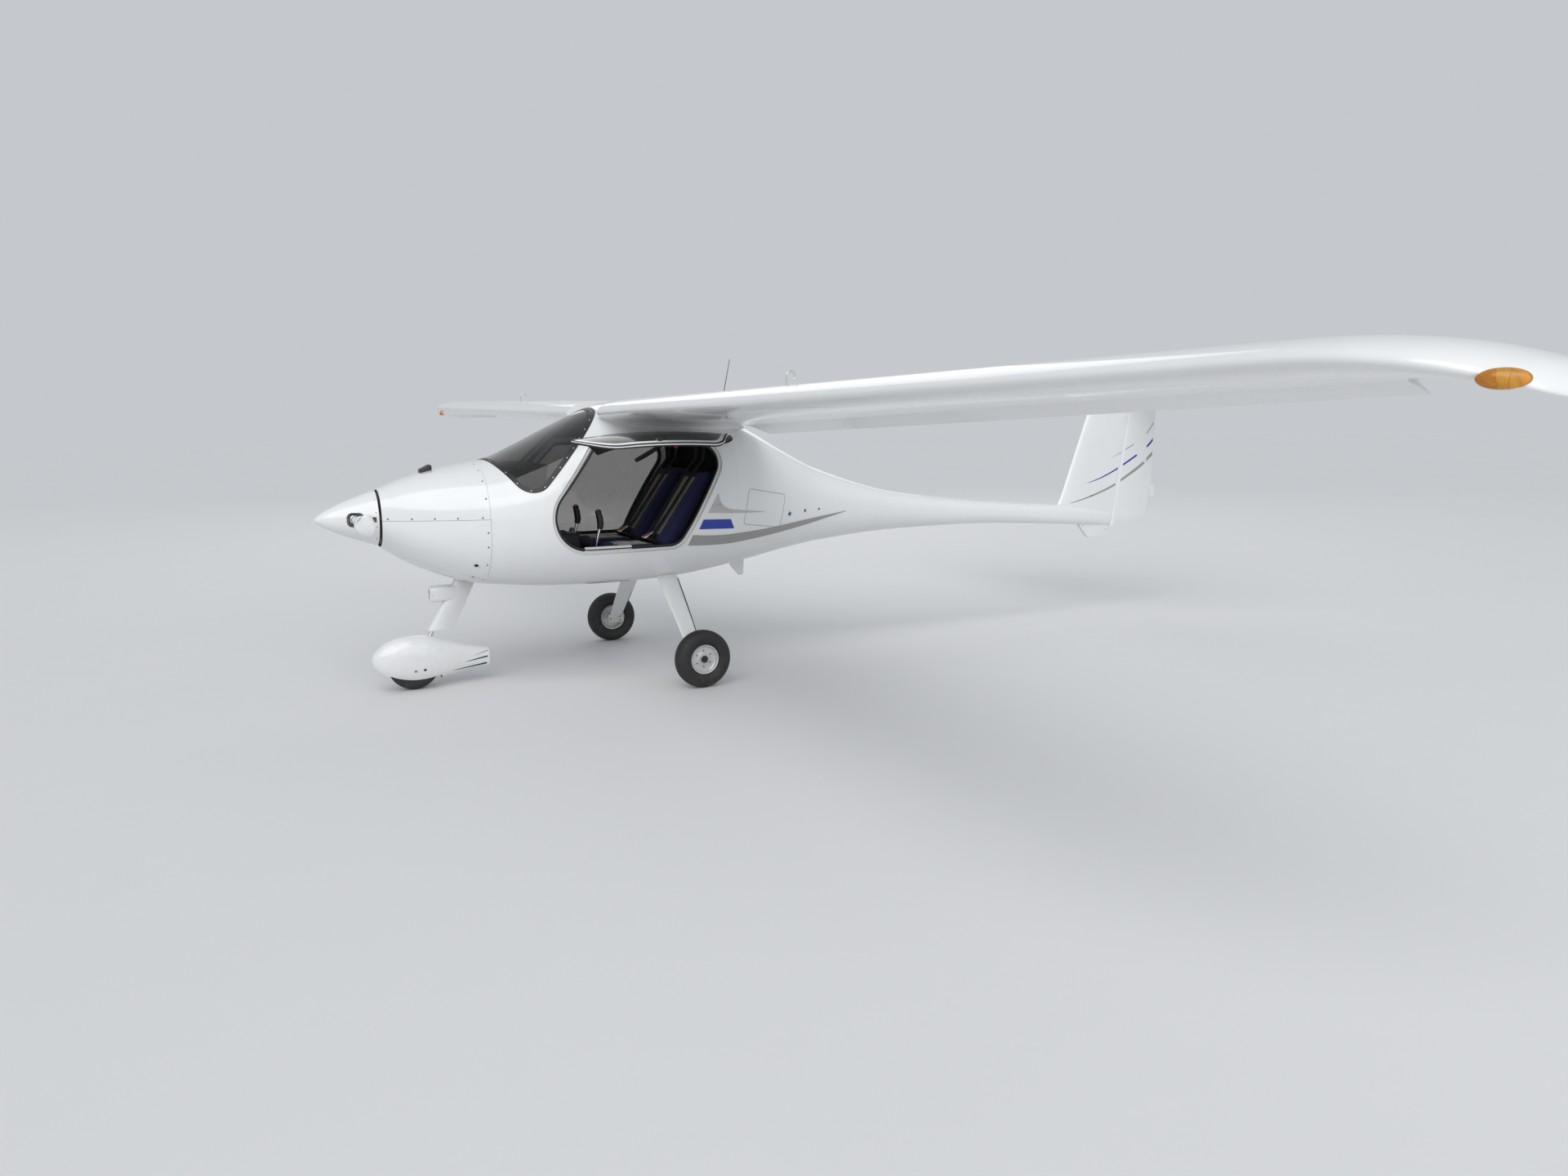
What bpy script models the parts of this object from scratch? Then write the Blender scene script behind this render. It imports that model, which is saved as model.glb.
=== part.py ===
"""Two-seat high-wing composite microlight aircraft on a tricycle undercarriage, parked, left door open.

Metres, +Z up. The nose points to -X and the left wing to -Y. The origin is on the ground, midway
between the spinner's tip and the elevator's trailing edge. A "station" is a distance aft of the
spinner's tip, as on an aircraft drawing, and at() turns it into X.
"""

import math

import bmesh
import bpy
import numpy as np
from mathutils import Matrix, Vector

# Overall sizes
LENGTH = 6.50
SPAN = 10.71
CLEARANCE = 0.0003
MOVING_GAP = 0.006

# Fuselage skin, in stations
FIREWALL_STATION = 0.872
CABIN_END = 2.36
TAIL_END = 5.864
SKIN = 0.016
TAIL_SKIN = 0.008
COWL_SKIN = 0.005
COWL_PROUD = 0.002
GLASS = 0.004
HULL_SIDES = 24
HULL_POWER = 2.35

TAIL_STATIONS = (
    CABIN_END + CLEARANCE, 2.50, 2.66, 2.82, 2.97, 3.16, 3.52, 4.05, 4.70, 5.10, 5.45, TAIL_END,
)

# Each row is one cross-section: station, underside z, z of the widest place, top z, half width
HULL = (
    (0.334, 0.845, 1.005, 1.172, 0.170),
    (0.450, 0.765, 1.000, 1.218, 0.245),
    (0.600, 0.688, 0.990, 1.262, 0.325),
    (0.750, 0.630, 0.985, 1.292, 0.388),
    (0.872, 0.600, 0.985, 1.313, 0.428),
    (0.980, 0.586, 0.985, 1.336, 0.457),
    (1.180, 0.565, 0.990, 1.426, 0.503),
    (1.380, 0.554, 1.000, 1.524, 0.532),
    (1.600, 0.548, 1.010, 1.622, 0.546),
    (1.850, 0.549, 1.020, 1.668, 0.546),
    (2.100, 0.562, 1.030, 1.662, 0.532),
    (2.360, 0.594, 1.035, 1.608, 0.494),
    (2.600, 0.632, 1.030, 1.490, 0.432),
    (2.850, 0.676, 1.013, 1.354, 0.358),
    (3.100, 0.712, 0.985, 1.232, 0.290),
    (3.520, 0.748, 0.935, 1.092, 0.208),
    (3.860, 0.760, 0.900, 1.016, 0.162),
    (4.590, 0.756, 0.842, 0.926, 0.106),
    (5.340, 0.712, 0.784, 0.862, 0.066),
    (5.864, 0.672, 0.739, 0.812, 0.034),
)

# Engine, propeller and spinner
THRUST_Z = 1.012
SPINNER_BASE = 0.322
SPINNER_RADIUS = 0.157
SPINNER_SKIN = 0.004
BLADE_STATION = 0.205
PROP_RADIUS = 0.80
BLADE_CHORD = 0.112
SHANK_RADIUS = 0.021
PROP_SHAFT_RADIUS = 0.03
ENGINE_FRONT = 0.43
ENGINE_HALF_WIDTH = 0.185
ENGINE_BOTTOM = 0.84
ENGINE_TOP = 1.13

# Windscreen and skylight, as side-view outlines in station and z, with corner radii
SCREEN_OUTLINE = (
    (0.945, 1.372, 0.0),
    (1.196, 1.118, 0.075),
    (1.596, 1.600, 0.0),
    (1.700, 1.800, 0.0),
    (0.900, 1.800, 0.0),
)
SKYLIGHT_FRONT = 1.66
SKYLIGHT_REAR = 2.16
SKYLIGHT_HALF_WIDTH = 0.20

# Doors: outline at the skin, as station, z and corner radius
DOOR_OUTLINE = (
    (1.503, 1.420, 0.030),
    (1.138, 0.792, 0.165),
    (1.978, 0.782, 0.110),
    (2.350, 1.420, 0.125),
)
DOOR_RIM = 0.034
HINGE_Y = 0.478
HINGE_Z = 1.432
HINGE_STATIONS = (1.66, 2.12)
HINGE_BARREL = 0.007
HINGE_HALF_LENGTH = 0.022
HINGE_BORE = 0.0035
LEFT_DOOR_OPEN = 87.0

# Wing sections: distance out, leading edge station, leading edge z, chord, incidence, thickness share
WING = (
    (0.300, 1.545, 1.591, 1.040, 5.6, 0.150),
    (2.600, 1.588, 1.632, 0.905, 4.2, 0.142),
    (4.800, 1.630, 1.672, 0.760, 2.7, 0.132),
    (4.960, 1.638, 1.671, 0.748, 2.6, 0.130),
    (5.090, 1.658, 1.662, 0.722, 2.4, 0.126),
    (5.200, 1.698, 1.645, 0.674, 2.2, 0.120),
    (5.285, 1.762, 1.620, 0.592, 2.0, 0.112),
    (5.335, 1.842, 1.596, 0.480, 2.0, 0.100),
    (5.355, 1.930, 1.582, 0.340, 2.0, 0.080),
)
WING_CAMBER = 0.030
VENT_OUT = 2.233
FLAPERON_SHARE = 0.80
FLAPERON_IN = 0.545
FLAPERON_OUT = 4.760
FLAPERON_DROOP = 15.0
FLAPERON_NOSE = 0.0155
FLAPERON_HINGES = (0.92, 2.65, 4.40)
EAR_HALF = 0.003
EAR_PIN = 0.0025

# Fin, rudder and tailplane
FIN_FOOT = (5.325, 0.800)
FIN_TOP = (5.700, 1.772)
RUDDER_FOOT = (5.902, 0.690)
RUDDER_HEAD = (6.083, 1.735)
RUDDER_TRAIL = 6.335
RUDDER_NOSE = 0.026
RUDDER_HINGES = (0.95, 1.52)
FIN_FOOT_HALF = 0.036
TAILPLANE_Z = 1.800
TAILPLANE_HALF_SPAN = 1.09
# Distance out, leading edge station, elevator hinge station, trailing edge station, thickness
TAILPLANE = (
    (0.00, 5.930, 6.270, 6.500, 0.050),
    (0.98, 5.995, 6.270, 6.452, 0.038),
    (1.05, 6.010, 6.270, 6.440, 0.033),
    (1.09, 6.045, 6.270, 6.415, 0.022),
)
ELEVATOR_HINGES = (-0.62, 0.0, 0.62)

# Undercarriage
MAIN_STATION = 1.968
HALF_TRACK = 0.80
MAIN_RADIUS = 0.168
MAIN_WIDTH = 0.104
MAIN_RIM = 0.087
NOSE_STATION = 0.482
NOSE_RADIUS = 0.146
NOSE_WIDTH = 0.092
NOSE_RIM = 0.062
TYRE_STEPS = 18
NOSE_RAKE = 29.0
STRUT_RADIUS = 0.013
STRUT_SIDES = 10


def at(station):
    """X of a station."""
    return station - LENGTH / 2


def clear_scene():
    for old in list(bpy.data.objects):
        bpy.data.objects.remove(old, do_unlink=True)


def finish_of(name, color, roughness=0.4, metallic=0.0, alpha=1.0):
    """A Principled material, made once for each name."""
    found = bpy.data.materials.get(name)
    if found:
        return found
    made = bpy.data.materials.new(name)
    made.use_nodes = True
    shader = made.node_tree.nodes["Principled BSDF"]
    shader.inputs["Base Color"].default_value = (*color, 1.0)
    shader.inputs["Roughness"].default_value = roughness
    shader.inputs["Metallic"].default_value = metallic
    shader.inputs["Alpha"].default_value = alpha
    made.diffuse_color = (*color, alpha)
    return made


def paint_white():
    return finish_of("white_gelcoat", (0.86, 0.87, 0.86), 0.16)


def smoked_glass():
    return finish_of("smoked_acrylic", (0.05, 0.06, 0.07), 0.05, 0.0, 0.4)


def black_rubber():
    return finish_of("tyre_rubber", (0.03, 0.03, 0.03), 0.75)


def black_plastic():
    return finish_of("black_plastic", (0.02, 0.02, 0.022), 0.5)


def bare_alloy():
    return finish_of("alloy", (0.72, 0.72, 0.70), 0.3, 1.0)


def seat_blue():
    return finish_of("seat_blue", (0.012, 0.02, 0.12), 0.8)


def object_from(name, bm, material, sharp=40.0):
    """Ends a bmesh as a smooth-shaded object."""
    bmesh.ops.remove_doubles(bm, verts=bm.verts, dist=1e-6)
    bmesh.ops.recalc_face_normals(bm, faces=bm.faces)
    mesh = bpy.data.meshes.new(name)
    bm.to_mesh(mesh)
    bm.free()
    mesh.shade_smooth()
    mesh.set_sharp_from_angle(angle=math.radians(sharp))
    made = bpy.data.objects.new(name, mesh)
    bpy.context.scene.collection.objects.link(made)
    if material:
        mesh.materials.append(material)
    return made


def loft(name, rings, material=None, sharp=40.0):
    """A closed skin through rings that have the same number of points, with both ends capped."""
    bm = bmesh.new()
    loops = []
    for ring in rings:
        verts = [bm.verts.new(point) for point in ring]
        loops.append([bm.edges.new((verts[i - 1], verts[i])) for i in range(len(verts))])
    bmesh.ops.contextual_create(bm, geom=loops[0])
    bmesh.ops.contextual_create(bm, geom=loops[-1])
    for first, second in zip(loops, loops[1:]):
        bmesh.ops.bridge_loops(bm, edges=first + second)
    return object_from(name, bm, material, sharp)


def turned(name, profile, centre, material, steps=TYRE_STEPS, axis="Y"):
    """A profile of (distance along the axis, radius) spun round an axis through centre."""
    bm = bmesh.new()
    verts = [bm.verts.new((0.0, along, radius)) for along, radius in profile]
    edges = [bm.edges.new(pair) for pair in zip(verts, verts[1:])]
    bmesh.ops.spin(
        bm, geom=verts + edges, cent=(0, 0, 0), axis=(0, 1, 0),
        angle=math.tau, steps=steps, use_merge=True,
    )
    if axis == "X":
        bmesh.ops.rotate(bm, verts=bm.verts, cent=(0, 0, 0), matrix=Matrix.Rotation(-math.pi / 2, 3, "Z"))
    bmesh.ops.remove_doubles(bm, verts=bm.verts, dist=1e-6)
    bmesh.ops.translate(bm, verts=bm.verts, vec=centre)
    return object_from(name, bm, material)


def prism(name, outline, low, high, material=None, axis="Y", sharp=30.0):
    """An outline pushed from low to high. Along Y it is (x, z), along X (y, z), along Z (x, y)."""
    def place(a, b, along):
        return {"Y": (a, along, b), "X": (along, a, b), "Z": (a, b, along)}[axis]

    bm = bmesh.new()
    face = bm.faces.new([bm.verts.new(place(a, b, low)) for a, b in outline])
    pushed = bmesh.ops.extrude_face_region(bm, geom=[face])
    moved = [item for item in pushed["geom"] if isinstance(item, bmesh.types.BMVert)]
    bmesh.ops.translate(bm, verts=moved, vec=place(0, 0, high - low))
    return object_from(name, bm, material, sharp)


def block(name, low, high, material=None, bevel=0.0, segments=2):
    """A box between two corners, with rounded edges where bevel isn't 0."""
    bm = bmesh.new()
    size = Vector(high) - Vector(low)
    middle = (Vector(high) + Vector(low)) / 2
    bmesh.ops.create_cube(bm, size=1.0)
    bmesh.ops.scale(bm, verts=bm.verts, vec=size)
    bmesh.ops.translate(bm, verts=bm.verts, vec=middle)
    if bevel:
        bmesh.ops.bevel(
            bm, geom=bm.edges[:], offset=bevel, segments=segments, profile=0.5,
            affect="EDGES", material=-1,
        )
    return object_from(name, bm, material)


def tube(name, points, radius, material, sides=3):
    """A round bar along points, with filled ends."""
    curve = bpy.data.curves.new(name, "CURVE")
    curve.dimensions = "3D"
    curve.bevel_depth = radius
    curve.bevel_resolution = sides
    curve.use_fill_caps = True
    line = curve.splines.new("POLY")
    line.points.add(len(points) - 1)
    for spot, point in zip(line.points, points):
        spot.co = (*point, 1.0)
    drawn = bpy.data.objects.new(name + "_path", curve)
    bpy.context.scene.collection.objects.link(drawn)
    bpy.context.view_layer.update()
    graph = bpy.context.evaluated_depsgraph_get()
    mesh = bpy.data.meshes.new_from_object(drawn.evaluated_get(graph))
    bpy.data.objects.remove(drawn)
    bm = bmesh.new()
    bm.from_mesh(mesh)
    return object_from(name, bm, material)


def rounded(corners, steps=4):
    """An outline through corners given as (a, b, radius), with each radius drawn as an arc."""
    points = []
    for i, (a, b, radius) in enumerate(corners):
        here = Vector((a, b))
        if radius == 0:
            points.append(here)
            continue
        back = (Vector(corners[i - 1][:2]) - here).normalized()
        ahead = (Vector(corners[(i + 1) % len(corners)][:2]) - here).normalized()
        half = back.angle(ahead) / 2
        centre = here + (back + ahead).normalized() * radius / math.sin(half)
        start = here + back * radius / math.tan(half) - centre
        sweep = start.angle_signed(here + ahead * radius / math.tan(half) - centre)
        for step in range(steps + 1):
            turn = -sweep * step / steps
            points.append(centre + Matrix.Rotation(turn, 2) @ start)
    return [tuple(point) for point in points]


def inset(corners, distance):
    """The same corners moved inwards by a distance, their radii cut by as much."""
    moved = []
    middle = sum((Vector(corner[:2]) for corner in corners), Vector((0, 0))) / len(corners)
    for i, (a, b, radius) in enumerate(corners):
        here = Vector((a, b))
        back = (Vector(corners[i - 1][:2]) - here).normalized()
        ahead = (Vector(corners[(i + 1) % len(corners)][:2]) - here).normalized()
        half = back.angle(ahead) / 2
        inward = (back + ahead).normalized()
        if inward.dot(middle - here) < 0:
            inward = -inward
        spot = here + inward * distance / math.sin(half)
        moved.append((spot.x, spot.y, max(radius - distance, 0.004) if radius else 0.0))
    return moved


def on_side(corners):
    """Corners in stations made into corners in X."""
    return [(at(station), z, radius) for station, z, radius in corners]


def cut(target, tool, operation="DIFFERENCE"):
    """Adds a Boolean to target, and hides its tool."""
    modifier = target.modifiers.new(operation.lower(), "BOOLEAN")
    modifier.operation = operation
    modifier.object = tool
    tool.hide_render = True
    tool.display_type = "WIRE"
    return target


def settle(made):
    """Bakes an object's modifiers into its mesh, and removes the tools that only it used."""
    bpy.context.view_layer.update()
    graph = bpy.context.evaluated_depsgraph_get()
    mesh = bpy.data.meshes.new_from_object(made.evaluated_get(graph))
    made.modifiers.clear()
    made.data = mesh
    return made


def spread(at_value, column):
    """One column of HULL at a station, on a smooth curve through the rows."""
    stations = [row[0] for row in HULL]
    values = [row[column] for row in HULL]
    i = min(max(int(np.searchsorted(stations, at_value)) - 1, 0), len(HULL) - 2)

    def slope(k):
        low, high = max(k - 1, 0), min(k + 1, len(HULL) - 1)
        return (values[high] - values[low]) / (stations[high] - stations[low])

    gap = stations[i + 1] - stations[i]
    t = (at_value - stations[i]) / gap
    a, b = values[i], values[i + 1]
    return (
        (2 * t**3 - 3 * t**2 + 1) * a + (t**3 - 2 * t**2 + t) * gap * slope(i)
        + (3 * t**2 - 2 * t**3) * b + (t**3 - t**2) * gap * slope(i + 1)
    )


def steps_between(low, high, count):
    return [low + (high - low) * i / count for i in range(count + 1)]


COWL_STATIONS = tuple(steps_between(HULL[0][0], FIREWALL_STATION - CLEARANCE * 3, 7))
CABIN_STATIONS = tuple(steps_between(FIREWALL_STATION, CABIN_END, 12))


def hull_ring(station, inward=0.0):
    """The fuselage's cross-section at a station, moved inwards by a wall."""
    bottom, wide, top, half = (spread(station, column) for column in (1, 2, 3, 4))
    half -= inward
    ring = []
    for step in range(HULL_SIDES):
        angle = math.tau * step / HULL_SIDES
        c, s = math.cos(angle), math.sin(angle)
        height = (top - inward - wide) if s > 0 else (wide - bottom - inward)
        y = half * math.copysign(abs(c) ** (2 / HULL_POWER), c)
        z = wide + height * math.copysign(abs(s) ** (2 / HULL_POWER), s)
        ring.append((at(station), y, z))
    return ring


def hull_half_width(station, z, inward=0.0):
    """How far out the fuselage's skin is at a station and height."""
    bottom, wide, top, half = (spread(station, column) for column in (1, 2, 3, 4))
    height = (top - inward - wide) if z > wide else (wide - bottom - inward)
    share = min(abs(z - wide) / height, 1.0)
    return (half - inward) * (1 - share**HULL_POWER) ** (1 / HULL_POWER)


def hull_loft(name, stations, inward=0.0, material=None):
    """The fuselage's form through these stations. Its faces are split alike wherever stations agree."""
    made = loft(name, [hull_ring(station, inward) for station in stations], material)
    bm = bmesh.new()
    bm.from_mesh(made.data)
    sides = [face for face in bm.faces if len(face.verts) == 4]
    for face in sides:
        quad = sorted(face.verts, key=lambda vertex: vertex.co.x)
        front, rear = quad[:2], quad[2:]
        low = min(front, key=lambda vertex: (round(vertex.co.z, 5), vertex.co.y))
        mate = next(vertex for vertex in rear if not any(low in edge.verts for edge in vertex.link_edges))
        bmesh.utils.face_split(face, low, mate)
    bm.to_mesh(made.data)
    bm.free()
    return made


def hull_shell(name, stations, wall, material, outward=0.0, reach=0.02):
    """A length of the fuselage's skin as a tube that is open at both ends."""
    outer = hull_loft(name, stations, -outward, material)
    inside = [stations[0] - reach, *stations, stations[-1] + reach]
    core = hull_loft(name + "_core", inside, wall - outward)
    cut(outer, core)
    settle(outer)
    bpy.data.objects.remove(core)
    return outer


# Cutters are made well past the skin on both sides
FAR_OUT = 1.2


def fuselage():
    """The cabin's moulded skin with door, windscreen and skylight openings, and the tail behind it."""
    white = paint_white()
    cabin = hull_shell("fuselage_cabin", CABIN_STATIONS, SKIN, white)
    screen = prism("screen_cut", rounded(on_side(SCREEN_OUTLINE)), -FAR_OUT, FAR_OUT)
    doors = prism("door_cut", rounded(inset(on_side(DOOR_OUTLINE), -MOVING_GAP)), -FAR_OUT, FAR_OUT)
    roof = block(
        "roof_cut", (at(SKYLIGHT_FRONT), -SKYLIGHT_HALF_WIDTH, 1.5),
        (at(SKYLIGHT_REAR), SKYLIGHT_HALF_WIDTH, 1.8),
    )
    for tool in (screen, doors, roof):
        cut(cabin, tool)
    settle(cabin)
    for tool in (screen, doors, roof):
        bpy.data.objects.remove(tool)
    add_ears(cabin)
    tail = hull_loft("fuselage_tail", TAIL_STATIONS, 0.0, white)
    core = hull_loft("tail_core", (TAIL_STATIONS[0] - 0.02, *TAIL_STATIONS[:-1]), TAIL_SKIN)
    cut(tail, core)
    settle(tail)
    bpy.data.objects.remove(core)


def firewall_and_bulkhead():
    """The two frames that close the cabin's skin in front and behind."""
    steel = finish_of("firewall_steel", (0.55, 0.55, 0.55), 0.35, 1.0)
    lining = finish_of("cabin_lining", (0.05, 0.05, 0.055), 0.85)
    for name, station, material in (
        ("firewall", FIREWALL_STATION + 0.001, steel), ("rear_bulkhead", CABIN_END - 0.013, lining),
    ):
        frame = hull_loft(name, CABIN_STATIONS, SKIN + CLEARANCE, material)
        slab = block("slab", (at(station), -1, 0), (at(station + 0.012), 1, 2))
        cut(frame, slab, "INTERSECT")
        settle(frame)
        bpy.data.objects.remove(slab)


def glazing():
    """Windscreen and skylight, moulded to the fuselage's own surface."""
    smoked = smoked_glass()
    screen = hull_shell("windscreen", CABIN_STATIONS[:8], GLASS, smoked)
    outline = rounded(inset(on_side(SCREEN_OUTLINE), CLEARANCE * 2))
    keep = prism("screen_keep", outline, -FAR_OUT, FAR_OUT)
    cut(screen, keep, "INTERSECT")
    settle(screen)
    bpy.data.objects.remove(keep)
    roof = hull_shell("skylight", CABIN_STATIONS[6:12], GLASS, smoked)
    edge = CLEARANCE * 2
    keep = block(
        "roof_keep", (at(SKYLIGHT_FRONT) + edge, -SKYLIGHT_HALF_WIDTH + edge, 1.5),
        (at(SKYLIGHT_REAR) - edge, SKYLIGHT_HALF_WIDTH - edge, 1.8),
    )
    cut(roof, keep, "INTERSECT")
    settle(roof)
    bpy.data.objects.remove(keep)


def cowling():
    """Upper and lower halves, split at the screw line, with an air inlet under the spinner and an outlet aft."""
    white = paint_white()
    split = THRUST_Z - 0.008
    for name, low, high in (("cowl_upper", split + CLEARANCE, 1.6), ("cowl_lower", 0.4, split)):
        half = hull_shell(name, COWL_STATIONS, COWL_SKIN, white, COWL_PROUD)
        keep = block(name + "_keep", (at(0.1), -1, low), (at(1.2), 1, high))
        cut(half, keep, "INTERSECT")
        settle(half)
        bpy.data.objects.remove(keep)
        if name == "cowl_lower":
            inlet = block("inlet_cut", (at(0.30), -0.10, 0.86), (at(0.405), 0.10, 0.905), None, 0.015)
            outlet = block("outlet_cut", (at(0.76), -0.13, 0.5), (at(0.90), 0.13, 0.70))
            for tool in (inlet, outlet):
                cut(half, tool)
            settle(half)
            for tool in (inlet, outlet):
                bpy.data.objects.remove(tool)


def engine():
    """The engine's mass as one block in front of the firewall."""
    block(
        "engine_block", (at(ENGINE_FRONT), -ENGINE_HALF_WIDTH, ENGINE_BOTTOM),
        (at(FIREWALL_STATION) + 0.001 - CLEARANCE, ENGINE_HALF_WIDTH, ENGINE_TOP),
        finish_of("engine_grey", (0.2, 0.2, 0.2), 0.5, 0.6), 0.02,
    )


def spinner_radius(station):
    """A long ogive from the tip to the back plate."""
    share = min(max(station / SPINNER_BASE, 0.0), 1.0)
    return SPINNER_RADIUS * math.sin(share * math.pi / 2) ** 0.82


SPINNER_STATIONS = (0.0, 0.006, 0.02, 0.05, 0.095, 0.155, 0.225, SPINNER_BASE)
SPINNER_STEPS = 24


def propeller():
    """Spinner with openings for the blades, and one two-bladed propeller on its shaft."""
    white = paint_white()
    stations = SPINNER_STATIONS
    centre = (at(0), 0, THRUST_Z)
    outside = [(station, spinner_radius(station)) for station in stations]
    outside[0] = (0.0, 0.0)
    wall = SPINNER_SKIN
    inside = [(station, spinner_radius(station) - wall) for station in stations[:2:-1]]
    profile = outside + inside + [(0.028, 0.0)]
    spinner = turned("spinner", profile, centre, white, SPINNER_STEPS, "X")
    openings = [block(
        "blade_slot", (at(BLADE_STATION - 0.046), -0.3, THRUST_Z - 0.040),
        (at(BLADE_STATION + 0.046), 0.3, THRUST_Z + 0.040), None, 0.026, 3,
    )]
    openings.append(block(
        "root_slot", (at(BLADE_STATION), -0.3, THRUST_Z - 0.018), (at(SPINNER_BASE - 0.012), 0.3, THRUST_Z + 0.018),
    ))
    for slot in openings:
        cut(spinner, slot)
    settle(spinner)
    for slot in openings:
        bpy.data.objects.remove(slot)
    blades()


# Blade sections: share of the radius, chord share, thickness share, pitch from the disc in degrees
BLADE = (
    (0.100, 0.36, 0.95, 62.0),
    (0.200, 0.40, 0.80, 58.0),
    (0.290, 0.72, 0.30, 46.0),
    (0.420, 0.98, 0.17, 34.0),
    (0.600, 1.00, 0.12, 26.0),
    (0.800, 0.84, 0.10, 20.0),
    (0.940, 0.62, 0.09, 17.0),
    (1.000, 0.26, 0.08, 16.0),
)


def blade_ring(side, share, chord_share, thickness_share, pitch, count=12):
    """One blade section: a lens that is thicker towards its front edge."""
    chord = BLADE_CHORD * chord_share
    thick = chord * thickness_share
    twist = math.radians(pitch) * side
    ring = []
    for step in range(count):
        angle = math.tau * step / count
        along = chord * 0.5 * math.cos(angle) - chord * 0.06
        across = thick * 0.5 * math.sin(angle) * (1.0 - 0.35 * math.cos(angle))
        z = along * math.cos(twist) - across * math.sin(twist)
        x = along * math.sin(twist) + across * math.cos(twist)
        ring.append((at(BLADE_STATION) + x, side * share * PROP_RADIUS, THRUST_Z + z * side))
    return ring


def blades():
    white = paint_white()
    hub = turned(
        "propeller", [(-0.045, 0.0), (-0.045, 0.050), (0.055, 0.050), (0.055, PROP_SHAFT_RADIUS),
                      (ENGINE_FRONT - BLADE_STATION - CLEARANCE, PROP_SHAFT_RADIUS),
                      (ENGINE_FRONT - BLADE_STATION - CLEARANCE, 0.0)],
        (at(BLADE_STATION), 0, THRUST_Z), white, 20, "X",
    )
    last = SPINNER_STATIONS[-2]
    share = (SPINNER_BASE - 0.008 - last) / (SPINNER_BASE - last)
    plate_edge = spinner_radius(last) * (1 - share) + spinner_radius(SPINNER_BASE) * share - SPINNER_SKIN - CLEARANCE
    plate = turned(
        "back_plate", [(0.0, 0.0), (0.0, plate_edge), (-0.006, plate_edge), (-0.006, 0.0)][::-1],
        (at(SPINNER_BASE - CLEARANCE), 0, THRUST_Z), white, SPINNER_STEPS, "X",
    )
    cut(hub, plate, "UNION")
    arms = []
    for side in (-1, 1):
        rings = [blade_ring(side, *row) for row in BLADE]
        arms.append(loft(f"blade_{side}", rings, white, 50))
        root = [(side * 0.03, 0.0), (side * 0.03, SHANK_RADIUS), (side * 0.17, SHANK_RADIUS), (side * 0.17, 0.0)]
        arms.append(turned(f"shank_{side}", root, (at(BLADE_STATION), 0, THRUST_Z), white, 16))
    for arm in arms:
        cut(hub, arm, "UNION")
    settle(hub)
    for arm in arms + [plate]:
        bpy.data.objects.remove(arm)


def wing_point(row, share, above):
    """A point of a wing section: share of the chord, and its height over the chord in chords."""
    out, nose, nose_z, chord, incidence, thickness = row
    turn = math.radians(incidence)
    x = nose + chord * (share * math.cos(turn) + above * math.sin(turn))
    z = nose_z + chord * (above * math.cos(turn) - share * math.sin(turn))
    return at(x), out, z


def foil_heights(share, thickness, camber=WING_CAMBER):
    """Upper and lower surface of the section at a share of the chord."""
    half = 5 * thickness * (
        0.2969 * math.sqrt(share) - 0.1260 * share - 0.3516 * share**2
        + 0.2843 * share**3 - 0.1036 * share**4
    )
    mean = 4 * camber * share * (1 - share)
    return mean + half, mean - half


def foil_shares(count=10):
    return [(1 - math.cos(math.pi * i / count)) / 2 for i in range(count + 1)]


def mixed_row(out):
    """The wing's section at a distance out, between the rows of WING."""
    for low, high in zip(WING, WING[1:]):
        if low[0] <= out <= high[0]:
            t = (out - low[0]) / (high[0] - low[0])
            return tuple(a + (b - a) * t for a, b in zip(low, high))
    raise ValueError("outside the wing")


def wing_ring(row, side):
    shares = foil_shares()
    upper = [wing_point(row, share, foil_heights(share, row[5])[0]) for share in shares[::-1]]
    lower = [wing_point(row, share, foil_heights(share, row[5])[1]) for share in shares[1:-1]]
    return [(x, side * y, z) for x, y, z in upper + lower]


def hinge_point(out):
    """The flaperon's hinge at a distance out: a straight line between its two ends."""
    ends = []
    for spot in (FLAPERON_IN, FLAPERON_OUT):
        row = mixed_row(spot)
        top, bottom = foil_heights(FLAPERON_SHARE + 0.02, row[5])
        ends.append(Vector(wing_point(row, FLAPERON_SHARE + 0.02, (top + bottom) / 2)))
    t = (out - FLAPERON_IN) / (FLAPERON_OUT - FLAPERON_IN)
    return ends[0].lerp(ends[1], t)


def flaperon_ring(out, side):
    """Round nose on the hinge, drawn to a thin trailing edge and drooped as parked."""
    row = mixed_row(out)
    hinge = hinge_point(out)
    tail = Vector(wing_point(row, 1.0, 0.0))
    length = (tail - hinge).length
    base = math.atan2(tail.z - hinge.z, tail.x - hinge.x) - math.radians(FLAPERON_DROOP)
    nose = FLAPERON_NOSE * row[3] / WING[0][3]
    ring = []
    for step in range(7):
        angle = math.pi / 2 + math.pi * step / 6
        ring.append((nose * math.cos(angle), nose * math.sin(angle)))
    ring += [(length, -0.0012), (length, 0.0012)]
    turned_ring = []
    for a, b in ring:
        x = hinge.x + a * math.cos(base) - b * math.sin(base)
        z = hinge.z + a * math.sin(base) + b * math.cos(base)
        turned_ring.append((x, side * out, z))
    return turned_ring


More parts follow.
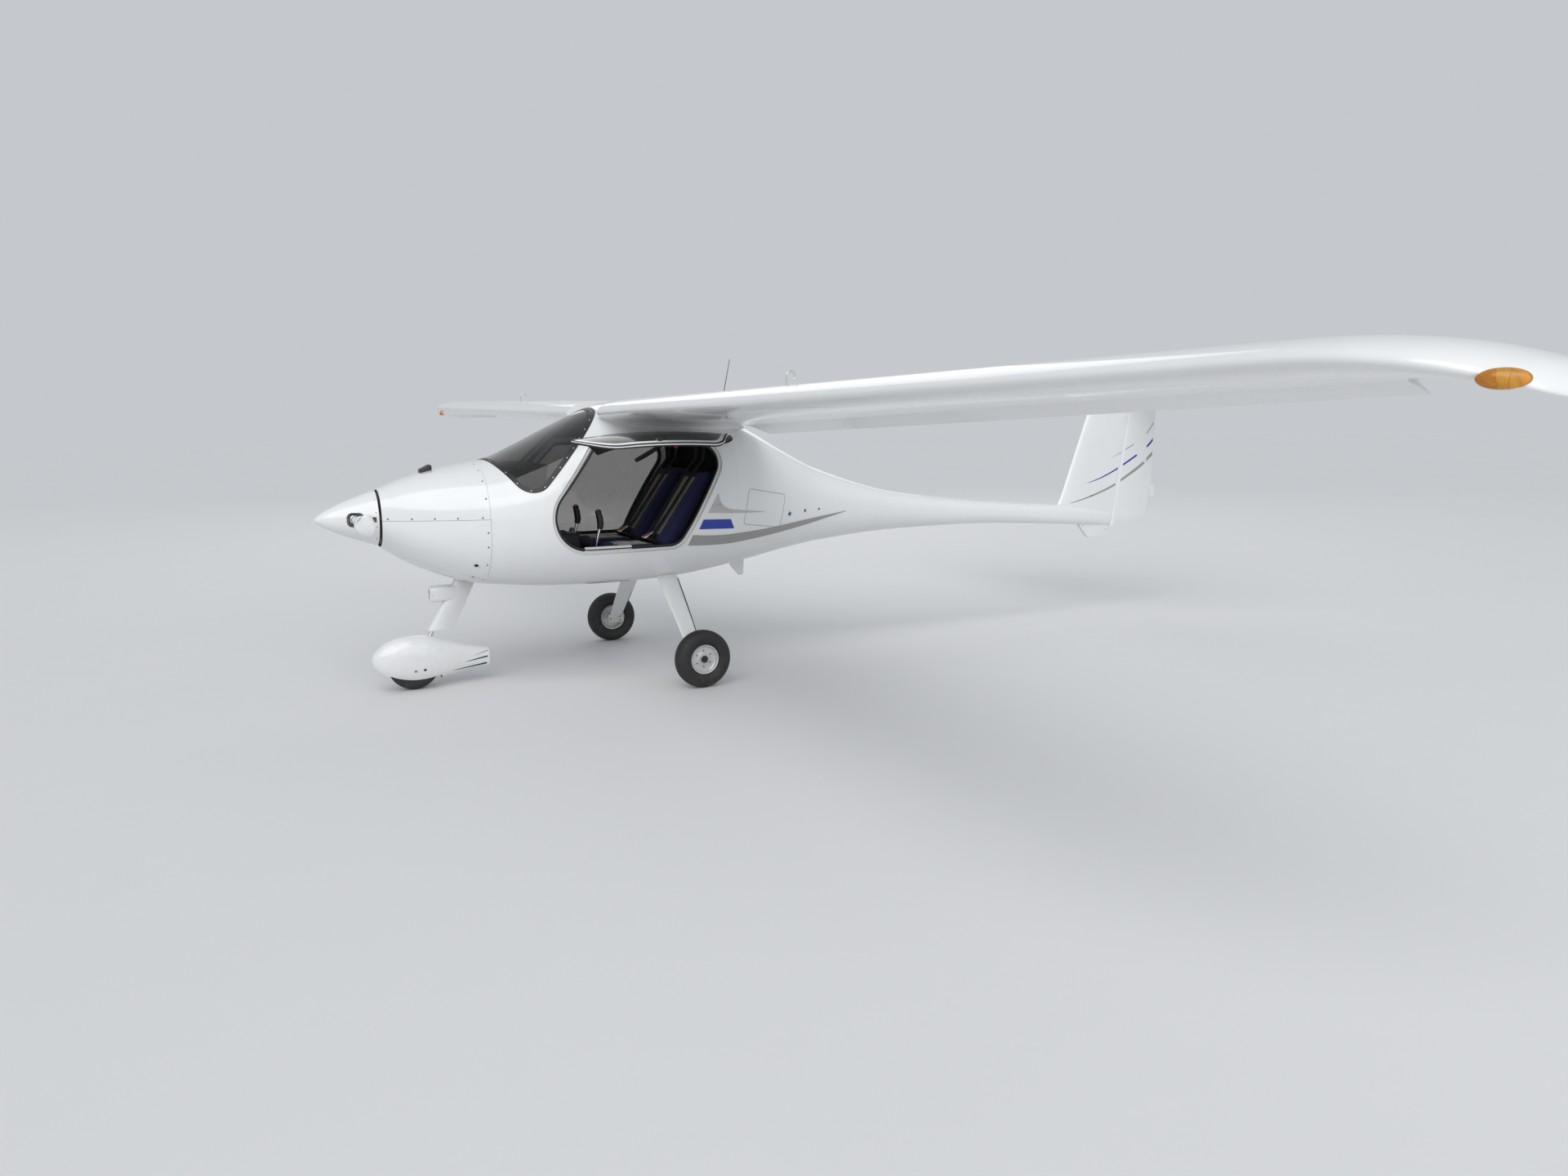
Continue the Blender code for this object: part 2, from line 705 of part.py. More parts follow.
def bracket(fixed, moving, centre, axis, aft, reach):
    """A thin ear with a pin, from a fixed surface to a hinge axis, in a notch of the moving surface."""
    axis, aft = Vector(axis).normalized(), Vector(aft).normalized()
    up = aft.cross(axis)
    home = Matrix((aft, axis, up)).transposed().to_4x4()
    home.translation = Vector(centre)

    def placed(low, high):
        made = block("bracket_piece", low, high)
        made.data.transform(home)
        return made

    def round_bar(radius, half):
        made = turned("bracket_pin", [(-half, 0.0), (-half, radius), (half, radius), (half, 0.0)], (0, 0, 0), None, 10)
        made.data.transform(home)
        return made

    ear = placed((-reach, -EAR_HALF, -0.005), (0.004, EAR_HALF, 0.005))
    pin = round_bar(EAR_PIN, EAR_HALF + 0.009)
    notch = placed((-reach, -EAR_HALF - 0.004, -0.06), (0.012, EAR_HALF + 0.004, 0.06))
    bore = round_bar(EAR_PIN + 0.0005, EAR_HALF + 0.0095)
    for tool in (ear, pin):
        cut(fixed, tool, "UNION")
    for tool in (notch, bore):
        cut(moving, tool)
    settle(fixed)
    settle(moving)
    for tool in (ear, pin, notch, bore):
        bpy.data.objects.remove(tool)


def wings():
    """Each wing with its drooped tip, cut for its flaperon and to the fuselage's side."""
    white = paint_white()
    body = hull_loft("hull_form", CABIN_STATIONS + TAIL_STATIONS[1:6], -CLEARANCE)
    for side, hand in ((-1, "left"), (1, "right")):
        wing = loft(f"wing_{hand}", [wing_ring(row, side) for row in WING], white, 50)
        inner, outer = FLAPERON_IN - MOVING_GAP, FLAPERON_OUT + MOVING_GAP
        rings = []
        for out in (inner, outer):
            hinge = hinge_point(out)
            front = hinge.x - FLAPERON_NOSE * mixed_row(out)[3] / WING[0][3] - MOVING_GAP
            rings.append([(front, side * out, 1.2), (front, side * out, 2.0), (at(3.0), side * out, 2.0), (at(3.0), side * out, 1.2)])
        bay = loft(f"bay_{hand}", rings)
        cut(wing, bay)
        cut(wing, body)
        settle(wing)
        bpy.data.objects.remove(bay)
        rings = [flaperon_ring(out, side) for out in (FLAPERON_IN, FLAPERON_OUT)]
        flaperon = loft(f"flaperon_{hand}", rings, white, 50)
        ends = [hinge_point(out) for out in (FLAPERON_IN, FLAPERON_OUT)]
        axis = ends[1] - ends[0]
        for out in FLAPERON_HINGES:
            spot = hinge_point(out)
            bracket(wing, flaperon, (spot.x, side * spot.y, spot.z), (axis.x, side * axis.y, axis.z), (1, 0, 0), 0.060)
        nav_light(side, hand)
    bpy.data.objects.remove(body)


def nav_light(side, hand):
    """A clear lamp cover let into the tip's front edge."""
    row = WING[6]
    place = Vector(wing_point(row, 0.0, 0.0))
    bm = bmesh.new()
    bmesh.ops.create_uvsphere(bm, u_segments=14, v_segments=8, radius=0.5)
    bmesh.ops.scale(bm, verts=bm.verts, vec=(0.10, 0.045, 0.045))
    bmesh.ops.rotate(bm, verts=bm.verts, cent=(0, 0, 0), matrix=Matrix.Rotation(side * math.radians(52), 3, "Z"))
    bmesh.ops.translate(bm, verts=bm.verts, vec=(place.x - 0.004, side * (place.y + 0.012), place.z - 0.002))
    lamp = object_from(f"nav_light_{hand}", bm, finish_of("amber_lens", (0.75, 0.42, 0.08), 0.12, 0.0, 0.9))
    form = loft(f"tip_form_{hand}", [wing_ring(row, side) for row in WING[2:]])
    for vertex in form.data.vertices:
        vertex.co += vertex.normal * CLEARANCE
    cut(lamp, form)
    settle(lamp)
    bpy.data.objects.remove(form)


def foil_plan(front, rear, half, count=8):
    """A symmetric section from front to rear as (x, half thickness) on both sides."""
    shares = foil_shares(count)
    chord = rear - front
    ratio = 2 * half / chord
    upper = [(front + chord * s, chord * foil_heights(s, ratio, 0.0)[0]) for s in shares[::-1]]
    lower = [(front + chord * s, -chord * foil_heights(s, ratio, 0.0)[0]) for s in shares[1:-1]]
    return upper + lower


def along(low, high, z):
    """Station on a slanted edge at a height."""
    return low[0] + (high[0] - low[0]) * (z - low[1]) / (high[1] - low[1])


def fin_and_rudder():
    """Fin faired into the tail, with the rudder hinged on its slanted rear edge."""
    white = paint_white()
    rings = []
    for z in (0.72, FIN_TOP[1]):
        front = along(FIN_FOOT, FIN_TOP, z)
        rings.append([(at(x), y, z) for x, y in foil_plan(front, RUDDER_TRAIL, FIN_FOOT_HALF)])
    fin = loft("fin", rings, white, 50)
    gap = RUDDER_NOSE + MOVING_GAP
    behind = [
        (at(along(RUDDER_FOOT, RUDDER_HEAD, z)) - gap / math.cos(math.atan2(RUDDER_HEAD[0] - RUDDER_FOOT[0], RUDDER_HEAD[1] - RUDDER_FOOT[1])), z)
        for z in (0.4, 2.0)
    ]
    rear_cut = prism("fin_rear_cut", behind + [(at(7.0), 2.0), (at(7.0), 0.4)], -0.3, 0.3)
    tail = hull_loft("tail_form", TAIL_STATIONS[-4:], -CLEARANCE)
    cut(fin, rear_cut)
    cut(fin, tail)
    settle(fin)
    bpy.data.objects.remove(rear_cut)
    bpy.data.objects.remove(tail)
    moving = rudder(white)
    axis = (RUDDER_HEAD[0] - RUDDER_FOOT[0], 0.0, RUDDER_HEAD[1] - RUDDER_FOOT[1])
    for z in RUDDER_HINGES:
        centre = (at(along(RUDDER_FOOT, RUDDER_HEAD, z)), 0.0, z)
        bracket(fin, moving, centre, axis, (axis[2], 0.0, -axis[0]), 0.060)


def rudder(white):
    """Round nose on the hinge line, thin trailing edge, slanted foot and a fixed trim tab."""
    rings = []
    for z, trail in ((0.668, 5.990), (0.735, 6.268), (1.02, RUDDER_TRAIL - 0.008), (1.55, RUDDER_TRAIL + 0.010), (RUDDER_HEAD[1], RUDDER_TRAIL + 0.012)):
        hinge = along(RUDDER_FOOT, RUDDER_HEAD, z)
        nose = RUDDER_NOSE
        ring = []
        for step in range(7):
            angle = math.pi / 2 + math.pi * step / 6
            ring.append((at(hinge) + nose * math.cos(angle), nose * math.sin(angle), z))
        ring += [(at(trail), -0.0012, z), (at(trail), 0.0012, z)]
        rings.append(ring)
    made = loft("rudder", rings, white, 50)
    tab = block("tab", (at(RUDDER_TRAIL - 0.09), -0.0011, 0.885), (at(RUDDER_TRAIL + 0.032), 0.0011, 0.985), white)
    cut(made, tab, "UNION")
    settle(made)
    bpy.data.objects.remove(tab)
    return made


def tailplane():
    """Fixed tailplane on top of the fin, and the elevator behind it in one piece."""
    white = paint_white()
    rows = [(-out, *rest) for out, *rest in TAILPLANE[:0:-1]] + list(TAILPLANE)
    rings = [
        [(at(x), out, TAILPLANE_Z + z) for x, z in foil_plan(front, trail, thick / 2)]
        for out, front, hinge, trail, thick in rows
    ]
    made = loft("tailplane", rings, white, 50)
    nose = 0.017
    rear = block("tail_cut", (at(TAILPLANE[0][2]) - nose - MOVING_GAP, -1.2, 1.6), (at(7), 1.2, 2.0))
    seat = prism(
        "bullet", rounded([(at(5.66), 1.772 + CLEARANCE, 0.0), (at(6.20), 1.772 + CLEARANCE, 0.0),
                           (at(6.20), 1.835, 0.0), (at(5.80), 1.828, 0.10)]),
        -0.030, 0.030,
    )
    cut(made, seat, "UNION")
    cut(made, rear)
    settle(made)
    bpy.data.objects.remove(rear)
    bpy.data.objects.remove(seat)
    rings = []
    for out, front, hinge, trail, thick in rows[1:-1]:
        radius = nose * thick / TAILPLANE[0][4]
        ring = []
        for step in range(7):
            angle = math.pi / 2 + math.pi * step / 6
            ring.append((at(hinge) + radius * math.cos(angle), out, TAILPLANE_Z + radius * math.sin(angle)))
        ring += [(at(trail), out, TAILPLANE_Z - 0.0012), (at(trail), out, TAILPLANE_Z + 0.0012)]
        rings.append(ring)
    moving = loft("elevator", rings, white, 50)
    for out in ELEVATOR_HINGES:
        bracket(made, moving, (at(TAILPLANE[0][2]), out, TAILPLANE_Z), (0, 1, 0), (1, 0, 0), 0.050)


def door_skin(name, side, wall, outline, material, hole=None):
    """A piece of the fuselage's own surface inside a side-view outline, on one side."""
    made = hull_shell(name, CABIN_STATIONS[2:], wall, material)
    low, high = (0.25, 0.75) if side > 0 else (-0.75, -0.25)
    keep = prism(name + "_keep", rounded(outline), low, high)
    cut(made, keep, "INTERSECT")
    tools = [keep]
    if hole:
        window = prism(name + "_hole", rounded(hole), low - 0.1, high + 0.1)
        cut(made, window)
        tools.append(window)
    settle(made)
    for tool in tools:
        bpy.data.objects.remove(tool)
    return made


def hinge_barrels(frame, side):
    """Door halves of the two hinges: a barrel on the axis, and an arm from it to the frame."""
    tools = []
    for station in HINGE_STATIONS:
        length = HINGE_HALF_LENGTH
        skin_y = hull_half_width(station, DOOR_OUTLINE[0][1] - 0.018)
        tools.append(turned(
            "barrel", [(-length, 0.0), (-length, HINGE_BARREL), (length, HINGE_BARREL), (length, 0.0)],
            (at(station), side * HINGE_Y, HINGE_Z), None, 12, "X",
        ))
        outline = (
            (skin_y - 0.008, DOOR_OUTLINE[0][1] - 0.024), (skin_y - 0.006, DOOR_OUTLINE[0][1] - 0.008),
            (HINGE_Y - 0.003, HINGE_Z + 0.004), (HINGE_Y + 0.004, HINGE_Z - 0.003),
            (skin_y + 0.006, DOOR_OUTLINE[0][1] - 0.024),
        )
        corners = [(side * y, z) for y, z in outline]
        low, high = at(station) - length + 0.003, at(station) + length - 0.003
        tools.append(prism("arm", corners, low, high, None, "X"))
    for tool in tools:
        cut(frame, tool, "UNION")
    for station in HINGE_STATIONS:
        length = HINGE_HALF_LENGTH + 0.004
        bore = turned(
            "bore", [(-length, 0.0), (-length, HINGE_BORE), (length, HINGE_BORE), (length, 0.0)],
            (at(station), side * HINGE_Y, HINGE_Z), None, 10, "X",
        )
        cut(frame, bore)
        tools.append(bore)
    settle(frame)
    for tool in tools:
        bpy.data.objects.remove(tool)


def add_ears(cabin):
    """Fuselage halves of the door hinges: two ears round each barrel, grown from the skin."""
    tools = []
    for side in (-1, 1):
        for station in HINGE_STATIONS:
            skin_y = hull_half_width(station, HINGE_Z + 0.024, SKIN / 2)
            outline = (
                (skin_y, HINGE_Z + 0.010), (HINGE_Y + 0.007, HINGE_Z - 0.006),
                (HINGE_Y + 0.009, HINGE_Z + 0.005), (skin_y, HINGE_Z + 0.038),
            )
            for end in (-1, 1):
                near = at(station) + end * (HINGE_HALF_LENGTH + 0.001)
                low, high = sorted((near, near + end * 0.008))
                corners = [(side * y, z) for y, z in outline]
                tools.append(prism("ear", corners, low, high, None, "X"))
                pin = HINGE_BORE - 0.0004
                low, high = sorted((near + end * 0.004, near - end * 0.010))
                tools.append(turned(
                    "pin", [(low, 0.0), (low, pin), (high, pin), (high, 0.0)],
                    (0, side * HINGE_Y, HINGE_Z), None, 10, "X",
                ))
    for tool in tools:
        cut(cabin, tool, "UNION")
    settle(cabin)
    for tool in tools:
        bpy.data.objects.remove(tool)


def doors():
    """A rim moulded like the fuselage's side with a smoked window in it. The left one stands open."""
    white = paint_white()
    outline = on_side(DOOR_OUTLINE)
    pane = inset(outline, DOOR_RIM)
    for side, hand in ((-1, "left"), (1, "right")):
        frame = door_skin(f"door_frame_{hand}", side, SKIN, outline, white, pane)
        hinge_barrels(frame, side)
        glass = door_skin(f"door_window_{hand}", side, GLASS, inset(pane, CLEARANCE * 2), smoked_glass())
        axis = bpy.data.objects.new(f"door_axis_{hand}", None)
        axis.location = (0, side * HINGE_Y, HINGE_Z)
        bpy.context.scene.collection.objects.link(axis)
        for piece in (frame, glass):
            piece.data.transform(Matrix.Translation((0, -side * HINGE_Y, -HINGE_Z)))
            piece.parent = axis
        if hand == "left":
            axis.rotation_euler = (-math.radians(LEFT_DOOR_OPEN), 0, 0)


# Tyre profile as shares of half the width and of the radius, from the left bead round to the right one
TYRE = ((-0.62, 0.0), (-0.86, 0.10), (-1.0, 0.36), (-0.97, 0.62), (-0.80, 0.84), (-0.50, 0.955), (0.0, 1.0))


def wheel(prefix, centre, radius, width, rim, bore):
    """A tyre on its rim. The rim is a dished disc with a hub, turned round Y."""
    half = width / 2
    depth = radius - rim
    side = [(half * a, rim + depth * b) for a, b in TYRE]
    profile = side + [(-a, r) for a, r in side[-2::-1]]
    profile.append(profile[0])
    turned(f"{prefix}_tyre", profile, centre, black_rubber())
    lip = rim - CLEARANCE * 2
    bead = half * 0.66
    outline = [
        (-bead, lip - 0.008), (-bead, lip), (bead, lip), (bead, lip - 0.008), (0.012, lip - 0.022),
        (0.010, bore + 0.016), (bead * 0.72, bore + 0.013), (bead * 0.72, bore), (-bead * 0.72, bore),
        (-bead * 0.72, bore + 0.013), (-0.004, bore + 0.016), (-0.002, lip - 0.022),
    ]
    outline.append(outline[0])
    turned(f"{prefix}_rim", outline, centre, bare_alloy())


def main_gear():
    """Two glass-fibre legs with their axles, brake plates and wheels."""
    white = paint_white()
    body = hull_loft("hull_form", CABIN_STATIONS, -CLEARANCE)
    axle_r = 0.010
    for side, hand in ((-1, "left"), (1, "right")):
        rings = []
        # Distance out, z, front station, rear station, thickness
        foot = HALF_TRACK - MAIN_WIDTH / 2 - 0.034
        for out, z, front, rear, thick in (
            (0.230, 0.640, 1.900, 2.030, 0.030), (0.330, 0.545, 1.900, 2.030, 0.028),
            (foot - 0.155, 0.330, 1.915, 2.020, 0.024), (foot, MAIN_RADIUS + 0.004, 1.925, 2.010, 0.020),
        ):
            normal = Vector((0, side * 0.68, 0.73))
            ring = []
            for x, t in foil_plan(at(front), at(rear), thick / 2, 8):
                ring.append(tuple(Vector((x, side * out, z)) + normal * t))
            rings.append(ring)
        leg = loft(f"main_leg_{hand}", rings, white, 50)
        inner, outer = HALF_TRACK - MAIN_WIDTH / 2 - 0.045, HALF_TRACK + MAIN_WIDTH / 2 - 0.020
        axle = turned(
            "axle", [(side * inner, 0.0), (side * inner, axle_r), (side * outer, axle_r), (side * outer, 0.0)],
            (at(MAIN_STATION), 0, MAIN_RADIUS), None, 14,
        )
        plate_in, plate_out = sorted((side * (inner - 0.008), side * (inner + 0.008)))
        plate = block(
            "plate", (at(MAIN_STATION - 0.055), plate_in, MAIN_RADIUS - 0.028),
            (at(MAIN_STATION + 0.055), plate_out, MAIN_RADIUS + 0.030), None, 0.003, 1,
        )
        cut(leg, body)
        cut(leg, axle, "UNION")
        cut(leg, plate, "UNION")
        settle(leg)
        for tool in (axle, plate):
            bpy.data.objects.remove(tool)
        wheel(f"main_{hand}", (at(MAIN_STATION), side * HALF_TRACK, MAIN_RADIUS), MAIN_RADIUS, MAIN_WIDTH, MAIN_RIM, axle_r + 0.001)
    bpy.data.objects.remove(body)


# Steering axis: a raked line through this point, in station and z
STRUT_POINT = (0.601, 0.340)
FORK_PLATE = 0.005
FORK_HALF = NOSE_WIDTH / 2 + 0.005
CROWN_Z = 0.284
PANT_SKIN = 0.004
AXLE_RADIUS = 0.008

# Wheel fairing: station, underside z, top z, half width
PANT = (
    (0.250, 0.176, 0.194, 0.008), (0.258, 0.150, 0.218, 0.030), (0.285, 0.112, 0.252, 0.054),
    (0.340, 0.070, 0.290, 0.076), (0.420, 0.045, 0.314, 0.087), (0.500, 0.036, 0.318, 0.089),
    (0.590, 0.042, 0.304, 0.083), (0.680, 0.060, 0.274, 0.070), (0.780, 0.080, 0.238, 0.052),
    (0.870, 0.090, 0.214, 0.035), (0.915, 0.094, 0.204, 0.028),
)


def strut_at(z):
    """Station of the raked steering axis at a height."""
    return STRUT_POINT[0] + (z - STRUT_POINT[1]) * math.tan(math.radians(NOSE_RAKE))


def pant_ring(row, wall, count=16):
    station, low, high, half = row
    middle, height = (low + high) / 2, (high - low) / 2 - wall
    ring = []
    for step in range(count):
        angle = math.tau * step / count
        c, s = math.cos(angle), math.sin(angle)
        y = (half - wall) * math.copysign(abs(c) ** 0.85, c)
        z = middle + height * math.copysign(abs(s) ** 0.85, s)
        ring.append((at(station), y, z))
    return ring


def fork_plate(axle):
    """A bent plate over the tyre, hidden in the wheel fairing, that leans back to the strut."""
    low, shoulder = axle.z - 0.012, CROWN_Z - 0.036
    inner, outer = FORK_HALF, FORK_HALF + FORK_PLATE
    half = [
        (outer, low), (outer, shoulder), (outer * 0.52, CROWN_Z + 0.004), (-outer * 0.52, CROWN_Z + 0.004),
        (-outer, shoulder), (-outer, low), (-inner, low), (-inner, shoulder - 0.004),
        (-inner * 0.52, CROWN_Z - 0.004), (inner * 0.52, CROWN_Z - 0.004), (inner, shoulder - 0.004), (inner, low),
    ]
    made = prism("fork", half, -0.010, 0.010, None, "X")
    lean = (at(strut_at(CROWN_Z)) - axle.x) / (CROWN_Z - axle.z)
    for vertex in made.data.vertices:
        vertex.co.x += axle.x + (vertex.co.z - axle.z) * lean
    return made


def nose_gear():
    """Raked leg fairing under the cowling, with the sprung strut, wheel fairing and wheel that steer."""
    white = paint_white()
    # z, front station, rear station, half thickness
    rows = ((0.630, 0.738, 0.868, 0.030), (0.337, 0.569, 0.724, 0.028))
    rings = [[(at(x), y, z) for x, y in foil_plan(front, rear, half, 9)] for z, front, rear, half in rows]
    fairing = loft("nose_leg_fairing", rings, white, 50)
    body = hull_loft("cowl_form", COWL_STATIONS, -COWL_PROUD - CLEARANCE)
    bore = tube("strut_bore", [(at(strut_at(z)), 0, z) for z in (0.25, 0.42)], STRUT_RADIUS + 0.0004, None, STRUT_SIDES)
    lamp = block("lamp_seat", (at(0.590), -0.040, 0.502), (at(0.740), 0.040, 0.600), white, 0.010)
    cut(fairing, lamp, "UNION")
    cut(fairing, body)
    cut(fairing, bore)
    settle(fairing)
    for tool in (body, bore, lamp):
        bpy.data.objects.remove(tool)
    axis = bpy.data.objects.new("nose_steer_axis", None)
    pivot = Vector((at(STRUT_POINT[0]), 0, STRUT_POINT[1]))
    axis.location = pivot
    axis.rotation_euler = (0, math.radians(NOSE_RAKE), 0)
    bpy.context.scene.collection.objects.link(axis)
    axle = Vector((at(NOSE_STATION), 0, NOSE_RADIUS))
    strut = tube(
        "nose_strut", [(at(strut_at(z)), 0, z) for z in (CROWN_Z + 0.004, 0.418)],
        STRUT_RADIUS, bare_alloy(), STRUT_SIDES,
    )
    fork = fork_plate(axle)
    pin_half = FORK_HALF + FORK_PLATE + 0.003
    pin = turned(
        "pin", [(-pin_half, 0.0), (-pin_half, AXLE_RADIUS), (pin_half, AXLE_RADIUS), (pin_half, 0.0)],
        axle, None, 14,
    )
    for part in (fork, pin):
        cut(strut, part, "UNION")
    settle(strut)
    shell = loft("nose_wheel_fairing", [pant_ring(row, 0.0) for row in PANT], white, 50)
    inner = loft("pant_core", [pant_ring(row, PANT_SKIN) for row in PANT[1:-1]])
    room, side_room = NOSE_RADIUS + 0.006, NOSE_WIDTH / 2 + 0.014
    well = block("well", (at(NOSE_STATION) - room, -side_room, -0.1), (at(NOSE_STATION) + room, side_room, 0.14), None, 0.02)
    hole = tube("strut_hole", [(at(strut_at(z)), 0, z) for z in (CROWN_Z - 0.02, 0.36)], STRUT_RADIUS + 0.0004, None, STRUT_SIDES)
    for tool in (inner, well, hole):
        cut(shell, tool)
    settle(shell)
    for part in (fork, pin, inner, well, hole):
        bpy.data.objects.remove(part)
    wheel("nose", tuple(axle), NOSE_RADIUS, NOSE_WIDTH, NOSE_RIM, AXLE_RADIUS + 0.0005)
    hang(axis, (strut, shell))


def hang(axis, pieces):
    """Parents pieces to an axis empty without moving them."""
    bpy.context.view_layer.update()
    home = axis.matrix_world.inverted()
    for piece in pieces:
        piece.data.transform(home @ piece.matrix_world)
        piece.matrix_world = Matrix.Identity(4)
        piece.parent = axis


def interior():
    """Seats, panel, console and the controls that show through the doors."""
    blue = seat_blue()
    black = black_plastic()
    steel = bare_alloy()
    lining = finish_of("cabin_lining", (0.05, 0.05, 0.055), 0.85)
    floor = hull_loft("cabin_floor", CABIN_STATIONS, SKIN + CLEARANCE, lining)
    floor_front, floor_rear = FIREWALL_STATION + 0.0135, CABIN_END - 0.030
    slab = block("slab", (at(floor_front), -1, 0.646), (at(floor_rear), 1, 0.658))
    cut(floor, slab, "INTERSECT")
    settle(floor)
    bpy.data.objects.remove(slab)
    cabin_space = hull_loft("cabin_space", CABIN_STATIONS, SKIN + CLEARANCE)
    for side, hand in ((-1, "left"), (1, "right")):
        y = side * 0.222
        pan = [
            (at(1.62), 0.690), (at(1.99), 0.690), (at(2.290), 1.205), (at(2.262), 1.217), (at(1.955), 0.712),
            (at(1.60), 0.732),
        ]
        seat = prism(f"seat_base_{hand}", pan, y - 0.180, y + 0.180, black)
        plinth = block("plinth", (at(1.64), y - 0.17 + side * -0.01, 0.6583), (at(1.98), y + 0.06 + side * -0.01, 0.70))
        if side < 0:
            plinth.data.transform(Matrix.Translation((0, 0.11, 0)))
        cut(seat, plinth, "UNION")
        cut(seat, cabin_space, "INTERSECT")
        settle(seat)
        bpy.data.objects.remove(plinth)
        cushion = [
            (at(1.600), 0.7324), (at(1.9546), 0.7124), (at(2.2614), 1.2174), (at(2.200), 1.250), (at(1.875), 0.800),
            (at(1.585), 0.806), (at(1.575), 0.750),
        ]
        pad = prism(f"seat_cushion_{hand}", cushion, y - 0.176, y + 0.176, blue)
        cut(pad, cabin_space, "INTERSECT")
        settle(pad)
        grip = Vector((at(1.560), y, 1.010))
        foot = Vector((at(1.530), y, 0.670))
        stick = tube(f"control_stick_{hand}", [foot, foot.lerp(grip, 0.7), grip], 0.009, steel)
        handle = tube("grip", [foot.lerp(grip, 0.75), grip + (grip - foot) * 0.05], 0.017, None)
        base = turned("base", [(0.0, 0.0), (0.0, 0.03), (0.016, 0.03), (0.016, 0.0)], (0, 0, 0), None, 16, "X")
        base.data.transform(Matrix.Translation((foot.x, foot.y, 0.6583)) @ Matrix.Rotation(-math.pi / 2, 4, "Y"))
        for tool in (handle, base):
            cut(stick, tool, "UNION")
        settle(stick)
        for tool in (handle, base):
            bpy.data.objects.remove(tool)
    panel = [
        (at(1.120), 1.000), (at(1.165), 1.000), (at(1.195), 1.235), (at(1.215), 1.290), (at(1.06), 1.290),
        (at(1.06), 1.270), (at(1.155), 1.235),
    ]
    board = prism("instrument_panel", panel, -0.46, 0.46, black)
    cut(board, cabin_space, "INTERSECT")
    settle(board)
    block("centre_console", (at(1.17), -0.055, 0.6583), (at(1.50), 0.055, 0.86), black, 0.012)
    beam = block("spar_beam", (at(2.215), -0.42, 1.455), (at(2.300), 0.42, 1.535), black, 0.010)
    cut(beam, cabin_space, "INTERSECT")
    settle(beam)
    bpy.data.objects.remove(cabin_space)
    path = [(at(2.2060), 0.0, 1.475), (at(2.05), 0.0, 1.375), (at(1.885), 0.0, 1.288)]
    lever = tube("flap_lever", path, 0.008, steel)
    grip = tube("grip", [path[1], path[2]], 0.015, None)
    base = turned("base", [(-0.016, 0.0), (-0.016, 0.022), (0.0, 0.022), (0.0, 0.0)], (at(2.2147), 0.0, 1.475), None, 14, "X")
    for tool in (grip, base):
        cut(lever, tool, "UNION")
    settle(lever)
    for tool in (grip, base):
        bpy.data.objects.remove(tool)


def small_parts():
    """Aerials, fuel vents, tail bumper."""
    black = black_plastic()
    white = paint_white()
    root = Vector((at(2.470), 0, 1.560))
    whip = tube("whip_aerial", [tuple(root), (at(2.550), 0, 1.923)], 0.0032, black, 1)
    foot = block("whip_foot", (at(2.440), -0.020, 1.50), (at(2.500), 0.020, 1.575), None, 0.004, 1)
    form = hull_loft("hull_form", TAIL_STATIONS[:4], -CLEARANCE)
    cut(whip, foot, "UNION")
    cut(whip, form)
    settle(whip)
    blade = [(at(2.500), 0.70), (at(2.532), 0.58), (at(2.590), 0.515), (at(2.622), 0.515), (at(2.632), 0.70)]
    belly = prism("belly_aerial", blade, -0.006, 0.006, white)
    cut(belly, form)
    settle(belly)
    tail_form = hull_loft("tail_form", TAIL_STATIONS[-4:], -CLEARANCE)
    skid = [(at(5.560), 0.76), (at(5.560), 0.690), (at(5.655), 0.588), (at(5.868), 0.580), (at(5.850), 0.74)]
    bumper = prism("tail_bumper", skid, -0.016, 0.016, white)
    cut(bumper, tail_form)
    settle(bumper)
    for tool in (foot, form, tail_form):
        bpy.data.objects.remove(tool)
    scoop = block("cowl_scoop", (at(0.575), -0.045, 1.20), (at(0.640), 0.045, 1.302), black, 0.010)
    cowl = hull_loft("cowl_form", COWL_STATIONS, -COWL_PROUD - CLEARANCE)
    cut(scoop, cowl)
    settle(scoop)
    bpy.data.objects.remove(cowl)
    fuel_vents()


def fuel_vents():
    """A bent vent pipe on top of each wing."""
    for side, hand in ((-1, "left"), (1, "right")):
        row = mixed_row(VENT_OUT)
        share = 0.20
        foot = Vector(wing_point(row, share, foil_heights(share, row[5])[0]))
        points = []
        for step in range(9):
            angle = math.pi * (1.0 - 1.25 * step / 8)
            points.append((
                foot.x + 0.021 + 0.021 * math.cos(angle), side * foot.y, foot.z + 0.040 + 0.021 * math.sin(angle),
            ))
        points.insert(0, (foot.x, side * foot.y, foot.z - 0.02))
        pipe = tube(f"fuel_vent_{hand}", points, 0.0035, bare_alloy(), 1)
        form = loft("wing_form", [wing_ring(line, side) for line in WING[:3]])
        form.location.z = CLEARANCE
        cut(pipe, form)
        settle(pipe)
        bpy.data.objects.remove(form)


def main():
    clear_scene()
    fuselage()
    firewall_and_bulkhead()
    glazing()
    cowling()
    engine()
    propeller()
    wings()
    fin_and_rudder()
    tailplane()
    doors()
    main_gear()
    nose_gear()
    interior()
    small_parts()


main()
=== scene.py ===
"""Looks of a parked two-seat, high-wing composite microlight aircraft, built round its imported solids.

Metres, +Z up, nose to -X, left wing to -Y. A station is a distance aft of the spinner's tip.
"""

import math

import bmesh
import bpy
import numpy as np
from mathutils import Matrix, Vector
from mathutils.bvhtree import BVHTree


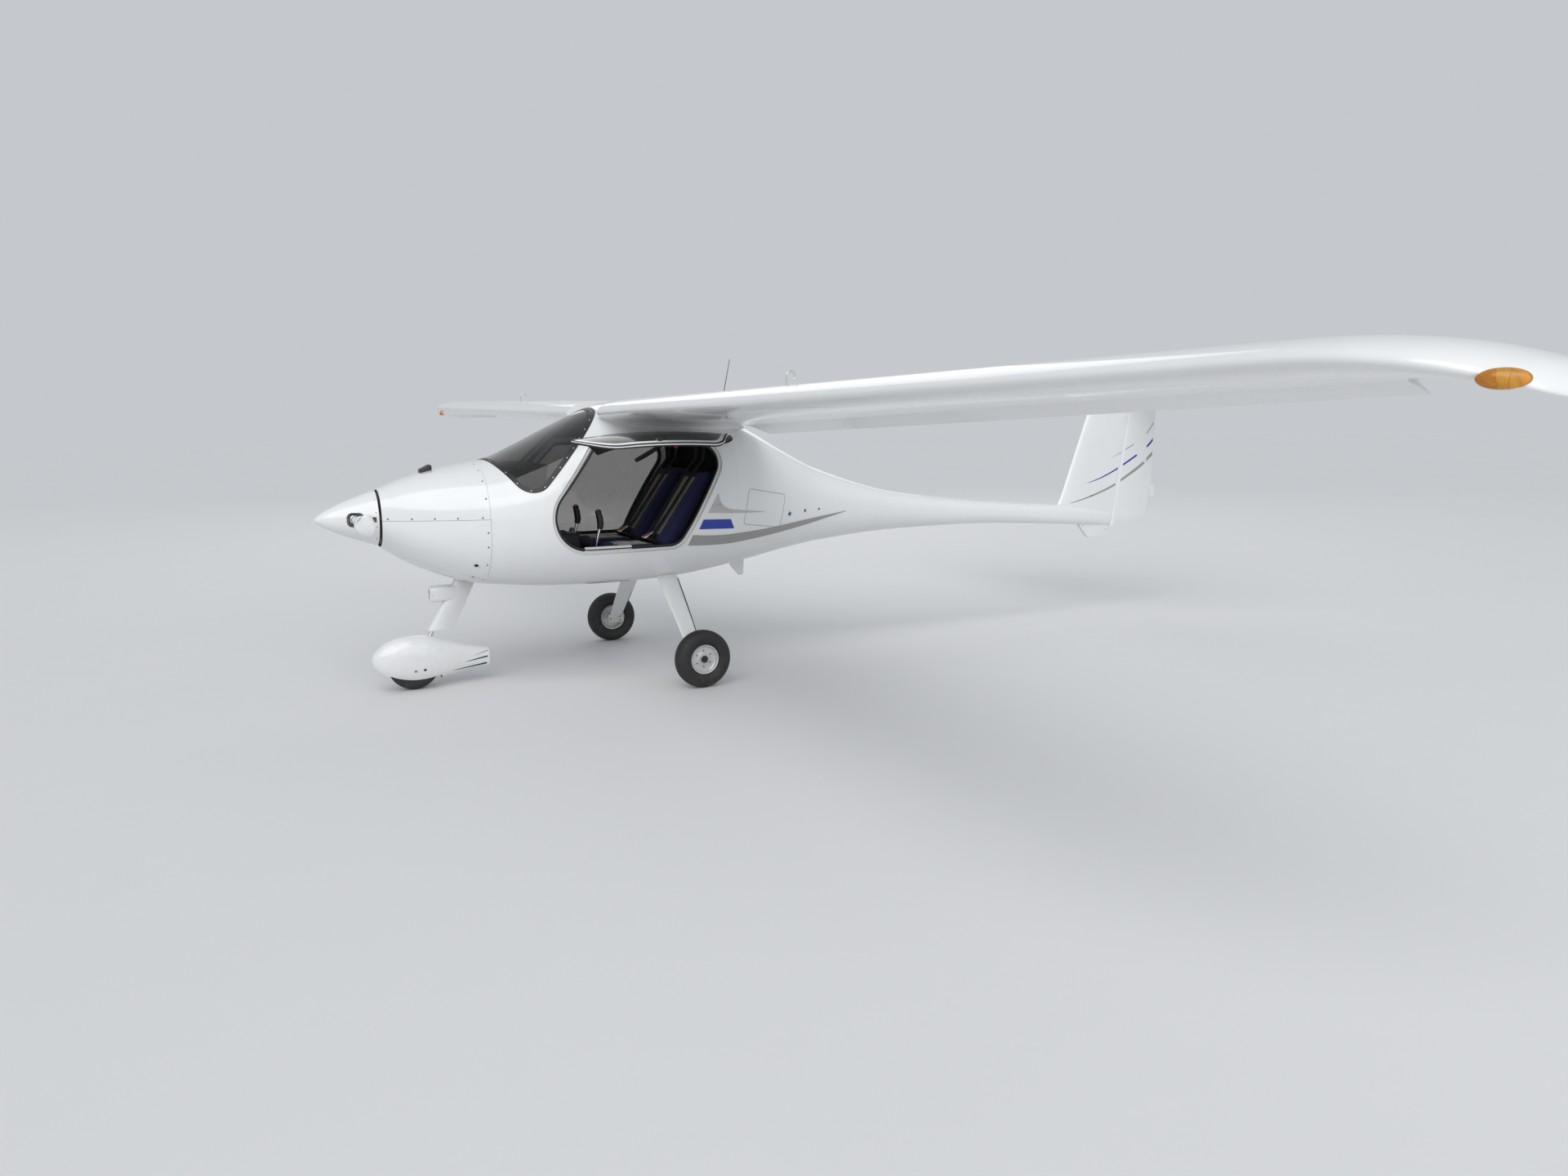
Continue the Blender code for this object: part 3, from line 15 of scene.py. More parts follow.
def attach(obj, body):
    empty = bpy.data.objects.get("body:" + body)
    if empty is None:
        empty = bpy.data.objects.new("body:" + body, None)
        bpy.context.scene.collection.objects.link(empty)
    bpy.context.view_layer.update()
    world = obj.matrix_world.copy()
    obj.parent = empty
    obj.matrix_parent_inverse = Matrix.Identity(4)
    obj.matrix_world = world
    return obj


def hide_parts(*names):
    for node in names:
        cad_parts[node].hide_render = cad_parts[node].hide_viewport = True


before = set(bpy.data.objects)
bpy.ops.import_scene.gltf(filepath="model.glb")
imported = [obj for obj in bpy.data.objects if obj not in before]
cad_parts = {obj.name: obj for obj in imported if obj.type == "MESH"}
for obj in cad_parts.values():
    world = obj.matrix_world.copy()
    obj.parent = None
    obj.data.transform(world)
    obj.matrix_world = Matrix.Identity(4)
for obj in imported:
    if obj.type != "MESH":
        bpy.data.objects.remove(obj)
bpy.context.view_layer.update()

# Overall sizes
LENGTH = 6.50
LEFT, RIGHT = -1, 1
HANDS = ((LEFT, "left"), (RIGHT, "right"))
SEAM = 0.0016
FILM = 0.0005
# Reach of a cutting form that goes right through the fuselage
THROUGH = 1.2

# Fuselage cross-sections: station, underside z, z of the widest place, top z, half width
HULL = (
    (0.334, 0.845, 1.005, 1.172, 0.170),
    (0.450, 0.765, 1.000, 1.218, 0.245),
    (0.600, 0.688, 0.990, 1.262, 0.325),
    (0.750, 0.630, 0.985, 1.292, 0.388),
    (0.872, 0.600, 0.985, 1.313, 0.428),
    (0.980, 0.586, 0.985, 1.336, 0.457),
    (1.180, 0.565, 0.990, 1.426, 0.503),
    (1.380, 0.554, 1.000, 1.524, 0.532),
    (1.600, 0.548, 1.010, 1.622, 0.546),
    (1.850, 0.549, 1.020, 1.668, 0.546),
    (2.100, 0.562, 1.030, 1.662, 0.532),
    (2.360, 0.594, 1.035, 1.608, 0.494),
    (2.600, 0.632, 1.030, 1.490, 0.432),
    (2.850, 0.676, 1.013, 1.354, 0.358),
    (3.100, 0.712, 0.985, 1.232, 0.290),
    (3.520, 0.748, 0.935, 1.092, 0.208),
    (3.860, 0.760, 0.900, 1.016, 0.162),
    (4.590, 0.756, 0.842, 0.926, 0.106),
    (5.340, 0.712, 0.784, 0.862, 0.066),
    (5.864, 0.672, 0.739, 0.812, 0.034),
)
HULL_POWER = 2.35
HULL_SIDES = 96
FIREWALL = 0.872
CABIN_END = 2.36
TAIL_END = 5.864
SKIN = 0.016
GLASS = 0.004
COWL_SKIN = 0.005
COWL_PROUD = 0.002

# Propeller and spinner
THRUST_Z = 1.012
SPINNER_BASE = 0.322
SPINNER_RADIUS = 0.157
SPINNER_POWER = 0.67
BLADE_STATION = 0.205
PROP_RADIUS = 0.80
BLADE_CHORD = 0.112
# Blade sections: share of the radius, chord share, thickness share, pitch from the disc in degrees
BLADE = (
    (0.100, 0.36, 0.95, 62.0),
    (0.200, 0.40, 0.80, 58.0),
    (0.290, 0.72, 0.30, 46.0),
    (0.420, 0.98, 0.17, 34.0),
    (0.600, 1.00, 0.12, 26.0),
    (0.800, 0.84, 0.10, 20.0),
    (0.940, 0.62, 0.09, 17.0),
    (0.985, 0.42, 0.085, 16.2),
    (1.000, 0.16, 0.08, 16.0),
)

# Side-view outlines in station, z and corner radius
SCREEN_OUTLINE = (
    (0.895, 1.372, 0.0), (1.100, 1.079, 0.110), (1.581, 1.600, 0.0), (1.690, 1.800, 0.0), (0.860, 1.800, 0.0),
)
DOOR_OUTLINE = ((1.478, 1.420, 0.030), (0.985, 0.784, 0.210), (1.978, 0.782, 0.110), (2.350, 1.420, 0.125))
DOOR_RIM = 0.034
DOOR_GAP = 0.006
HINGE_Y = 0.478
HINGE_Z = 1.432
HINGE_STATIONS = (1.66, 2.12)
LEFT_DOOR_OPEN = 87.0
SKYLIGHT = (1.66, 2.16, 0.20)
ROOF = (1.5, 1.8)

# Wing sections: distance out, leading edge station, leading edge z, chord, incidence, thickness share
WING = (
    (0.300, 1.545, 1.591, 1.040, 5.6, 0.150),
    (2.600, 1.588, 1.632, 0.905, 4.2, 0.142),
    (4.800, 1.630, 1.672, 0.760, 2.7, 0.132),
    (4.960, 1.638, 1.671, 0.748, 2.6, 0.130),
    (5.090, 1.658, 1.662, 0.722, 2.4, 0.126),
    (5.200, 1.698, 1.645, 0.674, 2.2, 0.120),
    (5.285, 1.762, 1.620, 0.592, 2.0, 0.112),
    (5.335, 1.842, 1.596, 0.480, 2.0, 0.100),
    (5.355, 1.930, 1.582, 0.340, 2.0, 0.080),
)
WING_CAMBER = 0.030
FLAPERON = (0.545, 4.760)
FLAPERON_SHARE = 0.82
FLAPERON_DROOP = 15.0
FLAPERON_NOSE = 0.0155
FLAPERON_HINGES = (0.92, 2.65, 4.40)
VENT_OUT = 2.233

# Fin, rudder and tailplane
FIN_FOOT = (5.325, 0.800)
FIN_TOP = (5.700, 1.772)
RUDDER_FOOT = (5.902, 0.690)
RUDDER_HEAD = (6.083, 1.735)
RUDDER_TRAIL = 6.335
RUDDER_NOSE = 0.026
FIN_FOOT_HALF = 0.036
TAILPLANE_Z = 1.800
# Distance out, leading edge station, elevator hinge station, trailing edge station, thickness
TAILPLANE = (
    (0.00, 5.930, 6.270, 6.500, 0.050),
    (0.98, 5.995, 6.270, 6.452, 0.038),
    (1.05, 6.010, 6.270, 6.440, 0.033),
    (1.09, 6.045, 6.270, 6.415, 0.022),
)
ELEVATOR_NOSE = 0.017

# Undercarriage
MAIN_STATION = 1.968
HALF_TRACK = 0.80
MAIN_RADIUS = 0.168
MAIN_WIDTH = 0.104
MAIN_RIM = 0.087
NOSE_STATION = 0.482
NOSE_RADIUS = 0.146
NOSE_WIDTH = 0.092
NOSE_RIM = 0.062
STRUT_POINT = (0.601, 0.340)
NOSE_RAKE = 29.0
STRUT_RADIUS = 0.013
CROWN_Z = 0.284
# Nose wheel fairing: station, underside z, top z, half width
PANT = (
    (0.250, 0.176, 0.194, 0.008), (0.258, 0.150, 0.218, 0.030), (0.285, 0.112, 0.252, 0.054),
    (0.340, 0.070, 0.290, 0.076), (0.420, 0.045, 0.314, 0.087), (0.500, 0.036, 0.318, 0.089),
    (0.590, 0.042, 0.304, 0.083), (0.680, 0.060, 0.274, 0.070), (0.780, 0.080, 0.238, 0.052),
    (0.870, 0.090, 0.214, 0.035), (0.915, 0.094, 0.204, 0.028),
)
PANT_POWER = 0.85
# One side of a tyre from its bead to the crown, in shares of its half width and depth
TYRE = ((-0.62, 0.0), (-0.86, 0.10), (-1.0, 0.36), (-0.97, 0.62), (-0.80, 0.84), (-0.50, 0.955), (0.0, 1.0))
# Front of the landing lamp
LAMP = (0.594, 0.550)

# Cabin
SEAT_Y = 0.222

# Camera, fitted to the photograph
CAMERA_PLACE = (-3.8183, -6.6119, 1.5565)
CAMERA_YAW = 0.4869
CAMERA_PITCH = 0.1535
CAMERA_ROLL = -0.0092
CAMERA_LENS = 25.467


def at(station):
    """X of a station."""
    return station - LENGTH / 2


# Materials


def new_group(name, inputs, outputs):
    """A shader node group with named sockets, each given as (name, kind, default)."""
    group = bpy.data.node_groups.new(name, "ShaderNodeTree")
    for label, kind, value in inputs:
        socket = group.interface.new_socket(label, in_out="INPUT", socket_type="NodeSocket" + kind)
        if value is not None:
            socket.default_value = value
    for label, kind in outputs:
        group.interface.new_socket(label, in_out="OUTPUT", socket_type="NodeSocket" + kind)
    return group, group.nodes.new("NodeGroupInput"), group.nodes.new("NodeGroupOutput")


def maths(tree, operation, first, second=0.5, third=None):
    """A Math node whose inputs are sockets or numbers. It returns its output."""
    node = tree.nodes.new("ShaderNodeMath")
    node.operation = operation
    for spot, value in zip(node.inputs, (first, second, third)):
        if value is None:
            continue
        if isinstance(value, (int, float)):
            spot.default_value = value
        else:
            tree.links.new(value, spot)
    return node.outputs[0]


def blotches(tree, vector, scale, detail=3.0, low=0.35, high=0.65):
    """Soft noise spread to the range 0 to 1."""
    field = tree.nodes.new("ShaderNodeTexNoise")
    field.inputs["Detail"].default_value = detail
    tree.links.new(vector, field.inputs["Vector"])
    if isinstance(scale, (int, float)):
        field.inputs["Scale"].default_value = scale
    else:
        tree.links.new(scale, field.inputs["Scale"])
    spread_out = tree.nodes.new("ShaderNodeMapRange")
    spread_out.inputs["From Min"].default_value = low
    spread_out.inputs["From Max"].default_value = high
    tree.links.new(field.outputs["Fac"], spread_out.inputs["Value"])
    return spread_out.outputs["Result"]


def mixed(tree, factor, first, second, blend="MIX"):
    """A mix of two colours, each a socket or a value. It returns the mixed colour."""
    node = tree.nodes.new("ShaderNodeMix")
    node.data_type = "RGBA"
    node.blend_type = blend
    for spot, value in zip((node.inputs["Factor"], node.inputs[6], node.inputs[7]), (factor, first, second)):
        if isinstance(value, tuple):
            spot.default_value = value
        else:
            tree.links.new(value, spot)
    return node.outputs[2]


def toned_group():
    """Colour and roughness that vary softly over a surface."""
    group, given, out = new_group(
        "uneven_finish",
        (("Vector", "Vector", None), ("Color", "Color", None), ("Second", "Color", None),
         ("Scale", "Float", 3.0), ("Share", "Float", 0.5), ("Roughness", "Float", 0.4),
         ("Swing", "Float", 0.1)),
        (("Color", "Color"), ("Roughness", "Float")),
    )
    value = given.outputs
    wide = blotches(group, value["Vector"], value["Scale"])
    fine = blotches(group, value["Vector"], maths(group, "MULTIPLY", value["Scale"], 9.0))
    both = maths(group, "MULTIPLY_ADD", fine, 0.35, maths(group, "MULTIPLY", wide, 0.65))
    share = maths(group, "MULTIPLY", both, value["Share"])
    group.links.new(mixed(group, share, value["Color"], value["Second"]), out.inputs["Color"])
    centred = maths(group, "SUBTRACT", both, 0.5)
    rough = maths(group, "MULTIPLY_ADD", centred, value["Swing"], value["Roughness"])
    group.links.new(rough, out.inputs["Roughness"])
    return group


def dust_group():
    """Road dust that thins out with height over the ground, broken up by noise."""
    group, given, out = new_group(
        "ground_dust",
        (("Vector", "Vector", None), ("Color", "Color", None), ("Dust", "Color", None),
         ("Reach", "Float", 0.4), ("Amount", "Float", 0.3)),
        (("Color", "Color"),),
    )
    value = given.outputs
    split = group.nodes.new("ShaderNodeSeparateXYZ")
    group.links.new(value["Vector"], split.inputs[0])
    height = maths(group, "DIVIDE", split.outputs["Z"], value["Reach"])
    low = maths(group, "SUBTRACT", 1.0, height)
    low.node.use_clamp = True
    patches = blotches(group, value["Vector"], 24.0, 6.0, 0.30, 0.75)
    mask = maths(group, "MULTIPLY", maths(group, "MULTIPLY", low, patches), value["Amount"])
    group.links.new(mixed(group, mask, value["Color"], value["Dust"]), out.inputs["Color"])
    return group


def grain_group():
    """Height of a fine random grain laid over a slower ripple."""
    group, given, out = new_group(
        "grain", (("Vector", "Vector", None), ("Scale", "Float", 200.0), ("Ripple", "Float", 0.3)),
        (("Height", "Float"),),
    )
    fine = blotches(group, given.outputs["Vector"], given.outputs["Scale"], 2.0, 0.2, 0.8)
    slow = blotches(group, given.outputs["Vector"], maths(group, "MULTIPLY", given.outputs["Scale"], 0.08))
    height = maths(group, "MULTIPLY_ADD", slow, given.outputs["Ripple"], fine)
    group.links.new(height, out.inputs["Height"])
    return group


def weave_group():
    """Crossed threads: their height, and a mask that picks out the threads on top."""
    group, given, out = new_group(
        "weave", (("Vector", "Vector", None), ("Scale", "Float", 300.0)),
        (("Height", "Float"), ("Thread", "Float")),
    )
    waves = []
    for direction in ("X", "Z"):
        wave = group.nodes.new("ShaderNodeTexWave")
        wave.bands_direction = direction
        wave.inputs["Distortion"].default_value = 0.4
        wave.inputs["Detail"].default_value = 0.0
        for label in ("Vector", "Scale"):
            group.links.new(given.outputs[label], wave.inputs[label])
        waves.append(wave.outputs["Fac"])
    group.links.new(maths(group, "MAXIMUM", *waves), out.inputs["Height"])
    group.links.new(maths(group, "MULTIPLY", *waves), out.inputs["Thread"])
    return group


UNEVEN, DUST, GRAIN, WEAVE = toned_group(), dust_group(), grain_group(), weave_group()
DUST_COLOR = (0.42, 0.39, 0.34)


def placed_group(tree, group, **values):
    """A node group in a material, with its inputs set by name. Sockets are linked and numbers are set."""
    node = tree.nodes.new("ShaderNodeGroup")
    node.node_tree = group
    for label, value in values.items():
        spot = node.inputs[label.replace("_", " ")]
        if isinstance(value, bpy.types.NodeSocket):
            tree.links.new(value, spot)
        elif isinstance(value, tuple):
            spot.default_value = (*value, 1.0)
        else:
            spot.default_value = value
    return node


def finish(
    name, color, roughness, second=None, metallic=0.0, coat=0.0, sheen=0.0, scale=3.0, share=0.5, swing=0.1,
    grain=0.0, grain_scale=220.0, ripple=0.3, woven=0.0, thread_scale=260.0, dust=0.0, dust_reach=0.5,
):
    """A procedural finish: uneven tone, dust near the ground, and a grain or a weave in its surface."""
    made = bpy.data.materials.new(name)
    made.use_nodes = True
    tree = made.node_tree
    shader = tree.nodes["Principled BSDF"]
    for label, value in (("Metallic", metallic), ("Coat Weight", coat), ("Coat Roughness", 0.05),
                         ("Sheen Weight", sheen)):
        shader.inputs[label].default_value = value
    place = tree.nodes.new("ShaderNodeTexCoord").outputs["Object"]
    second = second or tuple(channel * 0.86 for channel in color)
    toned = placed_group(
        tree, UNEVEN, Vector=place, Color=color, Second=second, Scale=scale, Share=share,
        Roughness=roughness, Swing=swing,
    )
    shade = toned.outputs["Color"]
    if woven:
        cloth = placed_group(tree, WEAVE, Vector=place, Scale=thread_scale)
        gaps = maths(tree, "SUBTRACT", 1.0, cloth.outputs["Thread"])
        shade = mixed(tree, gaps, shade, (0.45, 0.45, 0.48, 1.0), "MULTIPLY")
    if dust:
        dusty = placed_group(
            tree, DUST, Vector=place, Color=shade, Dust=DUST_COLOR, Reach=dust_reach, Amount=dust,
        )
        shade = dusty.outputs["Color"]
    tree.links.new(shade, shader.inputs["Base Color"])
    tree.links.new(toned.outputs["Roughness"], shader.inputs["Roughness"])
    if grain or woven:
        if woven:
            height, strength, depth = cloth.outputs["Height"], woven, 0.0012
        else:
            grainy = placed_group(tree, GRAIN, Vector=place, Scale=grain_scale, Ripple=ripple)
            height, strength, depth = grainy.outputs["Height"], grain, 0.0010
        bump = tree.nodes.new("ShaderNodeBump")
        bump.inputs["Strength"].default_value = strength
        bump.inputs["Distance"].default_value = depth
        tree.links.new(height, bump.inputs["Height"])
        tree.links.new(bump.outputs["Normal"], shader.inputs["Normal"])
    return made


def clear_finish(name, color, roughness=0.03, share=1.0):
    """Tinted see-through acrylic with faint wipe marks."""
    made = finish(name, color, roughness, scale=9.0, swing=0.04, share=0.2)
    shader = made.node_tree.nodes["Principled BSDF"]
    shader.inputs["Transmission Weight"].default_value = share
    shader.inputs["IOR"].default_value = 1.45
    return made


WHITE = finish(
    "white_gelcoat", (0.80, 0.805, 0.80), 0.20, second=(0.76, 0.765, 0.765), coat=0.6, scale=1.4, share=0.8,
    swing=0.05, grain=0.018, grain_scale=60.0, ripple=1.0, dust=0.16, dust_reach=0.75,
)
JAMB = finish(
    "door_jamb_white", (0.74, 0.745, 0.74), 0.34, coat=0.25, scale=4.0, grain=0.05, grain_scale=160.0,
)
SMOKED = clear_finish("smoked_acrylic", (0.30, 0.295, 0.28))
LAMP_GLASS = clear_finish("lamp_glass", (0.80, 0.82, 0.82))
AMBER = clear_finish("amber_lens", (0.85, 0.42, 0.05), 0.08, 0.7)
RUBBER = finish(
    "tyre_rubber", (0.012, 0.012, 0.013), 0.62, second=(0.021, 0.020, 0.020), scale=14.0, grain=0.25,
    grain_scale=420.0, dust=0.07, dust_reach=0.30,
)
SEAL = finish("rubber_seal", (0.014, 0.014, 0.015), 0.6, scale=20.0, grain=0.2, grain_scale=500.0)
BLACK = finish("black_moulding", (0.016, 0.016, 0.018), 0.42, scale=16.0, grain=0.35, grain_scale=700.0)
BORDER = finish("black_screen_band", (0.006, 0.006, 0.007), 0.42, scale=8.0)
CARPET = finish(
    "cabin_lining", (0.010, 0.010, 0.012), 0.95, second=(0.018, 0.018, 0.021), scale=30.0, grain=0.9,
    grain_scale=900.0,
)
SHIELD = finish(
    "glare_shield", (0.13, 0.105, 0.085), 0.85, second=(0.10, 0.082, 0.068), scale=18.0, woven=0.5,
    thread_scale=180.0,
)
NAVY = finish(
    "navy_seat_cloth", (0.010, 0.014, 0.100), 0.78, second=(0.016, 0.022, 0.140), scale=16.0, sheen=0.12,
    woven=0.45, thread_scale=240.0,
)
BEIGE = finish(
    "beige_seat_cloth", (0.72, 0.66, 0.54), 0.82, second=(0.64, 0.58, 0.47), scale=14.0, sheen=0.3,
    woven=0.55, thread_scale=170.0,
)
WEBBING = finish(
    "harness_webbing", (0.018, 0.018, 0.020), 0.7, second=(0.03, 0.03, 0.033), scale=30.0, woven=0.8,
    thread_scale=320.0,
)
ALLOY = finish(
    "bare_alloy", (0.66, 0.66, 0.65), 0.26, second=(0.55, 0.55, 0.54), metallic=1.0, scale=22.0, swing=0.18,
    grain=0.06, grain_scale=500.0,
)
STEEL = finish(
    "polished_steel", (0.72, 0.72, 0.73), 0.16, metallic=1.0, scale=40.0, swing=0.12, grain=0.03,
)
DARK_STEEL = finish("dark_fastener", (0.16, 0.16, 0.165), 0.38, metallic=1.0, scale=90.0, swing=0.2)
RIM_PAINT = finish(
    "rim_silver", (0.62, 0.63, 0.63), 0.30, second=(0.52, 0.52, 0.51), metallic=0.35, scale=26.0, coat=0.3,
    grain=0.12, grain_scale=380.0, dust=0.35, dust_reach=0.5,
)
CALIPER = finish(
    "caliper_casting", (0.63, 0.63, 0.62), 0.45, second=(0.50, 0.50, 0.49), metallic=0.3, scale=50.0,
    grain=0.4, grain_scale=600.0, dust=0.25,
)
BLUE_FILM = finish("blue_film", (0.008, 0.040, 0.36), 0.32, coat=0.1, scale=6.0, share=0.25)
GREY_FILM = finish("grey_film", (0.32, 0.315, 0.31), 0.32, coat=0.1, scale=6.0, share=0.2)
# A flat grey film used as painted shade on the white skin, beside the open door's shadow
PAINTED_SHADE_FILM = finish("painted_shade_film", (0.50, 0.50, 0.49), 0.32, coat=0.1, scale=6.0, share=0.2)
NAVY_FILM = finish("navy_film", (0.012, 0.025, 0.14), 0.24, coat=0.4, scale=6.0, share=0.3)
SEAM_SHADE = finish("seam_shadow", (0.10, 0.10, 0.10), 0.7, scale=40.0)
RED = finish("red_tag", (0.55, 0.015, 0.012), 0.5, scale=40.0, grain=0.3, grain_scale=500.0)
DIAL_WHITE = finish("dial_marks", (0.75, 0.75, 0.72), 0.5, scale=40.0)
SCREEN_GLASS = finish("display_glass", (0.02, 0.028, 0.035), 0.08, coat=0.8, scale=12.0)
ENGINE = finish(
    "engine_grey", (0.20, 0.20, 0.205), 0.5, second=(0.13, 0.13, 0.13), metallic=0.6, scale=20.0, grain=0.4,
    grain_scale=300.0,
)


# Mesh tools


def shaded(made, sharp=35.0):
    """Smooth shading, with edges sharper than this angle kept crisp."""
    made.data.shade_smooth()
    made.data.set_sharp_from_angle(angle=math.radians(sharp))
    return made


def as_object(name, bm, material=None, sharp=35.0):
    """Ends a bmesh as an object whose faces point out."""
    bmesh.ops.remove_doubles(bm, verts=bm.verts, dist=1e-6)
    bmesh.ops.recalc_face_normals(bm, faces=bm.faces)
    mesh = bpy.data.meshes.new(name)
    bm.to_mesh(mesh)
    bm.free()
    made = bpy.data.objects.new(name, mesh)
    bpy.context.scene.collection.objects.link(made)
    if material:
        mesh.materials.append(material)
    return shaded(made, sharp)


def on_body(made, body, stands_for=()):
    """Lets a finished piece ride on its body, in place of the nodes it stands for."""
    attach(made, body)
    if stands_for:
        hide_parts(*stands_for)
    return made


def loft(name, rings, material=None, sharp=35.0, closed=True, capped=True):
    """A skin through rings with equal numbers of points."""
    bm = bmesh.new()
    loops = []
    for ring in rings:
        verts = [bm.verts.new(point) for point in ring]
        pairs = zip(verts, verts[1:] + verts[:1]) if closed else zip(verts, verts[1:])
        loops.append([bm.edges.new(pair) for pair in pairs])
    if capped and closed:
        for end in (loops[0], loops[-1]):
            bmesh.ops.contextual_create(bm, geom=end)
    for first, second in zip(loops, loops[1:]):
        bmesh.ops.bridge_loops(bm, edges=first + second)
    return as_object(name, bm, material, sharp)


def turned(name, profile, centre, material=None, axis="Y", steps=64, sharp=35.0):
    """A profile of (distance along the axis, radius) spun round an axis through centre."""
    bm = bmesh.new()
    verts = [bm.verts.new((0.0, along, radius)) for along, radius in profile]
    edges = [bm.edges.new(pair) for pair in zip(verts, verts[1:])]
    bmesh.ops.spin(
        bm, geom=verts + edges, cent=(0, 0, 0), axis=(0, 1, 0), angle=math.tau, steps=steps, use_merge=True,
    )
    if axis == "X":
        bmesh.ops.rotate(bm, verts=bm.verts, cent=(0, 0, 0), matrix=Matrix.Rotation(-math.pi / 2, 3, "Z"))
    if axis == "Z":
        bmesh.ops.rotate(bm, verts=bm.verts, cent=(0, 0, 0), matrix=Matrix.Rotation(math.pi / 2, 3, "X"))
    bmesh.ops.translate(bm, verts=bm.verts, vec=centre)
    return as_object(name, bm, material, sharp)


def pin(name, low, high, radius, centre, material=None, axis="Y", steps=24):
    """A round pin between two distances along its axis."""
    profile = [(low, 0.0), (low, radius), (high, radius), (high, 0.0)]
    return turned(name, profile, centre, material, axis, steps)


def prism(name, outline, low, high, material=None, axis="Y", bevel=0.0, segments=2):
    """An outline pushed from low to high. Along Y it is (x, z), along X (y, z), along Z (x, y)."""
    def place(a, b, along):
        return {"Y": (a, along, b), "X": (along, a, b), "Z": (a, b, along)}[axis]

    bm = bmesh.new()
    face = bm.faces.new([bm.verts.new(place(a, b, low)) for a, b in outline])
    pushed = bmesh.ops.extrude_face_region(bm, geom=[face])
    moved = [item for item in pushed["geom"] if isinstance(item, bmesh.types.BMVert)]
    bmesh.ops.translate(bm, verts=moved, vec=place(0, 0, high - low))
    if bevel:
        round_edges(bm, bevel, segments)
    return as_object(name, bm, material)


def round_edges(bm, width, segments=2, sharp=28.0):
    """Rounds every edge that is sharper than an angle."""
    edges = [e for e in bm.edges if len(e.link_faces) == 2 and e.calc_face_angle(0.0) > math.radians(sharp)]
    bmesh.ops.bevel(
        bm, geom=edges, offset=width, segments=segments, profile=0.5, affect="EDGES", material=-1,
        clamp_overlap=True,
    )


def block(name, low, high, material=None, bevel=0.0, segments=3):
    """A box between two corners with rounded edges."""
    bm = bmesh.new()
    bmesh.ops.create_cube(bm, size=1.0)
    bmesh.ops.scale(bm, verts=bm.verts, vec=Vector(high) - Vector(low))
    bmesh.ops.translate(bm, verts=bm.verts, vec=(Vector(high) + Vector(low)) / 2)
    if bevel:
        round_edges(bm, bevel, segments)
    return as_object(name, bm, material)


def smooth_path(points, per_leg=8):
    """A Catmull-Rom line through points."""
    points = [Vector(p) for p in points]
    last = len(points) - 1
    line = []
    for i in range(last):
        before, a, b, after = points[max(i - 1, 0)], points[i], points[i + 1], points[min(i + 2, last)]
        for step in range(per_leg):
            t = step / per_leg
            line.append(0.5 * (
                2 * a + (b - before) * t + (2 * before - 5 * a + 4 * b - after) * t * t
                + (3 * a - before - 3 * b + after) * t**3
            ))
    return line + [points[-1]]


def swept(name, path, section, material=None, closed=False, up=(0, 0, 1), sharp=35.0):
    """A section of (side, up) points carried along a path and kept level with a guide direction."""
    path = [Vector(p) for p in path]
    rings = []
    for i, point in enumerate(path):
        ahead = path[(i + 1) % len(path)] if closed or i + 1 < len(path) else point
        behind = path[i - 1] if closed or i else point
        forward = (ahead - behind).normalized()
        side = forward.cross(up[i] if isinstance(up, list) else Vector(up)).normalized()
        top = side.cross(forward)
        rings.append([point + side * a + top * b for a, b in section])
    if closed:
        rings.append(rings[0])
    return loft(name, rings, material, sharp, capped=not closed)


def arc(radius, start, end, steps):
    """Points of an arc between two angles in radians."""
    angles = steps_between(start, end, steps)
    return [(radius * math.cos(angle), radius * math.sin(angle)) for angle in angles]


def circle(radius, count=12):
    return arc(radius, 0.0, math.tau, count)[:-1]


def pipe(name, path, radius, material=None, closed=False, count=12, up=(0.13, 0.41, 0.9)):
    return swept(name, path, circle(radius, count), material, closed, up)


def merged(name, parts, sharp=35.0):
    """Several objects made one, each part's materials kept."""
    bm = bmesh.new()
    materials = []
    for part in parts:
        start = len(bm.faces)
        bm.from_mesh(part.data)
        bm.faces.ensure_lookup_table()
        own = list(part.data.materials) or [None]
        materials += [entry for entry in own if entry not in materials]
        for face in bm.faces[start:]:
            face.material_index = materials.index(own[min(face.material_index, len(own) - 1)])
        bpy.data.objects.remove(part)
    mesh = bpy.data.meshes.new(name)
    bm.to_mesh(mesh)
    bm.free()
    for entry in materials:
        mesh.materials.append(entry)
    made = bpy.data.objects.new(name, mesh)
    bpy.context.scene.collection.objects.link(made)
    return shaded(made, sharp)


def cut(target, *tools, operation="DIFFERENCE", keep=False, sharp=35.0):
    """Applies Booleans to target, then removes their tools."""
    for tool in tools:
        modifier = target.modifiers.new("cut", "BOOLEAN")
        modifier.operation = operation
        modifier.object = tool
    bpy.context.view_layer.update()
    graph = bpy.context.evaluated_depsgraph_get()
    mesh = bpy.data.meshes.new_from_object(target.evaluated_get(graph))
    target.modifiers.clear()
    target.data = mesh
    if not keep:
        for tool in tools:
            bpy.data.objects.remove(tool)
    return shaded(target, sharp)


def moved(made, matrix):
    made.data.transform(matrix)
    return made


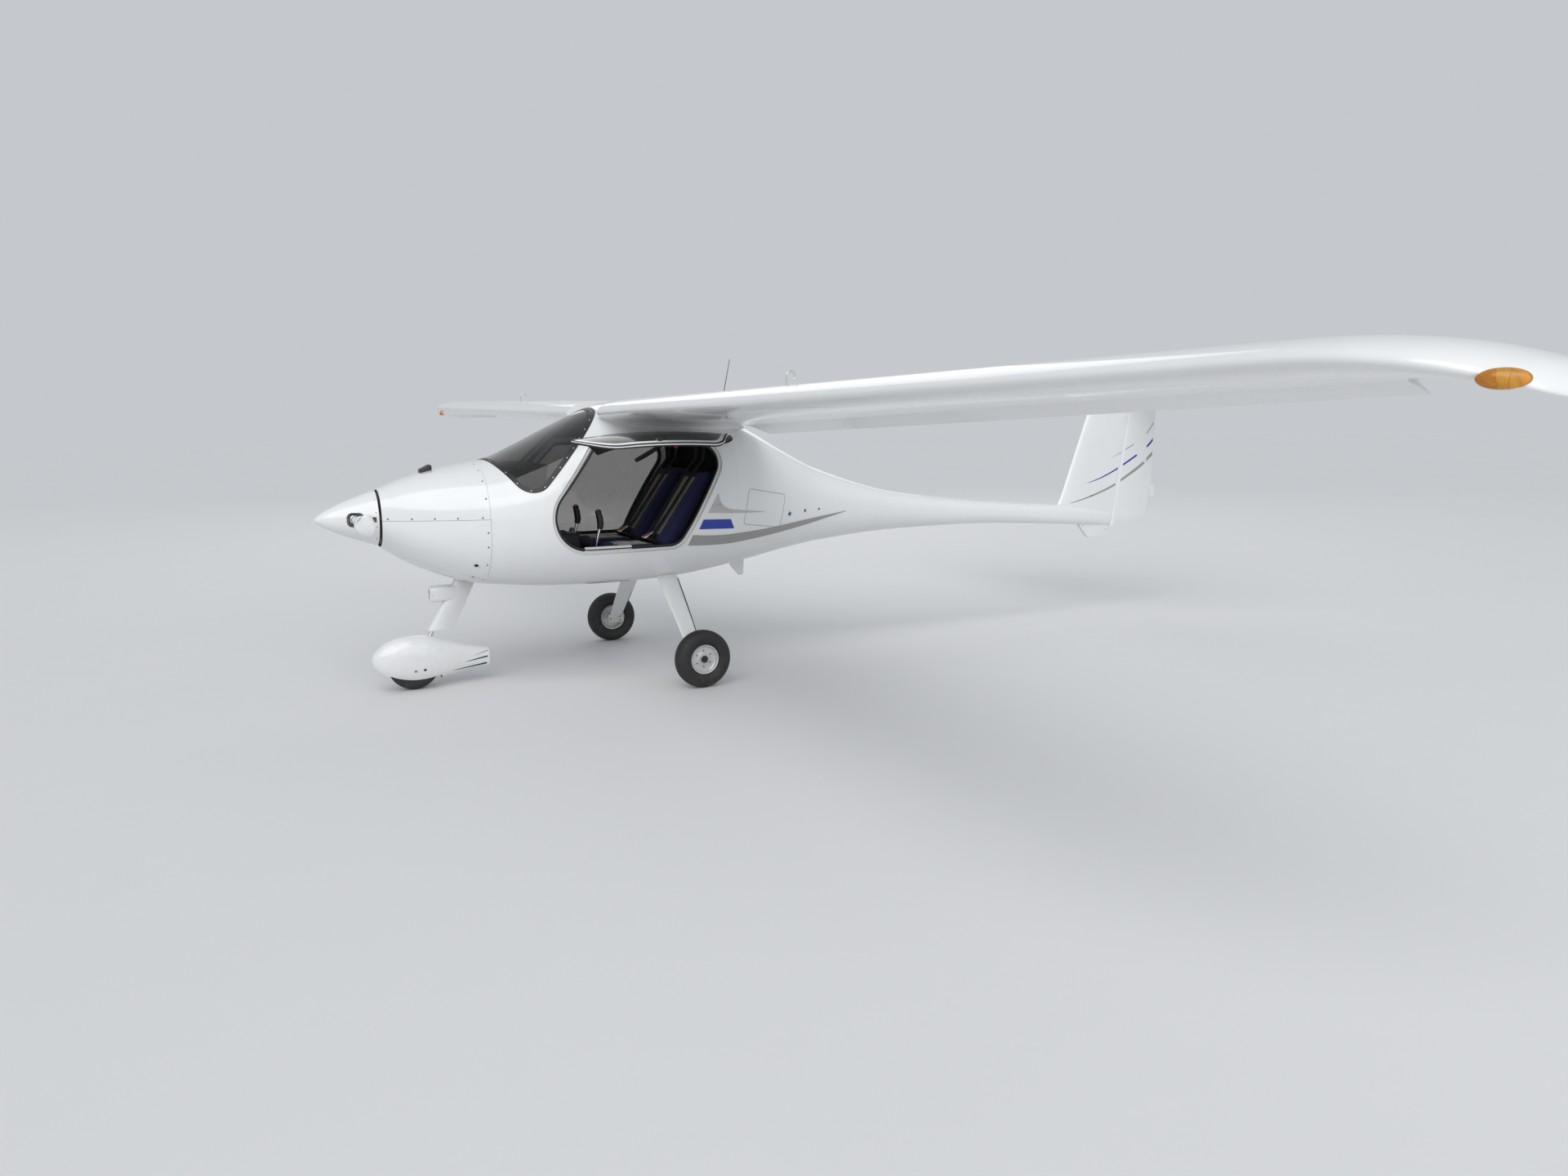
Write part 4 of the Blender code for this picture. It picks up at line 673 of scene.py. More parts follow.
def rounded(corners, steps=10):
    """An outline through corners given as (a, b, radius), with each radius drawn as an arc."""
    points = []
    for i, (a, b, radius) in enumerate(corners):
        here = Vector((a, b))
        if radius == 0:
            points.append(here)
            continue
        back = (Vector(corners[i - 1][:2]) - here).normalized()
        ahead = (Vector(corners[(i + 1) % len(corners)][:2]) - here).normalized()
        half = back.angle(ahead) / 2
        centre = here + (back + ahead).normalized() * radius / math.sin(half)
        start = here + back * radius / math.tan(half) - centre
        sweep = start.angle_signed(here + ahead * radius / math.tan(half) - centre)
        points += [centre + Matrix.Rotation(-sweep * step / steps, 2) @ start for step in range(steps + 1)]
    return [tuple(point) for point in points]


def inset(corners, distance):
    """The same corners moved inwards by a distance, their radii cut by as much."""
    moved_in = []
    middle = sum((Vector(corner[:2]) for corner in corners), Vector((0, 0))) / len(corners)
    for i, (a, b, radius) in enumerate(corners):
        here = Vector((a, b))
        back = (Vector(corners[i - 1][:2]) - here).normalized()
        ahead = (Vector(corners[(i + 1) % len(corners)][:2]) - here).normalized()
        inward = (back + ahead).normalized()
        if inward.dot(middle - here) < 0:
            inward = -inward
        spot = here + inward * distance / math.sin(back.angle(ahead) / 2)
        moved_in.append((spot.x, spot.y, max(radius - distance, 0.004) if radius else 0.0))
    return moved_in


def on_side(corners):
    """Corners in stations made into corners in X."""
    return [(at(station), z, radius) for station, z, radius in corners]


def even_steps(outline, step, closed=True):
    """Points a step apart along an outline."""
    ends = outline[1:] + outline[:1] if closed else outline[1:]
    points = []
    for a, b in zip(outline, ends):
        a, b = Vector(a), Vector(b)
        count = max(1, round((b - a).length / step))
        points += [a.lerp(b, i / count) for i in range(count)]
    return points if closed else points + [Vector(outline[-1])]


def steps_between(low, high, count):
    return [low + (high - low) * i / count for i in range(count + 1)]


def squared_ring(station, half, low, high, power, count):
    """A squared oval that stands across the aircraft's axis."""
    middle, height = (low + high) / 2, (high - low) / 2
    return [
        (at(station), half * math.copysign(abs(a) ** power, a),
         middle + height * math.copysign(abs(b) ** power, b))
        for a, b in circle(1.0, count)
    ]


# The fuselage's surface


def row_before(table, key):
    """Index of the row of a table that a key comes after, never the last."""
    return min(max(int(np.searchsorted([row[0] for row in table], key)) - 1, 0), len(table) - 2)


def between_rows(low, high, share):
    return tuple(a + (b - a) * share for a, b in zip(low, high))


def curved(table, key, columns):
    """Columns of a table at a key, on a smooth curve through its rows."""
    i = row_before(table, key)
    gap = table[i + 1][0] - table[i][0]
    t = (key - table[i][0]) / gap

    def slope(k, column):
        low, high = table[max(k - 1, 0)], table[min(k + 1, len(table) - 1)]
        return (high[column] - low[column]) / (high[0] - low[0])

    return [
        (2 * t**3 - 3 * t**2 + 1) * table[i][column] + (t**3 - 2 * t**2 + t) * gap * slope(i, column)
        + (3 * t**2 - 2 * t**3) * table[i + 1][column] + (t**3 - t**2) * gap * slope(i + 1, column)
        for column in columns
    ]


def hull_measures(station):
    """Underside, widest place, top and half width of the fuselage at a station."""
    return curved(HULL, station, (1, 2, 3, 4))


def hull_point(station, angle, inward=0.0):
    """A point of the fuselage's surface, the angle counted from starboard upwards."""
    bottom, wide, top, half = hull_measures(station)
    c, s = math.cos(angle), math.sin(angle)
    height = (top - inward - wide) if s > 0 else (wide - bottom - inward)
    return Vector((
        at(station), (half - inward) * math.copysign(abs(c) ** (2 / HULL_POWER), c),
        wide + height * math.copysign(abs(s) ** (2 / HULL_POWER), s),
    ))


def hull_ring(station, inward=0.0, sides=HULL_SIDES):
    return [hull_point(station, math.tau * step / sides, inward) for step in range(sides)]


def hull_angle(station, z, side):
    """The angle at which the fuselage's side is at a height."""
    bottom, wide, top, _ = hull_measures(station)
    height = (top - wide) if z > wide else (wide - bottom)
    angle = math.copysign(math.asin(min(abs(z - wide) / height, 1.0) ** (HULL_POWER / 2)), z - wide)
    return angle if side > 0 else math.pi - angle


def hull_frame(station, angle, proud=0.0):
    """A place on the skin: X aft along it, Y round it, Z straight out of it."""
    step = 0.004
    here = hull_point(station, angle)
    aft = (hull_point(station + step, angle) - hull_point(station - step, angle)).normalized()
    round_it = (hull_point(station, angle + step) - hull_point(station, angle - step)).normalized()
    out = round_it.cross(aft)
    middle = Vector((here.x, 0.0, hull_measures(station)[1]))
    if out.dot(here - middle) < 0:
        out = -out
    out.normalize()
    frame_of = Matrix((aft, out.cross(aft), out)).transposed().to_4x4()
    frame_of.translation = here + out * proud
    return frame_of


def skin_frame(station, z, side, proud=0.0):
    return hull_frame(station, hull_angle(station, z, side), proud)


def skin_point(station, z, side, proud=0.0):
    return skin_frame(station, z, side, proud).translation


def hull_loft(name, stations, inward=0.0, material=None):
    return loft(name, [hull_ring(station, inward) for station in stations], material)


def hull_shell(name, stations, wall, material, outward=0.0, reach=0.02):
    """A length of the fuselage's skin as a tube that is open at both ends."""
    outer = hull_loft(name, stations, -outward, material)
    core = hull_loft(name + "_core", [stations[0] - reach, *stations, stations[-1] + reach], wall - outward)
    return cut(outer, core)


def hull_panel(name, stations, wall, material, outward, keep, hole=None, side=0):
    """A piece of the fuselage's skin inside one outline in side view, with another cut out of it."""
    low, high = sorted((side * 0.25, side * 0.80)) if side else (-THROUGH, THROUGH)
    made = hull_shell(name, stations, wall, material, outward)
    cut(made, prism("keep", keep, low, high), operation="INTERSECT")
    if hole:
        cut(made, prism("hole", hole, low - 0.1, high + 0.1))
    return made


def screw_set(name, places, radius, material, body, height=0.0012):
    """Small domed screw heads with a sunk socket, one at each place."""
    bm = bmesh.new()
    for place in places:
        made = bmesh.ops.create_cone(
            bm, cap_ends=True, cap_tris=False, segments=12, radius1=radius, radius2=radius * 0.72,
            depth=height, matrix=place @ Matrix.Translation((0, 0, height * 0.3)),
        )
        top = max(
            {face for vertex in made["verts"] for face in vertex.link_faces if len(face.verts) > 4},
            key=lambda face: (face.calc_center_median() - place.translation).dot(place.col[2].xyz),
        )
        bmesh.ops.inset_region(bm, faces=[top], thickness=radius * 0.34, depth=0.0)
        bmesh.ops.translate(bm, verts=top.verts, vec=place.col[2].xyz * -height * 0.6)
    return on_body(as_object(name, bm, material, 30.0), body)


def film(name, place, columns, rows, material, body, thickness=FILM):
    """A thin film laid on a surface: place(u, v) gives its points, u and v from 0 to 1."""
    bm = bmesh.new()
    bmesh.ops.create_grid(bm, x_segments=columns, y_segments=rows, size=0.5)
    for vertex in bm.verts:
        vertex.co = place(vertex.co.x + 0.5, vertex.co.y + 0.5)
    bmesh.ops.solidify(bm, geom=bm.faces[:], thickness=thickness)
    return on_body(as_object(name, bm, material, 50.0), body)


# Fuselage


def cabin():
    """The cabin's moulded skin with its openings, jambs, seals and glazing."""
    stations = steps_between(FIREWALL, CABIN_END, 56)
    shell = hull_shell("cabin_shell", stations, SKIN, WHITE)
    screen = rounded(on_side(SCREEN_OUTLINE), 16)
    doorway = rounded(inset(on_side(DOOR_OUTLINE), -DOOR_GAP), 20)
    tools = [prism("opening", outline, -THROUGH, THROUGH) for outline in (screen, doorway)]
    front, rear, half = SKYLIGHT
    corners = ((front, -half), (rear, -half), (rear, half), (front, half))
    roof = rounded([(at(station), y, 0.03) for station, y in corners])
    tools.append(prism("roof_cut", roof, *ROOF, axis="Z"))
    on_body(cut(shell, *tools), "airframe", ["fuselage_cabin"])
    glazing(stations, roof)
    for side, hand in HANDS:
        door_surround(side, hand)


def glazing(stations, roof):
    """Windscreen with its black band and screws, and the skylight."""
    corners = on_side(SCREEN_OUTLINE)
    outline = rounded(inset(corners, 0.001), 16)
    inner = rounded(inset(corners, 0.026), 16)
    front = [s for s in stations if s < 1.76]
    screen = hull_panel("windscreen_pane", front, GLASS, SMOKED, 0.0004, outline)
    on_body(screen, "airframe", ["windscreen"])
    band = hull_panel("windscreen_band", front, 0.0012, BORDER, 0.0016, outline, inner)
    on_body(band, "airframe")
    line = [(a + LENGTH / 2, z) for a, z in rounded(inset(corners, 0.012), 10)]
    edge = [spot for spot in even_steps(line, 0.004)[::18] if spot.y < 1.60 and spot.x > 0.93]
    places = [skin_frame(spot.x, spot.y, side, 0.0016) for side, _ in HANDS for spot in edge]
    screw_set("windscreen_screws", places, 0.0042, ALLOY, "airframe")
    top = hull_shell("skylight_pane", [s for s in stations if 1.6 < s < 2.22], GLASS, SMOKED, 0.0004)
    cut(top, prism("keep", [(a, b * 0.996) for a, b in roof], *ROOF, axis="Z"), operation="INTERSECT")
    on_body(top, "airframe", ["skylight"])


def door_surround(side, hand):
    """The stepped white jamb inside a door opening, its black seal and its sill plate."""
    corners = on_side(DOOR_OUTLINE)
    stations = steps_between(1.0, CABIN_END - 0.004, 48)
    outer, hole = (rounded(inset(corners, distance), 20) for distance in (-0.016, 0.013))
    jamb = hull_panel(f"door_jamb_{hand}", stations, 0.0050, JAMB, -SKIN - 0.0012, outer, hole, side)
    on_body(jamb, "airframe")
    line = side_line(inset(corners, 0.016), side, -SKIN - 0.004)
    on_body(pipe(f"door_seal_{hand}", line, 0.0062, SEAL, True, 10, (0, 1, 0)), "airframe")
    homes = [skin_frame(s, 0.7985, side, -0.0170) for s in steps_between(1.385, 1.665, 8)]
    path = [home.translation for home in homes]
    upwards = [home.col[1].xyz * math.copysign(1.0, home.col[1].z) for home in homes]
    section = ((0.0012, -0.008), (0.0012, 0.0095), (0.0002, 0.0105), (-0.016, 0.0105), (-0.016, 0.0085),
               (-0.0012, 0.0085), (-0.0012, -0.008))
    section = [(-side * a, b) for a, b in section]
    on_body(swept(f"sill_plate_{hand}", path, section, JAMB, False, upwards), "airframe")


def side_line(corners, side, proud, step=0.02):
    """A closed line of even steps on the fuselage's side, through corners given in X."""
    return [skin_point(x + LENGTH / 2, z, side, proud) for x, z in even_steps(rounded(corners, 16), step)]


def tail_boom():
    """The slim rear fuselage, drawn in one smooth piece behind the cabin."""
    stations = steps_between(CABIN_END + 0.0006, 3.1, 24) + steps_between(3.1, TAIL_END, 40)[1:]
    boom = hull_loft("tail_boom", stations, 0.0, WHITE)
    on_body(boom, "airframe", ["fuselage_tail"])
    tail_skid()


def tail_skid():
    """The moulded skid under the tail."""
    skid = ((5.560, 0.74), (5.560, 0.690), (5.572, 0.672), (5.640, 0.596), (5.664, 0.585), (5.862, 0.580),
            (5.868, 0.586), (5.852, 0.715))
    made = prism("tail_skid", [(at(s), z) for s, z in skid], -0.016, 0.016, WHITE, bevel=0.006, segments=3)
    on_body(made, "airframe", ["tail_bumper"])


# Round holes low on the cowling's sides: station, z, radius
DRAIN_HOLES = ((0.800, 0.742, 0.0125), (0.796, 0.668, 0.0085))
# Fasteners of the cowling: stations along its split, and angles round its rear edge
SPLIT_SCREWS = (0.362, 0.478, 0.590, 0.705, 0.830)
REAR_SCREWS = (-1.05, -0.62, -0.30, -0.10, 0.36, 0.72, 1.02, 1.30)


def cowling():
    """Two-part cowling, parted along the thrust line, with its quarter-turn fasteners."""
    split = THRUST_Z - 0.008
    stations = steps_between(HULL[0][0], FIREWALL - SEAM, 28)
    for name, low, high in (("upper", split + SEAM / 2, 1.6), ("lower", 0.4, split - SEAM / 2)):
        half = hull_shell(f"cowling_{name}", stations, COWL_SKIN, WHITE, COWL_PROUD)
        cut(half, block("keep", (at(0.1), -1, low), (at(1.2), 1, high)), operation="INTERSECT")
        if name == "lower":
            cut(half, block("inlet", (at(0.30), -0.10, 0.86), (at(0.405), 0.10, 0.905), None, 0.015))
            cut(half, block("outlet", (at(0.76), -0.13, 0.5), (at(0.90), 0.13, 0.70)))
            for side, _ in HANDS:
                for station, z, radius in DRAIN_HOLES:
                    hole = pin("hole", -0.03, 0.03, radius, (0, 0, 0), None, "Z")
                    cut(half, moved(hole, skin_frame(station, z, side)))
        on_body(half, "airframe", [f"cowl_{name}"])
    liner = hull_loft("cowling_liner", steps_between(0.345, 0.868, 10), COWL_SKIN + 0.004, BLACK)
    on_body(liner, "airframe")
    places, rings = [], []
    for side, _ in HANDS:
        places += [skin_frame(s, split + 0.011, side, COWL_PROUD) for s in SPLIT_SCREWS]
        places += [hull_frame(FIREWALL - 0.016, angle if side > 0 else math.pi - angle, COWL_PROUD)
                   for angle in REAR_SCREWS]
        station, z, radius = DRAIN_HOLES[0]
        home = skin_frame(station, z, side, COWL_PROUD)
        rings += [home @ Matrix.Rotation(math.tau * k / 8, 4, "Z") @ Matrix.Translation((radius * 1.55, 0, 0))
                  for k in range(8)]
    screw_set("cowling_fasteners", places, 0.0052, DARK_STEEL, "airframe", 0.0014)
    screw_set("drain_rivets", rings, 0.0020, DARK_STEEL, "airframe", 0.0006)
    scoop()


def scoop():
    """The small black air scoop on top of the cowling."""
    outline = [(at(0.575), -0.040), (at(0.640), -0.045), (at(0.640), 0.045), (at(0.575), 0.040)]
    made = prism("cowling_scoop", outline, 1.225, 1.302, BLACK, "Z", 0.010, 3)
    for vertex in made.data.vertices:
        if vertex.co.z > 1.27 and vertex.co.x < at(0.60):
            vertex.co.z -= 0.022
    cowl = hull_loft("cowl_form", steps_between(0.5, 0.8, 8), -COWL_PROUD - 0.0004)
    on_body(cut(made, cowl), "airframe", ["cowl_scoop"])


# Propeller


def spinner_radius(station):
    share = min(max(station / SPINNER_BASE, 0.0), 1.0)
    return SPINNER_RADIUS * share**SPINNER_POWER


def propeller():
    """Spinner with its blade openings, back plate, hub and the two blades."""
    stations = [SPINNER_BASE * (i / 40) ** 1.7 for i in range(41)]
    outside = [(s, spinner_radius(s)) for s in stations]
    inside = [(s, spinner_radius(s) - 0.004) for s in stations[:12:-1]]
    profile = outside + inside + [(0.028, 0.0)]
    shell = turned("spinner_shell", profile, (at(0), 0, THRUST_Z), WHITE, "X", 96)
    blade_x, rim_x = at(BLADE_STATION), at(SPINNER_BASE - 0.012)
    opening = block(
        "opening", (blade_x - 0.046, -0.3, THRUST_Z - 0.040), (blade_x + 0.046, 0.3, THRUST_Z + 0.040),
        None, 0.030, 8,
    )
    slot = block("slot", (blade_x, -0.3, THRUST_Z - 0.015), (rim_x, 0.3, THRUST_Z + 0.015))
    on_body(cut(shell, opening, slot), "propeller_unit", ["spinner"])
    places = []
    aft = Vector((1, 0, 0))
    for y, z in arc(1.0, math.tau / 24, math.tau * 25 / 24, 12)[:-1]:
        out = Vector((0, y, z))
        home = Matrix((aft, out.cross(aft), out)).transposed().to_4x4()
        depth = spinner_radius(SPINNER_BASE - 0.012) - 0.0002
        home.translation = Vector((rim_x, 0, THRUST_Z)) + out * depth
        places.append(home)
    screw_set("spinner_screws", places, 0.0036, DARK_STEEL, "propeller_unit")
    blade_set()


def blade_row(share):
    """A blade section between the rows of BLADE, on a smooth curve."""
    i = row_before(BLADE, share)
    t = (share - BLADE[i][0]) / (BLADE[i + 1][0] - BLADE[i][0])
    return between_rows(BLADE[i], BLADE[i + 1], t if i >= len(BLADE) - 3 else t * t * (3 - 2 * t))


def blade_ring(side, share, chord_share, thickness_share, pitch, count=40):
    """One blade section: a lens that is thicker towards its front edge."""
    chord = BLADE_CHORD * chord_share
    thick = chord * thickness_share
    twist = math.radians(pitch) * side
    ring = []
    for step in range(count):
        angle = math.tau * step / count
        along = chord * 0.5 * math.cos(angle) - chord * 0.06
        across = thick * 0.5 * math.sin(angle) * (1.0 - 0.35 * math.cos(angle))
        z = along * math.cos(twist) - across * math.sin(twist)
        x = along * math.sin(twist) + across * math.cos(twist)
        ring.append((at(BLADE_STATION) + x, side * share * PROP_RADIUS, THRUST_Z + z * side))
    return ring


def blade_set():
    """Both blades with their round shanks, on the hub and the back plate."""
    centre = (at(BLADE_STATION), 0, THRUST_Z)
    plate_edge = spinner_radius(SPINNER_BASE - 0.004) - 0.0045
    hub = [(-0.045, 0.0), (-0.045, 0.046), (-0.041, 0.050), (0.055, 0.050), (0.055, 0.030), (0.105, 0.030),
           (0.105, plate_edge), (0.1115, plate_edge), (0.1115, 0.030), (0.2246, 0.030), (0.2246, 0.0)]
    root = ((0.03, 0.0), (0.03, 0.021), (0.158, 0.021), (0.170, 0.016), (0.170, 0.0))
    collar = ((0.048, 0.0), (0.048, 0.031), (0.072, 0.031), (0.076, 0.027), (0.076, 0.0))
    parts = [turned("hub", hub, centre, WHITE, "X")]
    shares = steps_between(0.100, 0.94, 34) + steps_between(0.94, 1.0, 10)[1:]
    for side, _ in HANDS:
        parts.append(loft("blade", [blade_ring(side, *blade_row(share)) for share in shares], WHITE, 50))
        for name, profile, material in (("shank", root, WHITE), ("collar", collar, ALLOY)):
            parts.append(turned(name, [(side * a, r) for a, r in profile], centre, material, "Y", 32))
    on_body(merged("propeller_blades", parts, 50), "propeller_unit", ["propeller"])


# Wings


def wing_row(out):
    """A wing section between the rows of WING: straight inboard, a smooth curve in the drooped tip."""
    i = row_before(WING, out)
    if i < 2:
        return between_rows(WING[i], WING[i + 1], (out - WING[i][0]) / (WING[i + 1][0] - WING[i][0]))
    return (out, *curved(WING, out, range(1, 6)))


def foil_heights(share, thickness, camber=WING_CAMBER):
    """Upper and lower surface of the section at a share of the chord."""
    half = 5 * thickness * (
        0.2969 * math.sqrt(share) - 0.1260 * share - 0.3516 * share**2 + 0.2843 * share**3 - 0.1036 * share**4
    )
    mean = 4 * camber * share * (1 - share)
    return mean + half, mean - half


def leaf_nose(radius):
    """The round front of a control surface, as (aft, across) from its hinge."""
    return arc(radius, math.pi / 2, math.pi * 3 / 2, 16)


def wing_point(row, share, above):
    """A point of a wing section: share of the chord, and its height over the chord in chords."""
    out, nose, nose_z, chord, incidence, _ = row
    turn = math.radians(incidence)
    x = nose + chord * (share * math.cos(turn) + above * math.sin(turn))
    return Vector((at(x), out, nose_z + chord * (above * math.cos(turn) - share * math.sin(turn))))


def foil_shares(count):
    return [(1 - math.cos(math.pi * i / count)) / 2 for i in range(count + 1)]


def mirrored(point, side):
    return Vector((point.x, side * point.y, point.z))


def on_wing(row, share, surface):
    """A point on a wing section's upper (0) or lower (1) surface."""
    return wing_point(row, share, foil_heights(share, row[5])[surface])


def wing_ring(row, side, count=30):
    shares = foil_shares(count)
    upper = [on_wing(row, share, 0) for share in shares[::-1]]
    lower = [on_wing(row, share, 1) for share in shares[1:-1]]
    return [mirrored(point, side) for point in upper + lower]


def hinge_point(out):
    """The flaperon's hinge at a distance out: a straight line between its two ends."""
    ends = []
    for spot in FLAPERON:
        row = wing_row(spot)
        ends.append(wing_point(row, FLAPERON_SHARE, sum(foil_heights(FLAPERON_SHARE, row[5])) / 2))
    return ends[0].lerp(ends[1], (out - FLAPERON[0]) / (FLAPERON[1] - FLAPERON[0]))


def flaperon_ring(out, side):
    """Round nose on the hinge, drawn to a thin trailing edge and drooped as parked."""
    row = wing_row(out)
    hinge = hinge_point(out)
    tail = wing_point(row, 1.0, 0.0)
    length = (tail - hinge).length
    base = math.atan2(tail.z - hinge.z, tail.x - hinge.x) - math.radians(FLAPERON_DROOP)
    nose = FLAPERON_NOSE * row[3] / WING[0][3]
    sides = [
        (length * share, nose * (1 - share) * (1 + 0.12 * share) + 0.0010) for share in (0.25, 0.5, 0.75)
    ]
    section = leaf_nose(nose) + [(a, -b) for a, b in sides]
    section += [(length, -0.0012), (length, 0.0012)] + sides[::-1]
    c, s = math.cos(base), math.sin(base)
    return [Vector((hinge.x + a * c - b * s, side * out, hinge.z + a * s + b * c)) for a, b in section]


def wings():
    """Wings with their flaperon bays, flaperons, brackets, tip lamps, caps and vents."""
    body = hull_loft("hull_form", steps_between(FIREWALL, 2.98, 60), -0.0004)
    outs = steps_between(0.300, 4.8, 30) + steps_between(4.8, 5.285, 16)[1:]
    outs += steps_between(5.285, 5.355, 8)[1:]
    for side, hand in HANDS:
        wing = loft(f"wing_skin_{hand}", [wing_ring(wing_row(out), side) for out in outs], WHITE, 50)
        rings = []
        for out in (FLAPERON[0] - DOOR_GAP, FLAPERON[1] + DOOR_GAP):
            front = hinge_point(out).x - FLAPERON_NOSE * wing_row(out)[3] / WING[0][3] - DOOR_GAP
            corners = ((front, 1.2), (front, 2.0), (0.0, 2.0), (0.0, 1.2))
            rings.append([(x, side * out, z) for x, z in corners])
        cut(wing, loft("bay", rings))
        cut(wing, body, keep=True)
        on_body(wing, "airframe", [f"wing_{hand}"])
        leaf = [flaperon_ring(out, side) for out in steps_between(*FLAPERON, 20)]
        surface = loft(f"flaperon_skin_{hand}", leaf, WHITE, 50)
        on_body(surface, f"flaperon_{hand}", [f"flaperon_{hand}"])
        hinge_brackets(side, hand)
        tip_lamp(side, hand)
        wing_fittings(side, hand)
        root_fairing(side, hand)
    bpy.data.objects.remove(body)


def hinge_brackets(side, hand):
    """Hinge arms between wing and flaperon."""
    parts = []
    arm = ((-0.055, -0.010), (0.004, -0.006), (0.004, 0.006), (-0.055, 0.012))
    for out in FLAPERON_HINGES:
        spot = mirrored(hinge_point(out), side)
        outline = [(spot.x + x, spot.z + z) for x, z in arm]
        parts.append(prism("arm", outline, spot.y - 0.003, spot.y + 0.003, ALLOY, bevel=0.001, segments=1))
    on_body(merged(f"flaperon_arms_{hand}", parts), "airframe")


def tip_lamp(side, hand):
    """The amber lens let into the tip's front edge."""
    place = wing_point(WING[6], 0.0, 0.0)
    spot = (place.x - 0.004, side * (place.y + 0.012), place.z - 0.002)
    turn = Matrix.Translation(spot) @ Matrix.Rotation(side * math.radians(52), 4, "Z")
    bm = bmesh.new()
    bmesh.ops.create_uvsphere(bm, u_segments=40, v_segments=24, radius=0.5)
    bmesh.ops.scale(bm, verts=bm.verts, vec=(0.10, 0.045, 0.045))
    bmesh.ops.transform(bm, matrix=turn, verts=bm.verts)
    lens = as_object(f"tip_lens_{hand}", bm, AMBER)
    tip = loft("tip_form", [wing_ring(wing_row(out), side) for out in steps_between(4.96, 5.355, 20)])
    on_body(cut(lens, tip), "airframe", [f"nav_light_{hand}"])


def wing_fittings(side, hand):
    """Fuel cap and vent pipe of one wing."""
    cap = mirrored(on_wing(wing_row(1.35), 0.30, 0), side)
    profile = [(-0.004, 0.0), (-0.004, 0.034), (0.0012, 0.034), (0.0020, 0.031), (0.0020, 0.027),
               (0.0004, 0.026), (0.0004, 0.0)]
    parts = [turned("cap", profile, (0, 0, 0), WHITE, "Z", 40)]
    parts.append(block("cap_lever", (-0.020, -0.005, 0.0), (0.020, 0.005, 0.004), ALLOY, 0.0015))
    home = Matrix.Translation(cap) @ Matrix.Rotation(math.radians(2.0), 4, "Y")
    on_body(moved(merged(f"fuel_cap_{hand}", parts), home), "airframe")
    foot = mirrored(on_wing(wing_row(VENT_OUT), 0.20, 0), side)
    bend = arc(0.021, math.pi, -math.pi / 4, 16)
    points = [foot + Vector((0, 0, -0.006)), foot + Vector((0, 0, 0.024))]
    points += [foot + Vector((0.021 + x, 0, 0.040 + z)) for x, z in bend]
    vent = pipe(f"vent_pipe_{hand}", points, 0.0035, ALLOY, up=(0, 1, 0))
    on_body(vent, "airframe", [f"fuel_vent_{hand}"])


def root_fairing(side, hand):
    """A soft fillet of filler where the wing's underside runs into the cabin."""
    rings = []
    for share in steps_between(0.02, 0.98, 36):
        lower = on_wing(wing_row(0.52), share, 1)
        station = lower.x + LENGTH / 2
        root = skin_point(station, min(lower.z - 0.002, hull_measures(station)[2] - 0.002), side)
        size = 0.055 * math.sin(math.pi * share) ** 0.6
        under = mirrored(on_wing(wing_row(min(abs(root.y) + size * 1.2, 0.75)), share, 1), side)
        drop = skin_point(station, root.z - size, side)
        corner = Vector((root.x, root.y, under.z))
        bend = [drop.lerp(corner, t).lerp(corner.lerp(under, t), t) for t in steps_between(0, 1, 8)]
        deep = corner + Vector((0, -side * 0.012, 0.012))
        rings.append([drop - Vector((0, side * 0.004, 0)), *bend, under + Vector((0, 0, 0.004)), deep])
    on_body(loft(f"root_fillet_{hand}", rings, WHITE, 60), "airframe")


# Tail


def along(low, high, z):
    """Station on a slanted edge at a height."""
    return low[0] + (high[0] - low[0]) * (z - low[1]) / (high[1] - low[1])


def foil_plan(front, rear, half, count=24):
    """A symmetric section from front to rear as (station, half thickness) on both sides."""
    shares = foil_shares(count)
    chord = rear - front
    ratio = 2 * half / chord
    upper = [(front + chord * s, chord * foil_heights(s, ratio, 0.0)[0]) for s in shares[::-1]]
    return upper + [(x, -y) for x, y in upper[-2:0:-1]]


def fin_half(station, z):
    """Half thickness of the fin or, behind its hinge, of the rudder."""
    hinge = along(RUDDER_FOOT, RUDDER_HEAD, z)
    if station > hinge:
        return RUDDER_NOSE + (0.0012 - RUDDER_NOSE) * (station - hinge) / (RUDDER_TRAIL - hinge)
    front = along(FIN_FOOT, FIN_TOP, z)
    chord = RUDDER_TRAIL - front
    share = min(max((station - front) / chord, 0.0), 1.0)
    return chord * foil_heights(share, 2 * FIN_FOOT_HALF / chord, 0.0)[0]


def fin():
    """The fin, blended into the boom by a fillet, with the tailplane's seat on top."""
    rings = []
    for z in steps_between(0.72, FIN_TOP[1], 22):
        front = along(FIN_FOOT, FIN_TOP, z) - 0.10 * max(0.0, (0.93 - z) / 0.21) ** 2
        rings.append([(at(x), y, z) for x, y in foil_plan(front, RUDDER_TRAIL, FIN_FOOT_HALF)])
    made = loft("fin_skin", rings, WHITE, 50)
    lean = math.atan2(RUDDER_HEAD[0] - RUDDER_FOOT[0], RUDDER_HEAD[1] - RUDDER_FOOT[1])
    gap = (RUDDER_NOSE + DOOR_GAP) / math.cos(lean)
    behind = [(at(along(RUDDER_FOOT, RUDDER_HEAD, z)) - gap, z) for z in (0.4, 2.0)]
    cut(made, prism("rear_cut", behind + [(at(7.0), 2.0), (at(7.0), 0.4)], -0.3, 0.3))
    tail = hull_loft("tail_form", steps_between(4.9, TAIL_END, 24), -0.0004)
    cut(made, tail)
    on_body(made, "airframe", ["fin"])


